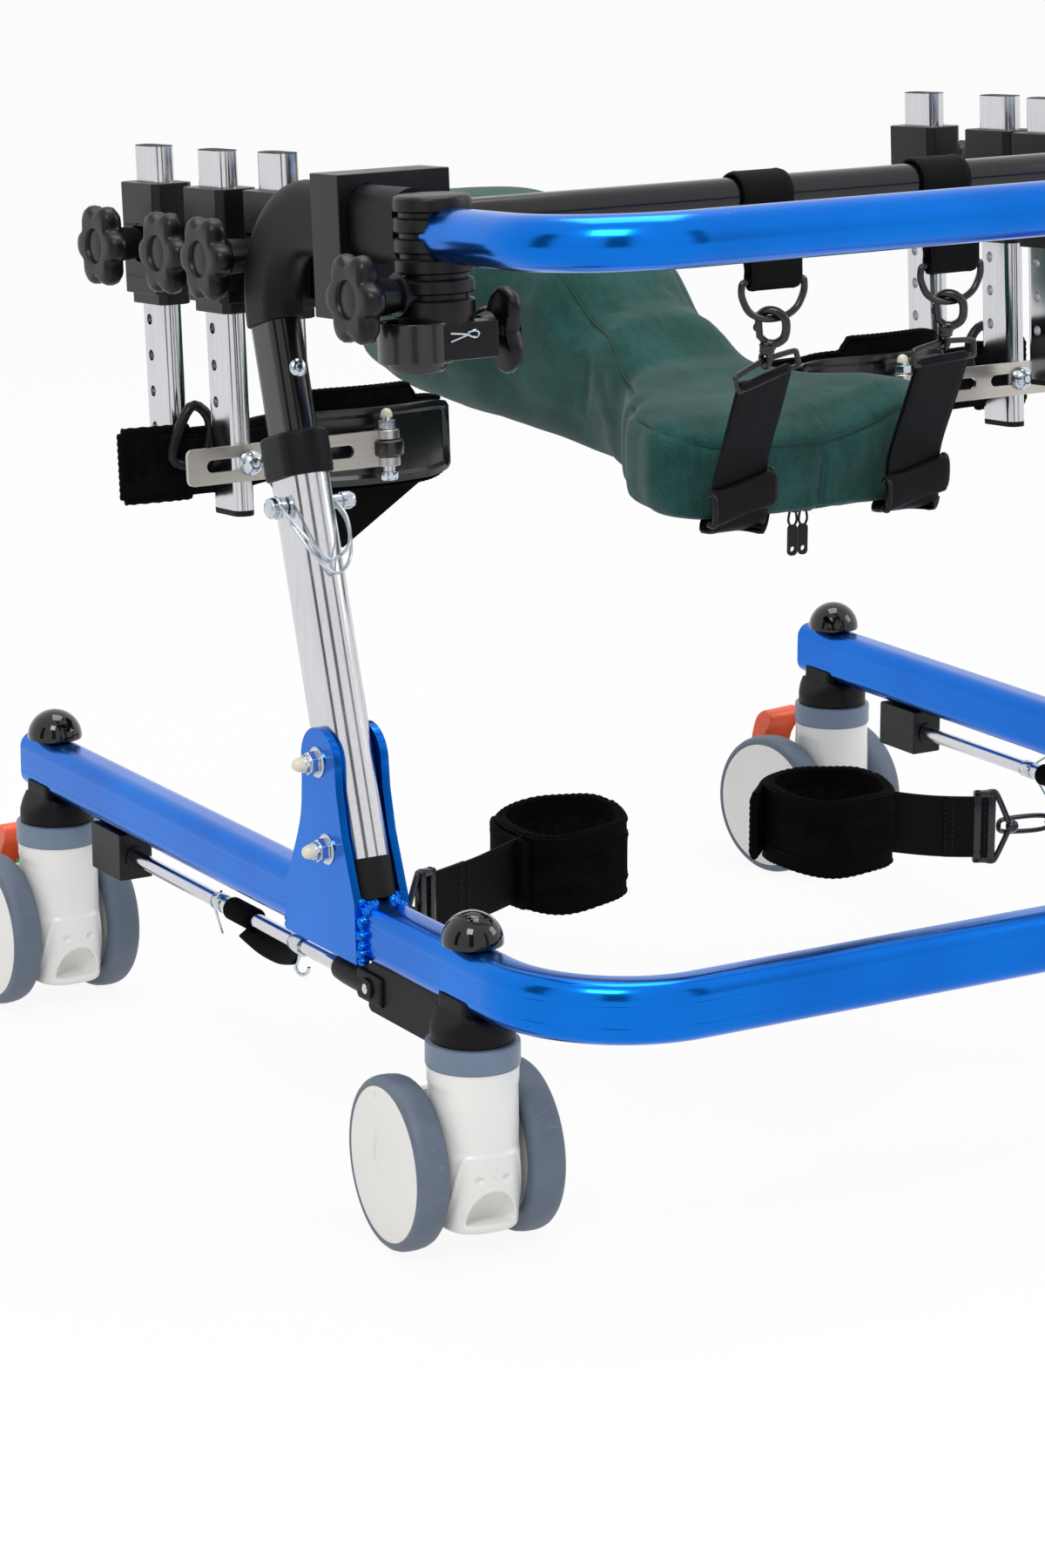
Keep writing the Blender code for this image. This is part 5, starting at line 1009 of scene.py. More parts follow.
def bent_rings(side, rows):
    """Rings from rows of (y, z, forward y, forward z, wide, thick)."""
    return [[(side * (STEM_X + b), y + a * fz, z - a * fy) for a, b in flat_oval(wide, thick, 14)]
            for y, z, fy, fz, wide, thick in rows]


for label, side in SIDES:
    first, last = on_leg(1, 0.11), on_leg(1, ELBOW + 0.004)
    inner = loft(bent_rings(side, [(p.y, p.z, LEG_UP.y, LEG_UP.z, UPPER_WIDE, UPPER_THICK)
                                   for p in (first, last)]))
    route = arc((0, PIN + 0.03), 0.0044, 0, 180, 12) + arc((0, PIN - 0.08), 0.0044, 180, 360, 12)
    inner = carve(inner, [prism([on_leg(side, a, b).yz[:] for b, a in route], 0.04,
                                side_place(side * STEM_X))])
    start = on_leg(1, ELBOW - 0.0005)
    rows = [(start.y, start.z, LEG_UP.y, LEG_UP.z, SLEEVE_WIDE - 0.003, SLEEVE_THICK - 0.003)]
    for extra, trim in ((0.0006, 0.0006), (0.0016, 0.0)):
        p = start + LEG_UP * extra
        rows.append((p.y, p.z, LEG_UP.y, LEG_UP.z, SLEEVE_WIDE - trim, SLEEVE_THICK - trim))
    sweep = math.pi / 2 + LEAN - TIP
    for i in range(2, 25):
        a = -LEAN + sweep * i / 24
        rows.append((*elbow_point(a), -math.sin(a), math.cos(a), SLEEVE_WIDE, SLEEVE_THICK))
    y, z = ELBOW_END
    reach = y - (HUB_Y + HUB_R + GAP)
    rows.append((y - reach * math.cos(TIP), z + reach * math.sin(TIP), -math.cos(TIP), math.sin(TIP),
                 SLEEVE_WIDE, SLEEVE_THICK))
    elbow = loft(bent_rings(side, rows))
    turn = aimed(on_leg(side, at_height(0.465), -UPPER_WIDE / 2 + 0.0008), -LEG_BACK)
    screw = lathe([(0, 0.003), (0.002, 0.0029), (0.0024, 0.0022), (0.004, 0.002), (0.0052, 0.0009),
                   (0.0054, 0.0), (0, 0.0)], turn, 32)
    cross = hexagon(0.0026, 0.0022, turn @ Matrix.Translation((0, 0, 0.0026)))
    make("inner_leg_skin_" + label, "upper_frame",
         [(inner, anodised), (elbow, soft_black), (screw, zinc), (cross, black_wire)], "leg_upper_" + label)
print("inner legs: 2")

# %% The lock pins and their wire bails
for label, side in SIDES:
    middle = on_leg(side, PIN)
    face = LEG_THICK / 2 + GAP
    out = across_x(side, *middle)
    shank = [(r, face + h) for r, h in
             ((0, 0.0112), (0.0046, 0.011), (0.0058, 0.01), (0.006, 0.009), (0.006, 0.0068), (0.005, 0.0062),
              (0.005, 0.0048), (0.006, 0.0042), (0.006, 0.0012), (0.0054, 0.0004), (0.004, 0.0002))]
    shank += [(r, -face - h) for r, h in
              ((0.004, 0.01), (0.005, 0.0106), (0.0052, 0.016), (0.004, 0.0186), (0, 0.0196))]
    pin = lathe(shank, out, 32)
    bails = []
    front, hooked = LEG_WIDE / 2 + 0.0045, face + 0.0055
    for shift, drop in ((0.0, 0.043), (0.003, 0.036)):
        line = [(hooked, 0.005, 0), (hooked, 0.005 + front * 0.45, drop * 0.3),
                (0.0105, front * 0.98, drop * 0.78), (shift * 0.6, front, drop),
                (-0.0105, front * 0.98, drop * 0.8), (-face - 0.0035, 0.004 + front * 0.5, drop * 0.34),
                (-face - 0.0035, 0.004, 0)]
        line = [Vector((side * a, 0, 0)) - LEG_BACK * b - LEG_UP * c for a, b, c in line]
        bails.append(tube([middle + p + Vector((0, 0, shift * 0.4)) for p in spline(line, 7)], 0.00105, 10))
    curl = tube([middle + Vector((side * hooked, 0, 0)) - LEG_BACK * a + LEG_UP * b
                 for a, b in oval(0.0058, 0.0058, 2.0, 20)], 0.00105, 8, closed=True)
    make("lock_pin_skin_" + label, "pull_pin_" + label, [([pin, curl, *bails], zinc)], "lock_pin_" + label)
print("lock pins: 2")

# %% [markdown]
# ## Hubs, knobs and the upper frame
# The hand rail ends in two ribbed hubs with star knobs. A star knob is a round
# disc whose rim is scalloped by a cosine, which gives soft lobes with hollows
# between them: six on the large knobs, three on the small ones behind the hubs.
# The upper frame is drawn level and then tipped by its own small angle.

# %% Star knobs
KNOB_NECK, LONG_NECK = 0.0165, 0.0278


def star_knob(neck, radius=0.026, long=0.014, lobes=6, deep=0.0, cut=0.23):
    """A knob along +Z whose neck starts at the origin, with a recessed cap on top."""
    rows = [(0.004, 0.0, -deep), (0.004, 0.0, 0.0)] if deep else [(0.0075, 0.0, 0.0)]
    rows += [(0.0085, 0.0, 0.0), (0.0092, 0.0, 0.0015), (0.0104, 0.0, neck * 0.8),
             (0.0125, 0.05, neck * 0.95), (radius * 0.62, 0.35, neck + 0.0005)]
    rows += [(radius * r, share, neck + long * z) for r, share, z in
             ((0.86, 0.85, 0.1), (0.97, 1.0, 0.28), (1.0, 1.0, 0.5), (0.985, 1.0, 0.74), (0.93, 0.95, 0.9),
              (0.84, 0.75, 0.985), (0.7, 0.35, 1.0), (0.44, 0.0, 1.0))]
    rows += [(radius * r, 0.0, neck + long - down) for r, down in
             ((0.41, 0.0006), (0.39, 0.0022), (0.3, 0.0016), (0.0, 0.001))]
    turns = [math.tau * k / 96 for k in range(96)]
    dips = [cut * radius * (0.5 + 0.5 * math.cos(lobes * a)) ** 1.6 for a in turns]
    return loft([[((r - share * dip) * math.cos(a), (r - share * dip) * math.sin(a), z)
                  for a, dip in zip(turns, dips)] for r, share, z in rows])


for label, side in SIDES:
    x0 = side * (STEM_X + HUB_R + 0.003 + GAP)
    skin = moved(star_knob(KNOB_NECK, deep=0.012), TIPPED @ across_x(side, x0, HUB_Y, HUB_Z))
    make("hub_knob_skin_" + label, "hub_turn_" + label, [(skin, satin)], "hub_knob_" + label)
print("hub knobs: 2")

# %% Ribbed hubs
for label, side in SIDES:
    x, y = side * STEM_X, HUB_Y
    profile = [(0, 0.577), (HUB_R - 0.004, 0.577), (HUB_R - 0.0012, 0.5762), (HUB_R, 0.5745)]
    pitch = (0.577 - 0.008 - 0.5103 - 0.004) / 5
    for i in range(5):
        z = 0.569 - i * pitch
        profile += [(HUB_R, z), (HUB_R - 0.0007, z - 0.0007), (HUB_R - 0.003, z - 0.0012),
                    (HUB_R - 0.003, z - 0.0036), (HUB_R - 0.0007, z - 0.0042), (HUB_R, z - 0.0049)]
    profile += [(HUB_R, 0.5128), (HUB_R - 0.001, 0.5116), (HUB_R - 0.001, 0.507), (0, 0.507)]
    barrel = lathe(profile, TIPPED @ Matrix.Translation((x, y, 0)), 64)
    turn = 180 if side > 0 else 0
    band = arc((0, 0), RING_R, turn + side * 12, turn + side * 348, 42)
    inside = [(p * 0.8, q * 0.8) for p, q in reversed(band)]
    ring_x = x + side * 0.013
    split = prism(band + inside, 0.022, TIPPED @ Matrix.Translation((ring_x, y, 0.499)), soft=0.001)
    foot = lathe([(0, 0.4905), (RING_R * 0.79, 0.4905), (RING_R * 0.79, 0.4872), (RING_R * 0.72, 0.484),
                  (RING_R * 0.66, 0.4828), (0, 0.4826)], TIPPED @ Matrix.Translation((ring_x, y, 0)), 64)
    wing = moved(star_knob(0.008, 0.025, 0.0105, 3, cut=0.4), across_x(-side, x - side * 0.026, y, 0.5014)
                 @ Matrix.Rotation(0.5, 4, "Z"))
    plain = [block((0.04, 0.0165, 0.02), (x - side * 0.007, y + dy, 0.499), 0.0012)
             for dy in (-0.012, 0.0105)]
    plain.append(bar((x + side * 0.012, y, HUB_Z), (x + side * (HUB_R + 0.003), y, HUB_Z), 0.0095, 40))
    plain.append(lathe([(0, 0.0016), (0.0115, 0.0016), (0.0122, 0.001), (0.0122, 0), (0, 0)],
                       across_x(side, x + side * (HUB_R + 0.0012), y, HUB_Z), 40))
    plain.append(bar((x - side * 0.02, y, 0.5014), (x - side * 0.029, y, 0.5014), 0.007))
    wires = [tube(spline([(x - side * a, y - b, c) for a, b, c in
                          ((0.007, 0.0208, 0.5035), (0.011, 0.0222, 0.5045), (0.0132, 0.0222, 0.503),
                           (0.0116, 0.0222, 0.501), (0.009, 0.0212, 0.5015))], 6, closed=True), 0.0006, 8)]
    wires += [tube([(x - side * 0.0078, y - 0.0208, 0.5026), (x + side * 0.004, y - 0.0214, z)], 0.0006, 8)
              for z in (0.504, 0.4995)]
    for skin in [wing, *plain, *wires]:
        moved(skin, TIPPED)
    make("swivel_hub_skin_" + label, "upper_frame",
         [(barrel, satin), ([split, foot], shell_black), ([wing, *plain], satin), (wires, zinc)],
         "swivel_hub_" + label)
print("hubs: 2")

# %% The hand rail and the cross bar
rail_line = level_line(STEM_X, FRONT_STEM - 0.11, HUB_Y - 0.005, 0.07, 0.5555)
rail_skin = moved(level_sweep(rail_line, oval(0.015, 0.015, 2.0, 40)), TIPPED)
make("hand_rail_skin", "upper_frame", [(rail_skin, blue)], "hand_rail")
reach, CROSS = STEM_X - SLEEVE_THICK / 2 - GAP, (FRONT_STEM + 0.092, ELBOW_END[1])
cross_skin = moved(tube([(reach * (k / 12 - 1), *CROSS) for k in range(25)], 0.011, 40), TIPPED)
cross_caps = [moved(lathe([(0, 0.0), (0.0128, 0.0), (0.0132, 0.0006), (0.0132, 0.011), (0.0122, 0.0122),
                           (0, 0.0122)],
                          across_x(-side, side * reach, *CROSS), 40), TIPPED) for side in (-1, 1)]
make("cross_bar_skin", "upper_frame", [(cross_skin, anodised), (cross_caps, satin)], "cross_bar")
print("rails: 2")

# %% [markdown]
# ## Posts and their clamps
# Six flat-oval posts hang in clamp blocks along two side bars. Each has a row
# of holes and a black plug at both ends, and a star knob holds it.

# %% The posts
POST_X = {"front": 0.28, "middle": 0.288, "rear": 0.288}
POST_Y = {"front": FRONT_STEM + 0.2663, "middle": FRONT_STEM + 0.3273, "rear": FRONT_STEM + 0.4113}
POST_LOW = {"front": 0.405, "middle": 0.3731, "rear": 0.384}
POST_WIDE, POST_THICK, GUIDE_Z = 0.035, 0.013, 0.4057
POST_TOP, HOLE_TOP, HOLE_STEP = 0.59, 0.4845, 0.022
KNOB_Z, SLEEVE_WALL = 0.532, 0.007


def post_loft(x, y, rows):
    """Flat-oval rings of a post from rows of what its section loses and a height."""
    return loft([[(x + b, y + a, z) for a, b in flat_oval(POST_WIDE - less, POST_THICK - less)]
                 for less, z in rows])


for label, side in SIDES:
    for which in ("front", "middle", "rear"):
        x, y, low = side * POST_X[which], POST_Y[which], POST_LOW[which]
        skin = post_loft(x, y, [(0, low + 0.0035), (0, POST_TOP)])
        spots, z = [], HOLE_TOP
        while z > low + 0.014:
            if which != "middle" or abs(z - GUIDE_Z) > 0.0154:
                spots.append(z)
            z -= HOLE_STEP
        skin = carve(skin, [bar((x - 0.02, y + 0.005, z), (x + 0.02, y + 0.005, z), 0.0034, 24)
                            for z in spots])
        plug = post_loft(x, y, [(0.0006, low), (0, low + 0.0008), (0, low + 0.0032), (0.001, low + 0.0036)])
        top = post_loft(x, y, [(0, POST_TOP - 0.0004), (0, POST_TOP), (0.004, POST_TOP + 0.0002)])
        parts = [(moved(s, TIPPED), f) for s, f in ((skin, bright), (plug, rubber), (top, rubber))]
        if which == "middle":
            place = TIPPED @ across_y((side * 0.2865, y - POST_WIDE / 2 - 0.0036, GUIDE_Z))
            head = lathe([(0, 0.0075), (0.0024, 0.0073), (0.003, 0.0056), (0.0034, 0.007), (0.0056, 0.0058),
                          (0.0072, 0.0036), (0.0078, 0.0012), (0.0078, 0.0), (0, 0.0)], place, 40)
            parts.append((head, zinc))
        make(f"post_skin_{which}_{label}", f"post_slide_{which}_{label}", parts, f"post_{which}_{label}")
        neck = LONG_NECK if which == "front" else KNOB_NECK
        face = side * (POST_X[which] + POST_THICK / 2 + SLEEVE_WALL + GAP)
        knob = moved(star_knob(neck, deep=SLEEVE_WALL - 0.001), TIPPED @ across_x(side, face, y, KNOB_Z))
        make(f"post_knob_skin_{which}_{label}", f"post_turn_{which}_{label}", [(knob, satin)],
             f"post_knob_{which}_{label}")
print("posts: 6")

# %% The bars and clamp blocks
for label, side in SIDES:
    skin = copy_of("post_rail_" + label)
    soften(skin, 0.0007, 2, 40)
    extras = []
    for which in ("front", "middle", "rear"):
        x, y = side * POST_X[which], POST_Y[which]
        face = x + side * (POST_THICK / 2 + SLEEVE_WALL)
        extras.append(lathe([(0, 0.0012), (0.0118, 0.0012), (0.0124, 0.0006), (0.0124, -0.001), (0, -0.001)],
                            across_x(side, face - side * 0.0012, y, KNOB_Z), 40))
        for rise in (0.010625, -0.020625):
            extras.append(block((0.0016, POST_WIDE + 0.002, 0.0022),
                                (face - side * 0.0008, y, KNOB_Z + rise), 0.0004))
    tail = POST_Y["rear"] + 0.033
    bar_x = side * (POST_X["rear"] - POST_THICK / 2 - SLEEVE_WALL - 0.009)
    end_cap = block((0.0206, 0.003, 0.0286), (bar_x, tail - 0.0012, 0.52), 0.001)
    for piece in [end_cap, *extras]:
        moved(piece, TIPPED)
    make("post_rail_skin_" + label, "upper_frame", [(skin, satin), (end_cap, soft_black), (extras, satin)],
         "post_rail_" + label)
print("side bars: 2")

# %% [markdown]
# ## Thigh guides
# Each guide is a slotted steel bar, clamped to the middle post, with its inner
# end rolled round a hinge pin. The pad on the pin is a curved plastic shell
# with a raised rim, lined with foam under black cloth. The bars are sawn from
# flat strip, so a prism with two slots is the whole of them.

# %% Slotted bars and hinge pins
PLATE_Y = POST_Y["middle"] - POST_WIDE / 2 - GAP - 0.0015
PLATE_END, PLATE_LONG = 0.328, 0.136
HINGE_X = PLATE_END - PLATE_LONG
for label, side in SIDES:
    middle = (PLATE_END + HINGE_X) / 2
    outline = [(side * (middle + a), b) for a, b in round_box(PLATE_LONG, 0.022, 0.004, 6)]
    slots = [[(side * ((far + near) / 2 + a), b) for a, b in flat_oval(far - near, 0.0075, 10)]
             for far, near in ((0.3155, 0.262), (0.25, 0.216))]
    flat = prism(outline, 0.003, TIPPED @ front_place(PLATE_Y, GUIDE_Z), slots, soft=0.0003)
    up = TIPPED @ Matrix.Translation((side * HINGE_X, PLATE_Y, GUIDE_Z))
    eyes = [lathe([(0.0043, b), (0.0072, b), (0.0075, b - 0.0003), (0.0075, a + 0.0003), (0.0072, a),
                   (0.0043, a)], up, 40) for a, b in ((0.0054, 0.011), (-0.011, -0.0054))]
    for e in eyes:
        bmesh.ops.recalc_face_normals(e, faces=e.faces)
    pin = lathe([(0, 0.0168), (0.0026, 0.0166), (0.004, 0.016), (0.004, -0.0192), (0.0034, -0.02),
                 (0, -0.02)], up, 32)
    nut = hexagon(0.0105, 0.0052, up @ Matrix.Translation((0, 0, 0.0142)))
    skirt = lathe([(0, 0.019), (0.0044, 0.0188), (0.0046, 0.0172), (0.0046, 0.015), (0, 0.015)], up, 32)
    head = lathe([(0, -0.0145), (0.0054, -0.0145), (0.0058, -0.015), (0.0058, -0.0185), (0.005, -0.0198),
                  (0.003, -0.02), (0, -0.02)], up, 32)
    cap = lathe([(0, 0.0238), (0.0014, 0.0236), (0.0028, 0.0226), (0.0036, 0.0208), (0.0037, 0.0186),
                 (0, 0.0186)], up, 32)
    make("guide_bar_" + label, "guide_" + label,
         [([flat, *eyes], brushed), ([pin, nut, skirt, head], zinc), (cap, nylon)], "slotted_plate_" + label)
print("guide bars: 2")

# %% Pad shells
ARC_R, PAD_TALL, SPREAD = 0.105, 0.047, math.radians(33.0)
FACE_Y = PLATE_Y + 0.012


def pad_point(side, a, r, z):
    """A point at angle a round the pad's arc, at radius r, in the tipped frame."""
    x = side * (HINGE_X - 0.003)
    return TIPPED @ Vector((x + r * math.sin(a), FACE_Y + ARC_R - r * math.cos(a), GUIDE_Z + z))


def end_of(share):
    """Height of the pad at a share of its length: its corners are rounded."""
    return 1.0 - 0.14 * abs(share) ** 6


for label, side in SIDES:
    rings = []
    for i in range(49):
        share = 2 * i / 48 - 1
        half = PAD_TALL / 2 * end_of(share) * (0.93 if abs(share) > 0.985 else 1.0)
        floor = 0.0 if abs(share) > 0.93 else 0.0022
        upper = [(0.0052, half), (0.0006, half), (0, half - 0.0008), (0, half - 0.004),
                 (floor, half - 0.0062), (floor, 0.006)]
        ring = [(0.0052, -half)] + upper + [(down, -z) for down, z in reversed(upper[1:])]
        rings.append([pad_point(side, SPREAD * share, ARC_R - down, z) for down, z in ring])
    back = loft(rings)
    up = TIPPED @ Matrix.Translation((side * HINGE_X, PLATE_Y, GUIDE_Z))
    knuckle = lathe([(0.0044, 0.005), (0.0086, 0.005), (0.0098, 0.004), (0.01, 0.001), (0.01, -0.001),
                     (0.0098, -0.004), (0.0086, -0.005), (0.0044, -0.005)], up, 40)
    bmesh.ops.recalc_face_normals(knuckle, faces=knuckle.faces)
    neck = moved(block((0.0112, 0.01, 0.0098), (side * HINGE_X, PLATE_Y + 0.0098, GUIDE_Z), 0.001), TIPPED)
    make("pad_shell_" + label, "pad_" + label, [([back, knuckle, neck], shell_black)])
print("pad shells: 2")

# %% [markdown]
# ### The padded lining
# The lining is soft foam in cloth. It is first lofted a little too thin, then
# remeshed in small voxels and blown up for a few frames as a cloth with air
# inside, which gives it the uneven fullness of real padding. No point may move
# further than a cap, so it stays in the space of its solid.

# %% Helper for padded pieces


def puffed(skin, name, voxel, pressure, cap, frames):
    """Blows a closed skin up as cloth, keeps each point within a cap, and subdivides it once."""
    pad = as_object(skin, name)
    grid = pad.modifiers.new("voxels", "REMESH")
    grid.mode, grid.voxel_size = "VOXEL", voxel
    mesh, even = pad.data, as_shown(pad)
    pad.modifiers.clear()
    pad.data = even
    bpy.data.meshes.remove(mesh)
    rest = np.array([v.co for v in even.vertices])
    cloth = pad.modifiers.new("air", "CLOTH")
    cloth.settings.use_pressure = True
    cloth.settings.uniform_pressure_force = pressure
    cloth.settings.quality = 5
    cloth.settings.mass = 0.3
    cloth.settings.effector_weights.gravity = 0.0
    cloth.point_cache.frame_start, cloth.point_cache.frame_end = 1, frames
    scene = bpy.context.scene
    for number in range(1, frames + 1):
        scene.frame_set(number)
    done = bpy.data.meshes.new_from_object(pad.evaluated_get(bpy.context.evaluated_depsgraph_get()))
    blown = np.array([v.co for v in done.vertices])
    bpy.data.meshes.remove(done)
    pad.modifiers.clear()
    step = blown - rest
    far = np.linalg.norm(step, axis=1, keepdims=True)
    step *= np.minimum(1.0, cap / np.maximum(far, 1e-9))
    rest = rest + np.nan_to_num(step)
    scene.frame_set(1)
    even.vertices.foreach_set("co", rest.ravel())
    smooth = pad.modifiers.new("even", "SUBSURF")
    smooth.levels = smooth.render_levels = 1
    return as_skin(as_shown(pad), pad)


def press_in(skin, lines, depth, width):
    """Draws a skin in along seam lines, as a row of stitches does."""
    spots = [Vector(p) for line in lines for p in line]
    tree = BVHTree.FromPolygons([v for p in spots
                                 for v in (p, p + Vector((1e-6, 0, 0)), p + Vector((0, 1e-6, 0)))],
                                [(3 * k, 3 * k + 1, 3 * k + 2) for k in range(len(spots))])
    skin.normal_update()
    for v in skin.verts:
        hit = tree.find_nearest(v.co, width * 3)
        if hit[0] is not None:
            v.co -= v.normal * depth * math.exp(-(hit[3] / width) ** 2)
    return skin


def onto(skin, lines, lift=0.0):
    """Drops lines onto the nearest place of a skin."""
    tree = BVHTree.FromBMesh(skin)
    hits = [[tree.find_nearest(Vector(p)) for p in line] for line in lines]
    return [[hit[0] + hit[1] * lift for hit in row] for row in hits]


# %% Linings


def flare(side, share):
    """How much higher a lining stands past its inner end."""
    return clamp((share * side + 0.55) / 0.12) * 0.009


for label, side in SIDES:
    rings = []
    for i in range(33):
        share = 2 * i / 32 - 1
        a = SPREAD * 0.985 * share
        tall = PAD_TALL * end_of(share) * (1.0 if abs(share) < 0.97 else 0.94) + 0.006
        thick = 0.004 * (1.0 - 0.35 * abs(share) ** 4)
        mid = ARC_R - 0.0052 - thick / 2
        rings.append([pad_point(side, a, mid + u, v + flare(side, share) * (0.5 + v / tall)) for u, v in
                      round_box(thick, tall, thick * 0.45, 4)])
    lining = puffed(loft(rings), "lining", 0.0022, 2.5, 0.0014, 14)
    seam_rows = [[pad_point(side, SPREAD * 0.94 * s, ARC_R - 0.0095, h * (PAD_TALL * end_of(s) / 2 - 0.0022))
                  for s in [2 * i / 40 - 1 for i in range(41)]] for h in (1, -1)]
    press_in(lining, seam_rows, 0.0006, 0.0012)
    rows = onto(lining, seam_rows, 0.0001)
    stitches = repeat(rows, 0.0032, (0.0005, 0.0005, 0.0023), thread_black, 0.08)
    edging = [tube([pad_point(side, SPREAD * 0.985 * s, ARC_R - r, h * (PAD_TALL * end_of(s) / 2 + up)
                              + (h > 0) * flare(side, s)) for s in [2 * i / 60 - 1 for i in range(61)]],
                   twisted(61, 0.0012, 0.0003), 8)
              for h in (-1, 1) for r, up in ((0.006, 0.0022), (0.0088, 0.0026))]
    cover = make("pad_lining_" + label, "pad_" + label,
                 [(lining, loop_pile), (stitches, thread_black), (edging, knit)], "thigh_pad_" + label,
                 even=False)
print("linings: 2")

# %% [markdown]
# ## Straps
# A strap is a flat section carried along a line, with its width kept across a
# given direction. Its UV map is in metres, so the weave keeps its scale and
# follows every bend. Thick selvedges and stitched ends make it read as woven.

# %% Helper for straps


def strap(path, across, wide, thick, closed=False, selvedge=0.35, ripple_by=0.0):
    """A woven or padded band; across is a direction, or one for each point."""
    path = [Vector(p) for p in path]
    along = steps_of(path, closed)
    half, thicker = wide / 2, 1.0 + selvedge * 0.5
    outline = [(-half + wide * k / 12, thick / 2 * {0: 0.55, 12: 0.55, 1: thicker, 11: thicker}.get(k, 1.0))
               for k in range(13)]
    outline += [(u, -b) for u, b in reversed(outline)]
    bm = bmesh.new()
    uv = bm.loops.layers.uv.new("UVMap")
    rows, gone = [], 0.0
    for i, (p, t) in enumerate(zip(path, along)):
        w = Vector(across[i] if hasattr(across[0], "__len__") else across)
        w = (w - t * w.dot(t)).normalized()
        n = t.cross(w)
        if i:
            gone += (p - path[i - 1]).length
        wave = ripple_by * math.sin(gone * 95.0)
        rows.append((gone, [bm.verts.new(p + w * u + n * (b + wave * math.sin(u / half * 1.6)))
                            for u, b in outline]))
    count = len(outline)
    pairs = list(zip(rows, rows[1:])) + ([(rows[-1], rows[0])] if closed else [])
    for (la, low), (lb, high) in pairs:
        lb = lb if lb > la else la + 0.003
        for i in range(count):
            j = (i + 1) % count
            face = bm.faces.new((low[i], low[j], high[j], high[i]))
            for loop, place in zip(face.loops, ((outline[i][0], la), (outline[j][0], la), (outline[j][0], lb),
                                                (outline[i][0], lb))):
                loop[uv].uv = place
    if not closed:
        for ring, gone in ((rows[0][1][::-1], rows[0][0]), (rows[-1][1], rows[-1][0])):
            face = bm.faces.new(ring)
            for loop in face.loops:
                loop[uv].uv = (0.0, gone)
    bmesh.ops.recalc_face_normals(bm, faces=bm.faces)
    return bm


def cross_rows(path, across, wide, spots, lift):
    """Lines across a strap at some of its points, on its outer side, for its sewn ends."""
    path = [Vector(p) for p in path]
    along = steps_of(path)
    made = []
    for i in spots:
        w = Vector(across[i] if hasattr(across[0], "__len__") else across).normalized()
        n = along[i].cross(w).normalized()
        made.append([path[i] + n * lift + w * (wide * (k / 8 - 0.5) * 0.9) for k in range(9)])
    return made


# %% Thigh straps
GAP_Y = (POST_Y["middle"] + POST_Y["rear"]) / 2
for label, side in SIDES:
    pad_x, seam_r = HINGE_X - 0.003, ARC_R - 0.0136
    route = [(pad_x - seam_r * math.sin(a), FACE_Y + ARC_R - seam_r * math.cos(a)) for a in (0.3, 0.42)]
    route += [(pad_x + a, FACE_Y + b) for a, b in
              ((-0.054, 0.034), (-0.063, 0.048), (-0.05, 0.074), (-0.01, 0.084), (0.04, 0.072))]
    route += [(0.266, GAP_Y), (0.288, GAP_Y), (0.31, GAP_Y), (0.338, GAP_Y + 0.004)]
    path = [TIPPED @ p for p in spline([(side * x, y, GUIDE_Z - 0.004) for x, y in route], 8)]
    up = TIPPED.to_3x3() @ Vector((0, 0, 1))
    band = strap(path, up, 0.04, 0.0052, ripple_by=0.0004)
    tape = [strap([p + up * h for p in path], up, 0.0072, 0.0066, selvedge=0.1) for h in (0.0168, -0.0168)]
    lines = [[p + up * h + t.cross(up).normalized() * away * 0.003 for p, t in zip(path, steps_of(path))]
             for h in (0.0134, -0.0134) for away in (-1, 1)]
    sewn = repeat(lines, 0.0036, (0.0005, 0.0005, 0.0024), thread_black, 0.06)
    end_tab = strap(path[-12:], up, 0.04, 0.0078, selvedge=0.2)
    rope = [tube([p + up * h for p in path[-14:]], twisted(14), 10) for h in (-0.02, 0.02)]
    rope.append(tube([path[-1] + up * (-0.02 + 0.002 * k) for k in range(21)], twisted(21), 10))
    hang_y = FRONT_STEM + 0.348
    loop = [(side * a, hang_y + 0.003, b) for a, b in
            ((0.298, 0.423), (0.311, 0.393), (0.291, 0.389), (0.285, 0.413))]
    hook = tube(spline(loop, 5, closed=True), 0.0032, 12, closed=True)
    corners = [(0.254, 0.386), (0.129, 0.37), (0.196, 0.326), (0.229, 0.34)]
    tongue = prism([(side * a, b) for a, b in corners], 0.0028, front_place(hang_y), soft=0.001)
    make("thigh_strap_skin_" + label, "pad_" + label,
         [(band, neoprene), (tape, knit), (end_tab, loop_pile), (sewn, thread_black), (rope, knit),
          (tongue, webbing), (hook, satin)], "thigh_strap_" + label, even=False)
print("thigh straps: 2")

# %% [markdown]
# ## The saddle
# The saddle is a foam cushion in green velour: a wide nose with a flat top and
# a deep front band, a narrow waist, and a raised tail. It is lofted through the
# CAD's stations, blown up as cloth so that its cover looks filled, and then
# drawn in along its seams. A sewn seam runs round the top edge, and another
# closes the front band in the middle.

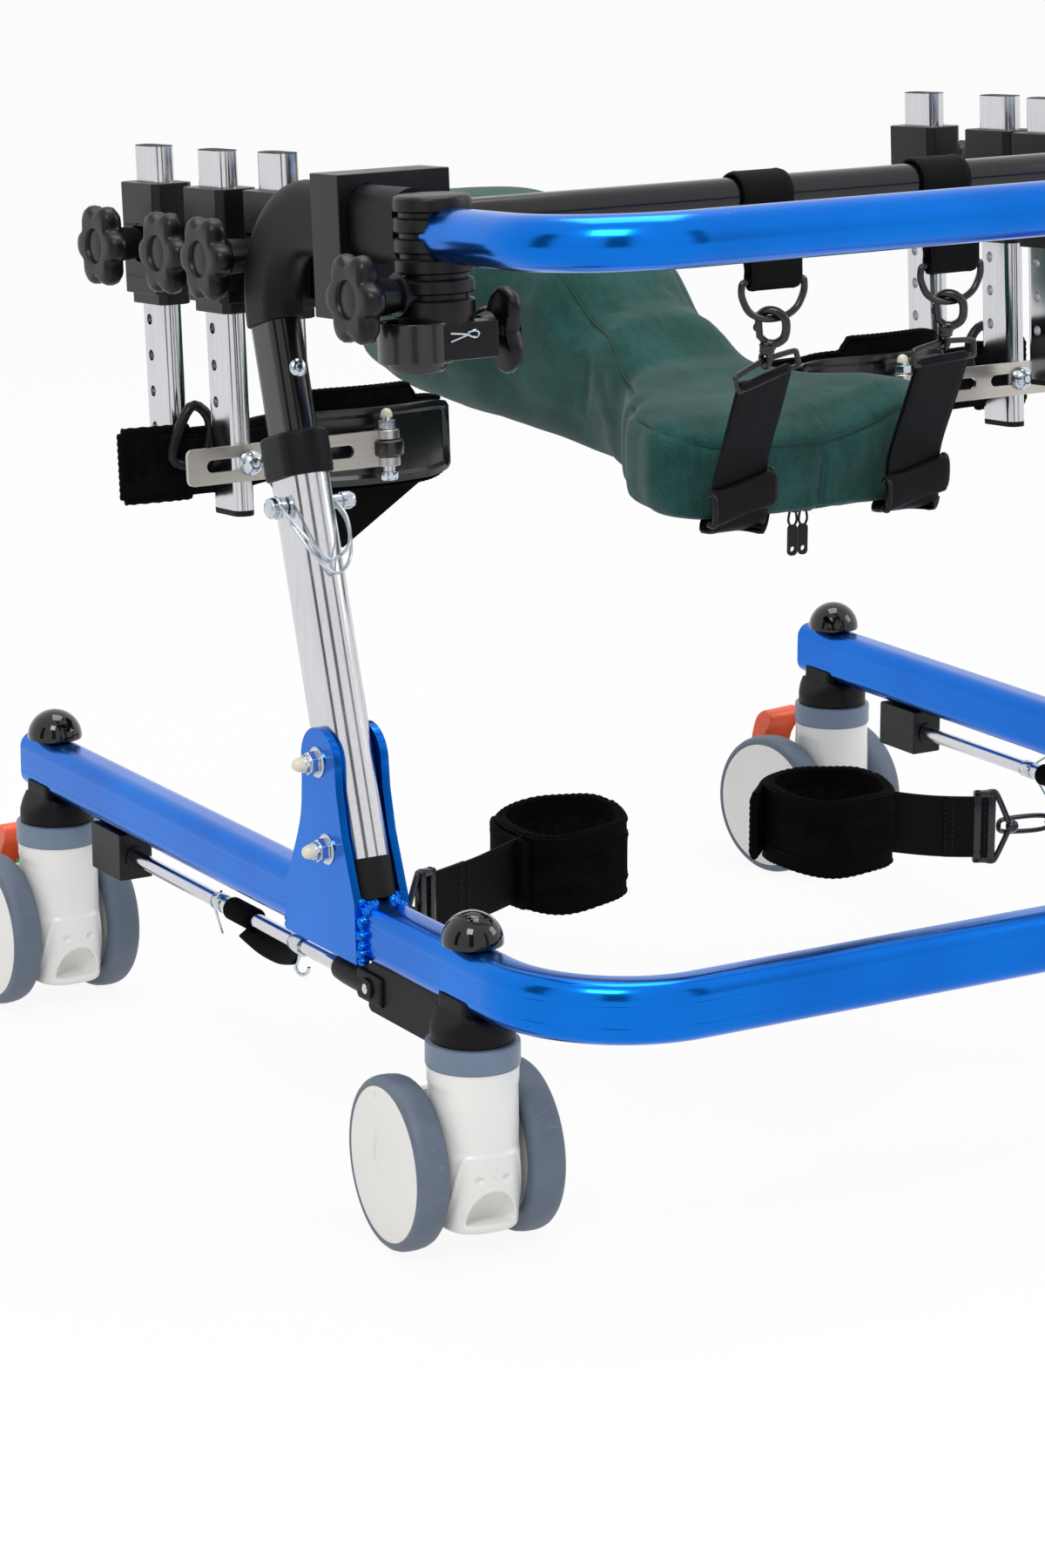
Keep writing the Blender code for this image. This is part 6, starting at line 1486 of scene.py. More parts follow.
# %% The filled cushion
SADDLE_Y, SADDLE_LONG, SADDLE_Z = FRONT_STEM + 0.114, 0.47, 0.366
STATIONS = ((0.0, 0.08, 0.01, 0.044), (0.015, 0.1, 0.003, 0.052), (0.06, 0.108, 0.0, 0.06),
            (0.13, 0.104, 0.0, 0.064), (0.2, 0.082, 0.001, 0.066), (0.29, 0.056, 0.003, 0.072),
            (0.39, 0.05, 0.005, 0.098), (0.52, 0.058, 0.009, 0.132), (0.68, 0.07, 0.013, 0.146),
            (0.84, 0.076, 0.017, 0.15), (0.95, 0.07, 0.024, 0.146), (0.99, 0.054, 0.036, 0.134),
            (1.0, 0.036, 0.05, 0.12))


def station(share):
    """Half width, underside and top of the saddle at a share of its length."""
    for a, b in zip(STATIONS, STATIONS[1:]):
        if share <= b[0]:
            t = (share - a[0]) / (b[0] - a[0])
            t = ease(t) if a[0] > 0.05 and b[0] < 0.96 else t
            return [a[k] + (b[k] - a[k]) * t for k in (1, 2, 3)]


def dip(x, share):
    """How far the nose's top rises from its middle to its wings."""
    wing = 0.0105 * min(1.3, x / 0.05) ** 1.5 if x > 0 else 0.004 * min(1.2, x / 0.08 * x / 0.08)
    return wing * math.exp(-(share / 0.15) ** 2)


def nose_bow(x, share):
    """How far the nose's front curves back to its ends."""
    return 0.014 * (x / 0.1) ** 2 * max(0.0, 1 - share / 0.1)


def saddle_ring(share, thin=0.0012):
    """The cushion's outline at a share of its length, a little thinner than its solid."""
    half, low, high = station(share)
    y = SADDLE_Y + SADDLE_LONG * share + thin * ((share == 0) - (share == 1))
    bottom, top = SADDLE_Z + low * (0.3 if share < 0.06 else 1.0) + thin, SADDLE_Z + high - thin
    middle, tall = (bottom + top) / 2, (top - bottom) / 2
    half -= thin + 0.007 * math.exp(-((share - 0.1) / 0.09) ** 2)
    ring = []
    for a, b in oval(half, tall, 6.0 - 2.2 * clamp((share - 0.16) / 0.2), 72):
        crown = 0.0015 * (1 - (a / half) ** 2) + dip(a, share) if b > 0 else 0.0
        ring.append((a, y + nose_bow(a, share), middle + b + crown * min(1.0, b / tall * 1.6)))
    return ring


shares = [0.0, 0.004, 0.01, 0.018, 0.028, 0.04] + [0.055 + 0.0225 * k for k in range(41)]
shares += [0.972, 0.984, 0.993, 1.0]
cushion = puffed(loft([saddle_ring(s) for s in shares]), "cushion", 0.004, 3.0, 0.0014, 20)
print("saddle:", len(cushion.faces), "faces")

# %% Its seams, puckers and stitches
CORNER = 0.05


def seam_height(x, share):
    return SADDLE_Z + dip(x, share) + max(0.0428, station(clamp(share))[2] - 0.009)


def side_rays(side):
    """Level rays that meet one side of the cushion along its top seam, from the tail to the nose's middle."""
    rays = []
    for k in range(64):
        share = 0.96 - (0.96 - CORNER / SADDLE_LONG) * k / 64
        height = seam_height(side * 0.1 if share < 0.3 else 0, share)
        rays.append((Vector((side * 0.2, SADDLE_Y + SADDLE_LONG * share, height)), Vector((-side, 0, 0))))
    for k in range(16):
        turn = math.pi / 2 * k / 16
        way = Vector((-side * math.cos(turn), math.sin(turn), 0))
        height = seam_height(side * (0.05 + 0.045 * math.cos(turn)),
                             CORNER * (1 - math.sin(turn)) / SADDLE_LONG)
        rays.append((Vector((side * CORNER, SADDLE_Y + CORNER, height)) - way * 0.2, way))
    for k in range(27):
        x = side * CORNER * (1 - k / 26)
        rays.append((Vector((x, SADDLE_Y - 0.1, seam_height(x, 0))), Vector((0, 1, 0))))
    return rays


def cast(skin, rays, lift=0.0):
    """Where rays meet a skin, evened a little so that the line runs true."""
    tree = BVHTree.FromBMesh(skin)
    hits = [tree.ray_cast(p, d) for p, d in rays]
    row = [h[0] + h[1] * lift for h in hits if h[0] is not None]
    for _ in range(2):
        row = [row[0]] + [(a + b * 2 + c) / 4 for a, b, c in zip(row, row[1:], row[2:])] + [row[-1]]
    return row


def seam_lines(lift=0.0):
    front = [(Vector((0.004, SADDLE_Y - 0.1, SADDLE_Z + 0.0375 - 0.0028 * k)), Vector((0, 1, 0)))
             for k in range(13)]
    return [cast(cushion, side_rays(-1) + side_rays(1)[-2::-1], lift), cast(cushion, front, lift)]


press_in(cushion, [spline(line, 3) for line in seam_lines()], 0.0015, 0.0024)
cushion.normal_update()
for v in cushion.verts:
    x, y, z = v.co
    front = math.exp(-((y - SADDLE_Y) / 0.03) ** 2)
    near = math.exp(-abs(x - 0.012) / 0.02)
    crease = front * (near * 0.0006 * noise.noise(Vector((x * 150, y * 20, z * 22)))
                      + 0.0003 * noise.noise(Vector((x * 60, y * 20, z * 14))))
    slack = 0.0006 * noise.noise(Vector((x * 22, y * 15, z * 26)))
    slack += 0.0002 * noise.noise(Vector((x * 60, y * 50, z * 60)))
    waist = 0.0004 * math.exp(-((y - SADDLE_Y - 0.13) / 0.035) ** 2) * math.sin(y * 230 + x * 40)
    v.co += v.normal * (crease + slack + waist * (1 if abs(v.normal.x) > 0.3 else 0.3))
lines = seam_lines(0.00005)
seams = [tube(spline(line, 2), 0.0005, 6) for line in lines]
stitches = repeat(seam_lines(0.0002), 0.0036, (0.0009, 0.0008, 0.0022), thread_green, 0.1)
saddle = make("saddle_cushion", "upper_frame", [(cushion, velour), ([stitches, *seams], thread_green)],
              "saddle", even=False, angle=180)
zip_line = [[(-0.036 + 0.004 * k, SADDLE_Y + 0.042, SADDLE_Z - 0.0018) for k in range(23)]]
teeth = repeat(zip_line, 0.0014, (0.0036, 0.001, 0.0007), satin, 0.0, square=True)
zip_tape = strap(zip_line[0], (0, 1, 0), 0.012, 0.0008, selvedge=0.0)
pulls = []
for x in (0.009, 0.0166):
    top = Vector((x, SADDLE_Y + 0.042, SADDLE_Z - 0.003))
    pulls.append(block((0.0072, 0.011, 0.0042), top, 0.0012))
    wire = ((-0.002, 0.0015), (-0.003, 0.008), (0, 0.012), (0.003, 0.008), (0.002, 0.0015))
    pulls.append(tube(spline([top + Vector((dx, 0, -down)) for dx, down in wire], 5), 0.0008, 8))
    pulls.append(prism(round_box(0.0066, 0.019, 0.0026), 0.0017, across_y(top + Vector((0, 0, -0.02))),
                       [arc((0, -0.0055), 0.0017, 0, 345, 23)], 0.0003))
make("saddle_zip", "upper_frame", [(zip_tape, satin_tape), ([teeth, *pulls], satin)])
print("saddle seams:", len(lines), "zip pulls: 2")

# %% [markdown]
# ## Seat straps
# Each front strap starts under the nose, turns up round its edge through a
# sewn keeper, and rises to a wire loop. A swivel snap hook joins the loop to a
# D ring, and the ring hangs in a webbing loop from the cross bar.

# %% Front straps
BAR = TIPPED @ Vector((0, *CROSS))
FOLD_Z, WIRE_Z, RING_LOW, RING_BAR = 0.46, 0.469, 0.495, 0.517


def front_strap(label, side):
    x, tilt = side * 0.062, math.radians(16.0 if side < 0 else 4.0)
    lean = -0.003 if side < 0 else 0.0
    edge = SADDLE_Y + nose_bow(0.04, 0) - 0.003
    low, top_y = SADDLE_Z - 0.0037, FRONT_STEM + 0.08
    across, level = Vector((math.cos(tilt), 0, math.sin(tilt))), Vector((1, 0, 0))

    def at(dx, y, z):
        """A point dx along the tilted strap's width at a depth and height."""
        shift = lean * clamp((z - SADDLE_Z) / 0.09)
        return Vector((x + shift, y, z)) + across * dx

    route = [at(0.021, edge + 0.026, low + 0.0024), at(0.011, edge + 0.014, low + 0.0022),
             at(0, edge + 0.003, low + 0.0024), at(0, edge - 0.005, low + 0.006),
             at(0, edge - 0.0064, low + 0.016), at(0, edge - 0.0066, SADDLE_Z + 0.034),
             at(0, edge - 0.006 + (top_y - edge) * 0.5, SADDLE_Z + 0.07), at(0, top_y, FOLD_Z)]
    path = spline(route, 7)
    ways = [level.lerp(across, clamp((k - 16) / 14)) for k in range(len(path))]
    cloth = [strap(path, ways, 0.038, 0.0026, ripple_by=0.0002),
             strap([p + Vector((0, -0.0018, 0.0002)) for p in path[-19:]], ways[-19:], 0.0374, 0.0018),
             tube([at(dx, top_y - 0.0009, FOLD_Z + 0.0003)
                   for dx in [-0.0184 + 0.0023 * k for k in range(17)]],
                  [0.0012] + [0.0027] * 15 + [0.0012], 12)]
    mid = low + (0.0235 if side < 0 else 0.02)
    sewn_way = Vector((math.cos(0.25), 0, math.sin(0.25)))
    bend = [(-0.0046, -0.0098), (-0.0104, -0.0096), (-0.0124, -0.003), (-0.0118, 0.006), (-0.009, 0.009),
            (-0.0056, 0.007)]
    line = spline([at(0, edge + a, mid + c) for a, c in bend], 6)
    cloth.append(strap(line, sewn_way, 0.0436, 0.0024, selvedge=0.1))
    rims = [tube([p + sewn_way * dx + Vector((0, -0.0003, 0)) for p in line], 0.0017, 10)
            for dx in (-0.0216, 0.0216)]
    rims.append(tube([at(0, edge - 0.0098, mid + 0.0082) + sewn_way * (-0.021 + 0.0035 * k)
                      for k in range(13)], 0.0014, 10))
    rows = cross_rows(path, ways, 0.034, (-15, -12), 0.003)
    sewn = repeat(rows, 0.003, (0.0005, 0.0005, 0.0021), thread_black, 0.05)

    wire_y = top_y - 0.001
    half = [(-0.0216, -0.0088), (-0.0218, -0.003), (-0.0204, -0.0006), (-0.006, 0.0012)]
    corners = half + [(0, 0.0014)] + [(-a, b) for a, b in reversed(half)]
    corners += [(0.02, -0.0098), (0, -0.01), (-0.02, -0.0098)]
    metal = [tube(spline([at(dx, wire_y, WIRE_Z) + Vector((-math.sin(tilt), 0, math.cos(tilt))) * up
                          for dx, up in corners], 3, closed=True), 0.0017, 12, closed=True)]
    knot = at(0, wire_y, WIRE_Z + 0.0012)
    ring_y = top_y - 0.006
    hang = Vector((x + lean * 0.6, ring_y, RING_LOW))
    rise = (hang - knot).normalized()
    metal.append(tube([knot + Vector((0, 0.0042 * math.cos(a), 0.0042 * math.sin(a) + 0.0006)) for a in
                       [math.tau * k / 24 for k in range(24)]], 0.0017, 10, closed=True))
    swivel = aimed(knot + rise * 0.0078, rise)
    metal.append(lathe([(0, 0.0034), (0.003, 0.0033), (0.0046, 0.0024), (0.005, 0.0006), (0.0044, -0.0008),
                        (0.0044, -0.003), (0.0034, -0.0038), (0, -0.0038)], swivel, 32))
    flat = Vector((0.7, -0.714, 0))
    flat = (flat - rise * flat.dot(rise)).normalized()
    start = knot + rise * 0.0104
    reach = (hang - start).length + 0.0046
    bow = [(0, 0), (0.004, 0.05), (0.0076, 0.26), (0.008, 0.56), (0.0064, 0.84), (0.0016, 1.0),
           (-0.0036, 0.97), (-0.0068, 0.8), (-0.0076, 0.66)]
    metal.append(tube(spline([start + flat * a * 1.1 + rise * (reach * b) for a, b in bow], 6), 0.0026, 12))
    metal.append(tube([start + flat * a + rise * (reach * b)
                       for a, b in ((-0.0012, 0.02), (-0.0056, 0.16), (-0.008, 0.64))], 0.0022, 12))
    metal.append(ball(start + flat * -0.0088 + rise * reach * 0.4, 0.0016, (1, 1, 1.5), 2))
    half = [(-0.02, 0.0), (-0.0216, -0.003), (-0.0212, -0.0084), (-0.0168, -0.0164), (-0.0092, -0.0208)]
    curve = half + [(0, -0.022)] + [(-a, b) for a, b in reversed(half)] + [(0.01, 0.0002), (-0.01, 0.0002)]
    metal.append(tube(spline([(hang.x + a, ring_y, RING_BAR + b) for a, b in curve], 4, closed=True), 0.0021,
                      closed=True))
    over = [(hang.x, *p) for p in arc((BAR.y, BAR.z), 0.013, -40, 220, 26)]
    fall = [(0.0048, 0.01), (0.004, 0.001), (0, -0.004), (-0.004, 0.001), (-0.004, 0.01)]
    fall = [(BAR.y - 0.002, BAR.z - 0.018)] + [(ring_y + a, RING_BAR + b) for a, b in fall]
    fall.append((ring_y - 0.003, BAR.z - 0.02))
    fall = [over[0], *[(hang.x, *p) for p in fall], over[-1]]
    webs = [strap(over, level, 0.034, 0.0026), strap(spline(fall, 6), level, 0.034, 0.0024)]
    make("seat_strap_skin_" + label, "upper_frame",
         [(cloth, satin_tape), (webs, webbing), (sewn, thread_black), (rims, satin)],
         "seat_strap_front_" + label, even=False)
    make("seat_strap_hardware_" + label, "upper_frame", [(metal, black_wire)], even=False)


for label, side in SIDES:
    front_strap(label, side)
print("front straps: 2")

# %% Rear straps
for label, side in SIDES:
    bar_x = POST_X["rear"] - POST_THICK / 2 - SLEEVE_WALL - 0.009
    end = TIPPED @ Vector((side * bar_x, POST_Y["rear"] + 0.033, 0.52)) + Vector((-side * 0.004, 0.0022, 0))
    start = Vector((side * 0.0715, SADDLE_Y + SADDLE_LONG * 0.9, SADDLE_Z + 0.1))
    along = (end - start).normalized()
    wide = Vector((0, 0, 1)).cross(along).cross(along).normalized() * -1
    sag = [start.lerp(end, k / 16) - Vector((0, 0, 0.0035 * math.sin(math.pi * k / 16))) for k in range(15)]
    band = strap(sag, wide, 0.037, 0.0022)
    patch = strap([start + along * d for d in (0.0, 0.012, 0.024, 0.036)], wide, 0.0362, 0.004)
    knot = sag[-1]
    corners = ((-0.0205, -0.004), (-0.0205, 0.006), (0.0205, 0.006), (0.0205, -0.004))
    slot_bar = tube([knot + wide * a + along * b for a, b in corners], 0.0017, 12, closed=True)
    hook = tube(spline([knot + along * 0.006, knot + along * 0.014 + Vector((0, 0, 0.003)),
                        end + Vector((0, 0, 0.006)), end + along * 0.003 + Vector((0, 0, 0.001)),
                        end - Vector((0, 0, 0.005))], 5), 0.0022, 12)
    place = Matrix.Translation(end + Vector((0, -0.0006, -0.0005))) @ Matrix.Rotation(-math.pi / 2, 4, "X")
    screw = lathe([(0, 0.0028), (0.0032, 0.0024), (0.005, 0.001), (0.0052, 0), (0, 0)], place, 32)
    lines = [row for lift in (0.0021, -0.0021) for row in cross_rows(sag, wide, 0.036, (2, 4, 12), lift)]
    sewn = repeat(lines, 0.003, (0.0005, 0.0005, 0.0021), thread_black, 0.05)
    make("rear_strap_skin_" + label, "upper_frame",
         [([band, patch], webbing), ([slot_bar, hook], black_wire), (screw, zinc), (sewn, thread_black)],
         "seat_strap_rear_" + label, even=False)
print("rear straps: 2")

# %% [markdown]
# ## Ankle cuffs and guide rods
# A cuff is a padded band round the ankle, closed by a hook-and-loop strap. Its
# webbing ends in a buckle, and a cord and a sliding clip tie it to the rod
# under the rail, so the foot can travel to and fro.

# %% Cuffs
# A cuff's middle and its webbing's end, outwards and behind the front stems, and its clip's place.
CUFFS = {"left": ((0.108, 0.232), (0.235, 0.186), 0.2), "right": ((0.076, 0.208), (0.168, 0.158), 0.172)}
CUFF_LOW, CUFF_TALL, HALF_X, HALF_Y, WALL, ROD_Z = 0.115, 0.052, 0.037, 0.044, 0.007, 0.126
for label, side in SIDES:
    (cx, cy), (wx, wy), ky = CUFFS[label]
    x, y = side * cx, FRONT_STEM + cy
    up, mid_z = Vector((0, 0, 1)), CUFF_LOW + CUFF_TALL / 2 + 0.004
    centre = [(x + a, y + b) for a, b in oval(HALF_X - WALL / 2, HALF_Y - WALL / 2, 2.3, 96)]
    lean = 0.11 if side < 0 else 0.04
    away = Vector((side * (wx - cx), wy - cy, 0)).normalized()
    turn = math.atan2(away.y, away.x)

    def level(a, k, h=0.0):
        """Height on the slightly tilted, slightly uneven cuff."""
        return mid_z + lean * (a - x) + h * (1 + 0.02 * math.sin(k * 0.21)) + 0.0007 * math.sin(k * 0.27 + 1)

    def around(more, h):
        """A line round the cuff, outside its middle and at a height."""
        return [Vector((a, b, level(a, k, h))) + w * (more + 0.0005 * math.sin(k * 0.4))
                for k, ((a, b), w) in enumerate(zip(centre, ways))]

    ways = [Vector((a - x, b - y, 0)).normalized() for a, b in centre]
    sections = [[p + w * u + up * v for u, v in round_box(WALL - 0.003, CUFF_TALL - 0.0095, 0.0018, 4)]
                for p, w in zip(around(0, 0), ways)]
    band = loft(sections, closed=True)
    ropes = [strap(around(0.0002, h), up, 0.0115, WALL - 0.0012, closed=True, selvedge=0.5)
             for h in (0.0182, -0.0182)]
    ropes += [tube(around(more, h), twisted(96, 0.0014), 8, closed=True) for h, more in
              ((0.0233, 0.001), (0.0233, -0.0016), (-0.0233, 0.001), (0.0132, 0.0026), (-0.0132, 0.0026))]
    belt = strap(around(WALL / 2 - 0.0006, 0), up, 0.025, 0.0016, closed=True)
    first, last = (turn - 1.15, turn + 0.1) if side < 0 else (turn + 2.2, turn + 3.35)
    steps = [first + (last - first) * k / 24 for k in range(25)]
    curl = 0.0192 if side < 0 else 0.0384
    peel = [0.003 + curl * max(0.0, k / 24 - 0.55) ** 2 for k in range(25)]
    flap_line = [Vector((x + (HALF_X + r) * math.cos(a), y + (HALF_Y + r) * math.sin(a),
                         level(x + HALF_X * math.cos(a), 0))) for a, r in zip(steps, peel)]
    flap = strap(flap_line, up, 0.04, 0.004, selvedge=0.3)
    rim = [flap_line[-1] + up * (-0.02 + 0.002 * k) for k in range(21)]
    ropes.append(tube(rim, [0.0022] + twisted(19) + [0.0022], 10))
    ropes += [tube([p + up * h for p in flap_line], twisted(25, 0.0021, 0.0004), 8) for h in (-0.02, 0.02)]
    start = Vector((x, y, mid_z)) + away * (HALF_X - WALL * 0.5)
    end = Vector((side * wx, FRONT_STEM + wy, ROD_Z + 0.014))
    line = [start.lerp(end, k / 14) - up * 0.0018 * math.sin(math.pi * k / 14) for k in range(15)]
    web = strap(line, up, CUFF_TALL * 0.76, 0.0026, ripple_by=0.0003)
    fold = strap([p + away.cross(up) * 0.0018 for p in line[8:]], up, CUFF_TALL * 0.75, 0.0018)
    lines = [row for lift in (0.0026, -0.0022) for row in cross_rows(line, up, 0.037, (8, 9, 13), lift)]
    lines += [around(WALL / 2 - 0.0002, h) for h in (0.0108, -0.0108)]
    sewn = repeat(lines, 0.0034, (0.0005, 0.0005, 0.0023), thread_black, 0.06)
    cuff = make("ankle_cuff_skin_" + label, "cuff_" + label,
                [(band, neoprene), ([belt, flap], loop_pile), ([web, fold], webbing), (sewn, thread_black),
                 (ropes, knit)], "ankle_cuff_" + label, even=False)
    half = [(-0.0215, -0.006), (-0.0228, 0.0), (-0.02, 0.003), (-0.004, 0.01)]
    corners = half + [(0, 0.0112)] + [(-a, b) for a, b in reversed(half)]
    corners = [end + up * a + away * b for a, b in corners]
    buckle = [tube(spline(corners, 3), 0.0019), ball(end + away * 0.0128, 0.0042)]
    turned = Matrix.Translation(end - away * 0.0052) @ Matrix.Rotation(turn, 4, "Z")
    buckle += [moved(block((0.0052, 0.006, 0.047), (a, 0, 0), 0.0012), turned) for a in (-0.0045, 0.0045)]
    buckle += [moved(block((0.014, 0.006, 0.004), (0, 0, h), 0.0012), turned) for h in (-0.0215, 0.0215)]
    inner = Vector((side * (STEM_X - 0.0065), FRONT_STEM + ky, ROD_Z))
    span = inner - end
    eye_at = end + span.normalized() * 0.01
    trigger = tube(spline([end + away * 0.004, eye_at + up * 0.004, eye_at + span * 0.24 + up * 0.0046,
                           eye_at + span * 0.34, eye_at + span * 0.24 - up * 0.0046, eye_at - up * 0.004,
                           end + away * 0.004], 6), 0.0016, 10)
    coil = tube([eye_at + span * 0.3 + span * 0.46 * k / 60 + up * 0.0026 * math.cos(k * 1.05)
                 + away.cross(up) * 0.0026 * math.sin(k * 1.05) for k in range(61)], 0.0008, 6)
    cord = tube([(eye_at + span * 0.28).lerp(inner, k / 10) - up * 0.0026 * math.sin(math.pi * k / 10)
                 for k in range(11)], 0.0017, 10)
    slide = Vector((side * STEM_X, FRONT_STEM + ky, ROD_Z))
    grip = lathe([(0.0052, 0.0062), (0.006, 0.0062), (0.0064, 0.0056), (0.0064, -0.0056), (0.006, -0.0062),
                  (0.0052, -0.0062)], across_y(slide), 40)
    crook = [(0, 0, -0.006), (0.001, 0.002, -0.01), (0.002, 0.003, -0.015), (0, 0.001, -0.019),
             (-0.0026, -0.002, -0.018), (-0.0034, -0.0034, -0.014)]
    hook = tube(spline([slide + Vector((side * a, b, c)) for a, b, c in crook], 6), 0.0011, 10)
    make("ankle_link_" + label, "cuff_" + label,
         [([*buckle, trigger, coil], black_wire), (cord, webbing), ([grip, hook], zinc)], even=False)
print("cuffs: 2")

# %% Guide rods, forks and blocks
FORK_Y, BLOCK_Y = FRONT_STEM + 0.104, FRONT_STEM + 0.419
for label, side in SIDES:
    x = side * STEM_X
    y0, y1 = FRONT_STEM + 0.098, BLOCK_Y + 0.0243
    rod = tube([(x, y0 + (y1 - y0) * k / 16, ROD_Z) for k in range(17)], 0.0048, 32)
    top = RAIL_Z - TUBE_TALL / 2 - GAP
    outline = [(0.0243, top), (0.0243, 0.1255), (0.03, 0.125), (0.0315, 0.1122), (0.0325, 0.111),
               (0.105, 0.1115), (0.108, 0.1135), (0.108, top - 0.004), (0.104, top)]
    arm = prism([(FRONT_STEM + a, b) for a, b in outline], 0.012, side_place(x), soft=0.0014)
    fork = [block((0.017, 0.03, 0.019), (x, FORK_Y, ROD_Z + 0.0002), 0.003)]
    fork.append(tube([(x, FRONT_STEM + a, ROD_Z) for a in (0.104, 0.118, 0.14, 0.1485, 0.15)],
                     [0.009, 0.009, 0.0086, 0.008, 0.007], 32))
    for face in (-1, 1):
        fork.append(lathe([(0, 0.0016), (0.0058, 0.0016), (0.0064, 0.0008), (0.0064, -0.002), (0, -0.002)],
                          across_x(face, x + face * 0.0086, FORK_Y, ROD_Z), 32))
    screws = [lathe([(0, 0.0012), (0.002, 0.0011), (0.003, 0.0004), (0.003, -0.001), (0, -0.001)],
                    across_x(face, x + face * 0.0102, FORK_Y, ROD_Z), 24) for face in (-1, 1)]
    make("guide_rod_skin_" + label, "base", [(rod, bright), ([arm, *fork], soft_black), (screws, zinc)],
         "guide_rod_" + label)
    low = ROD_Z - 0.0145
    holder = block((0.023, 0.041, top - low), (x, BLOCK_Y + 0.0205, (top + low) / 2), 0.0011)
    mouth = lathe([(0.0052, 0.0), (0.0066, 0.0), (0.0072, 0.0005), (0.0072, 0.0012), (0.0052, 0.0012)],
                  across_y((x, BLOCK_Y, ROD_Z)), 32)
    make("rod_block_skin_" + label, "base", [([holder, mouth], satin)], "rod_block_" + label)
    at = Vector((x, FRONT_STEM + 0.301, ROD_Z))
    clips = [lathe([(0.0049, 0.005), (0.0056, 0.005), (0.0058, 0.0047), (0.0058, -0.0047), (0.0056, -0.005),
                    (0.0049, -0.005)], across_y(at), 32)]
    for height, rear, rise in ((0.002, -0.012, 0.0085), (-0.003, -0.013, -0.013)):
        root = at + Vector((side * 0.004, 0.002, height))
        clips.append(tube([root, root + Vector((side * 0.0016, rear, rise))], 0.0008, 8))
    wrap = lathe([(0.0049, 0.015), (0.0068, 0.015), (0.0072, 0.0142), (0.0072, -0.0142), (0.0068, -0.015),
                  (0.0049, -0.015)], across_y((x, FRONT_STEM + 0.272, ROD_Z)), 32)
    tail = ((0.002, 0.264, 0.0068), (0, 0.244, 0.012), (-0.001, 0.222, 0.0125), (0, 0.202, 0.0078))
    tail = spline([(x + side * a, FRONT_STEM + b, ROD_Z - c) for a, b, c in tail], 5)
    make("rod_clips_" + label, "base",
         [(clips, zinc), (wrap, loop_pile), (strap(tail, (1, 0, 0.8), 0.014, 0.0018), webbing)], even=False)
print("guide rods: 2")

# %% [markdown]
# ## Floor, light and camera
# A pale floor, three large soft lamps and a white surround give the even light
# of a product photograph. The floor shows its white to the camera and to
# anything glossy, and still takes the walker's shadow.

# %% The studio


def seen_rays(tree):
    """1 for what the camera sees straight, in a reflection or through glass."""
    seen = node(tree, "ShaderNodeLightPath").outputs
    return maths(tree, "MAXIMUM", maths(tree, "MAXIMUM", seen["Is Camera Ray"], seen["Is Glossy Ray"]),
                 seen["Is Transmission Ray"])


def studio_floor():
    bm = bmesh.new()
    bmesh.ops.create_grid(bm, x_segments=1, y_segments=1, size=30.0)
    floor = as_object(bm, "studio_floor")
    look = bpy.data.materials.new("studio_floor")
    look.use_nodes = True
    tree = look.node_tree
    shader = tree.nodes["Principled BSDF"]
    shader.inputs["Roughness"].default_value = 0.9
    shader.inputs["Specular IOR Level"].default_value = 0.0
    place = node(tree, "ShaderNodeTexCoord").outputs["Object"]
    paper = colours(tree, cloud(tree, place, 3.0), (0.86, 0.86, 0.86, 1), (0.88, 0.88, 0.88, 1))
    tree.links.new(paper, shader.inputs["Base Color"])
    white = node(tree, "ShaderNodeEmission", {"Color": (1, 1, 1, 1), "Strength": 1.0}).outputs[0]
    both = node(tree, "ShaderNodeMixShader", {0: product(tree, seen_rays(tree), 0.92), 1: shader.outputs[0],
                                              2: white}).outputs[0]
    tree.links.new(both, tree.nodes["Material Output"].inputs["Surface"])
    floor.data.materials.append(look)


def studio_world():
    world = bpy.data.worlds.new("studio")
    bpy.context.scene.world = world
    world.use_nodes = True
    tree = world.node_tree
    back = tree.nodes["Background"]
    power = node(tree, "ShaderNodeMapRange", {"Value": seen_rays(tree), "To Min": 0.6,
                                              "To Max": 1.0}).outputs[0]
    back.inputs["Color"].default_value = (1, 1, 1, 1)
    tree.links.new(power, back.inputs["Strength"])


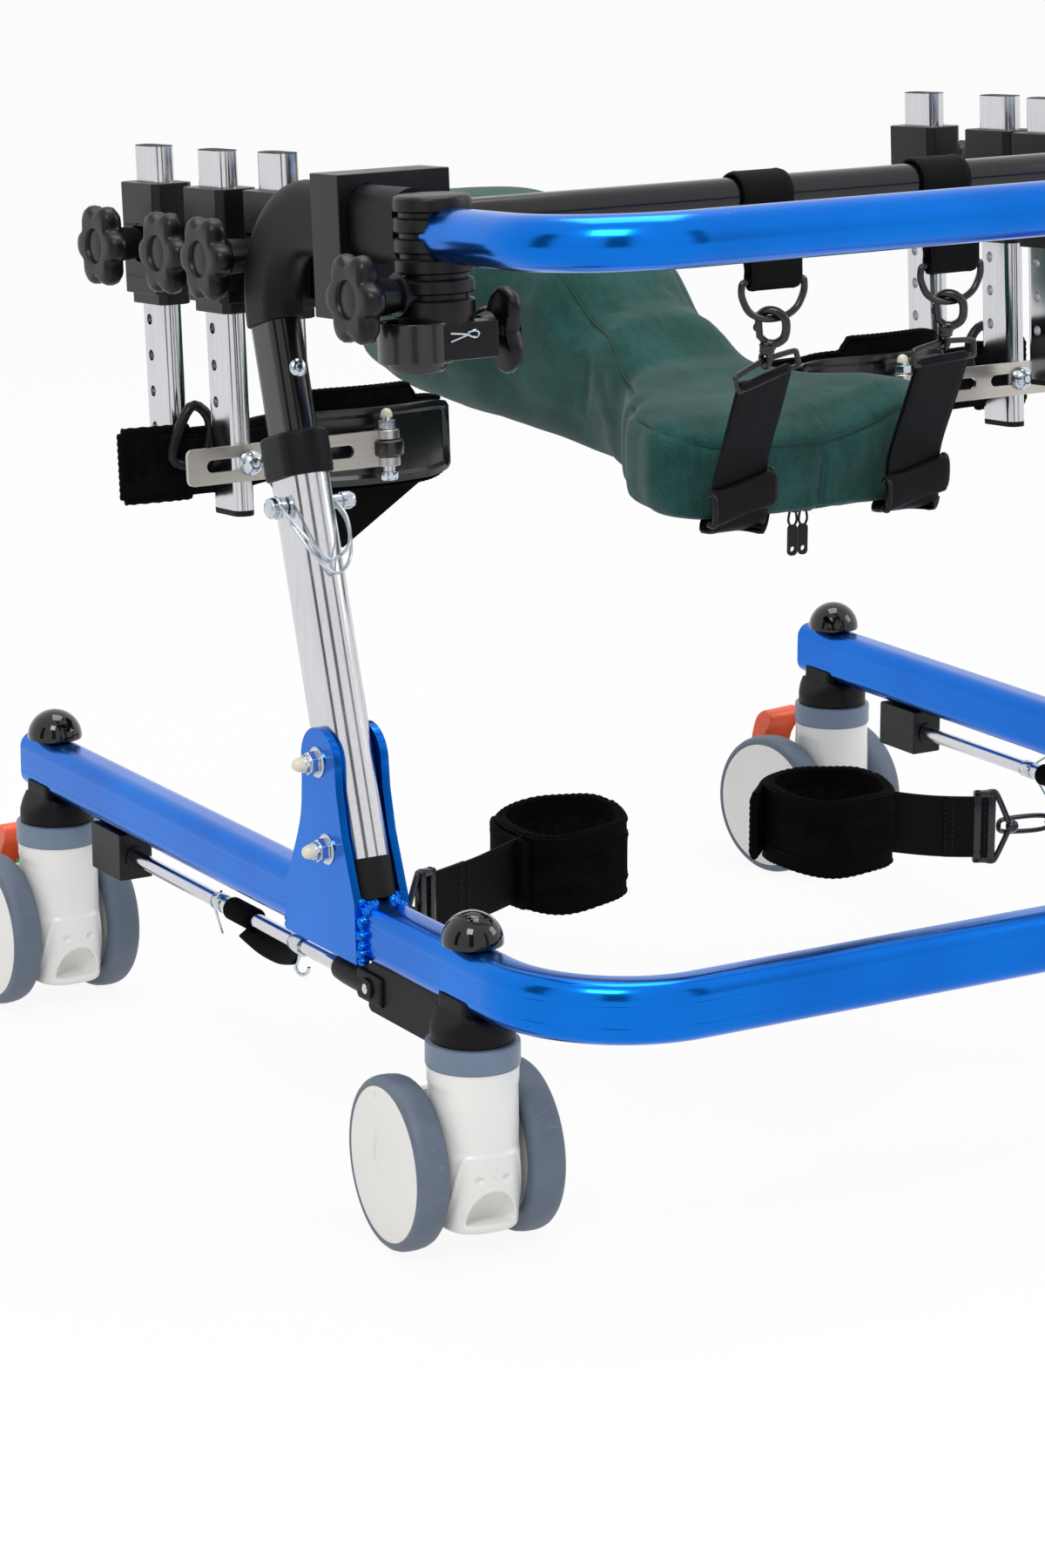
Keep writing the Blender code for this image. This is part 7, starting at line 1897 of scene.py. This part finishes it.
def lamp(name, place, target, size, watts):
    light = bpy.data.lights.new(name, "AREA")
    light.shape, light.size, light.size_y, light.energy = "RECTANGLE", size[0], size[1], watts
    made = placed(name, light)
    made.location = place
    made.rotation_euler = (Vector(target) - Vector(place)).to_track_quat("-Z", "Y").to_euler()


def black_panel(name, place, size, tone):
    """A dark card that only polished things see, as a photographer sets them for crisp edges."""
    mesh = bpy.data.meshes.new(name)
    wide, tall = size[0] / 2, size[1] / 2
    mesh.from_pydata([(-wide, 0, -tall), (wide, 0, -tall), (wide, 0, tall), (-wide, 0, tall)], [],
                     [(0, 1, 2, 3)])
    panel = placed(name, mesh)
    panel.location = place
    panel.rotation_euler = (0, 0, math.atan2(place[1], place[0]) - math.pi / 2)
    look = bpy.data.materials.new(name)
    look.use_nodes = True
    tree = look.node_tree
    glow = node(tree, "ShaderNodeEmission", {"Color": (tone, tone, tone, 1), "Strength": 1.0}).outputs[0]
    tree.links.new(glow, tree.nodes["Material Output"].inputs["Surface"])
    mesh.materials.append(look)
    panel.visible_camera = panel.visible_diffuse = panel.visible_shadow = panel.visible_transmission = False


studio_floor()
studio_world()
lamp("key_light", (-1.6, -1.6, 2.6), (0, 0, 0.25), (1.1, 1.1), 34)
lamp("fill_light", (2.4, -1.2, 1.6), (0, 0, 0.3), (1.2, 1.2), 16)
lamp("top_light", (0.2, 0.4, 2.8), (0, 0, 0.2), (1.4, 1.4), 26)
for number, (turn, wide, tone) in enumerate(((-126, 1.0, 0.16), (-70, 0.7, 0.22), (-178, 0.9, 0.12))):
    at = math.radians(turn)
    black_panel("panel_%d" % number, (3.6 * math.cos(at), 3.6 * math.sin(at), 1.5), (wide, 3.0), tone)

# %% The camera
camera = placed("camera", bpy.data.cameras.new("camera"))
camera.data.sensor_width = 36.0
camera.data.lens = 101.97
camera.location = (-1.4923, -2.2706, 0.8935)
camera.rotation_euler = (math.radians(90.0 - 14.94), 0.0, math.radians(-31.1))
camera.data.clip_start, camera.data.clip_end = 0.1, 100.0
bpy.context.scene.camera = camera
bpy.context.scene.view_settings.view_transform = "Standard"
print("camera at", tuple(round(c, 3) for c in camera.location))
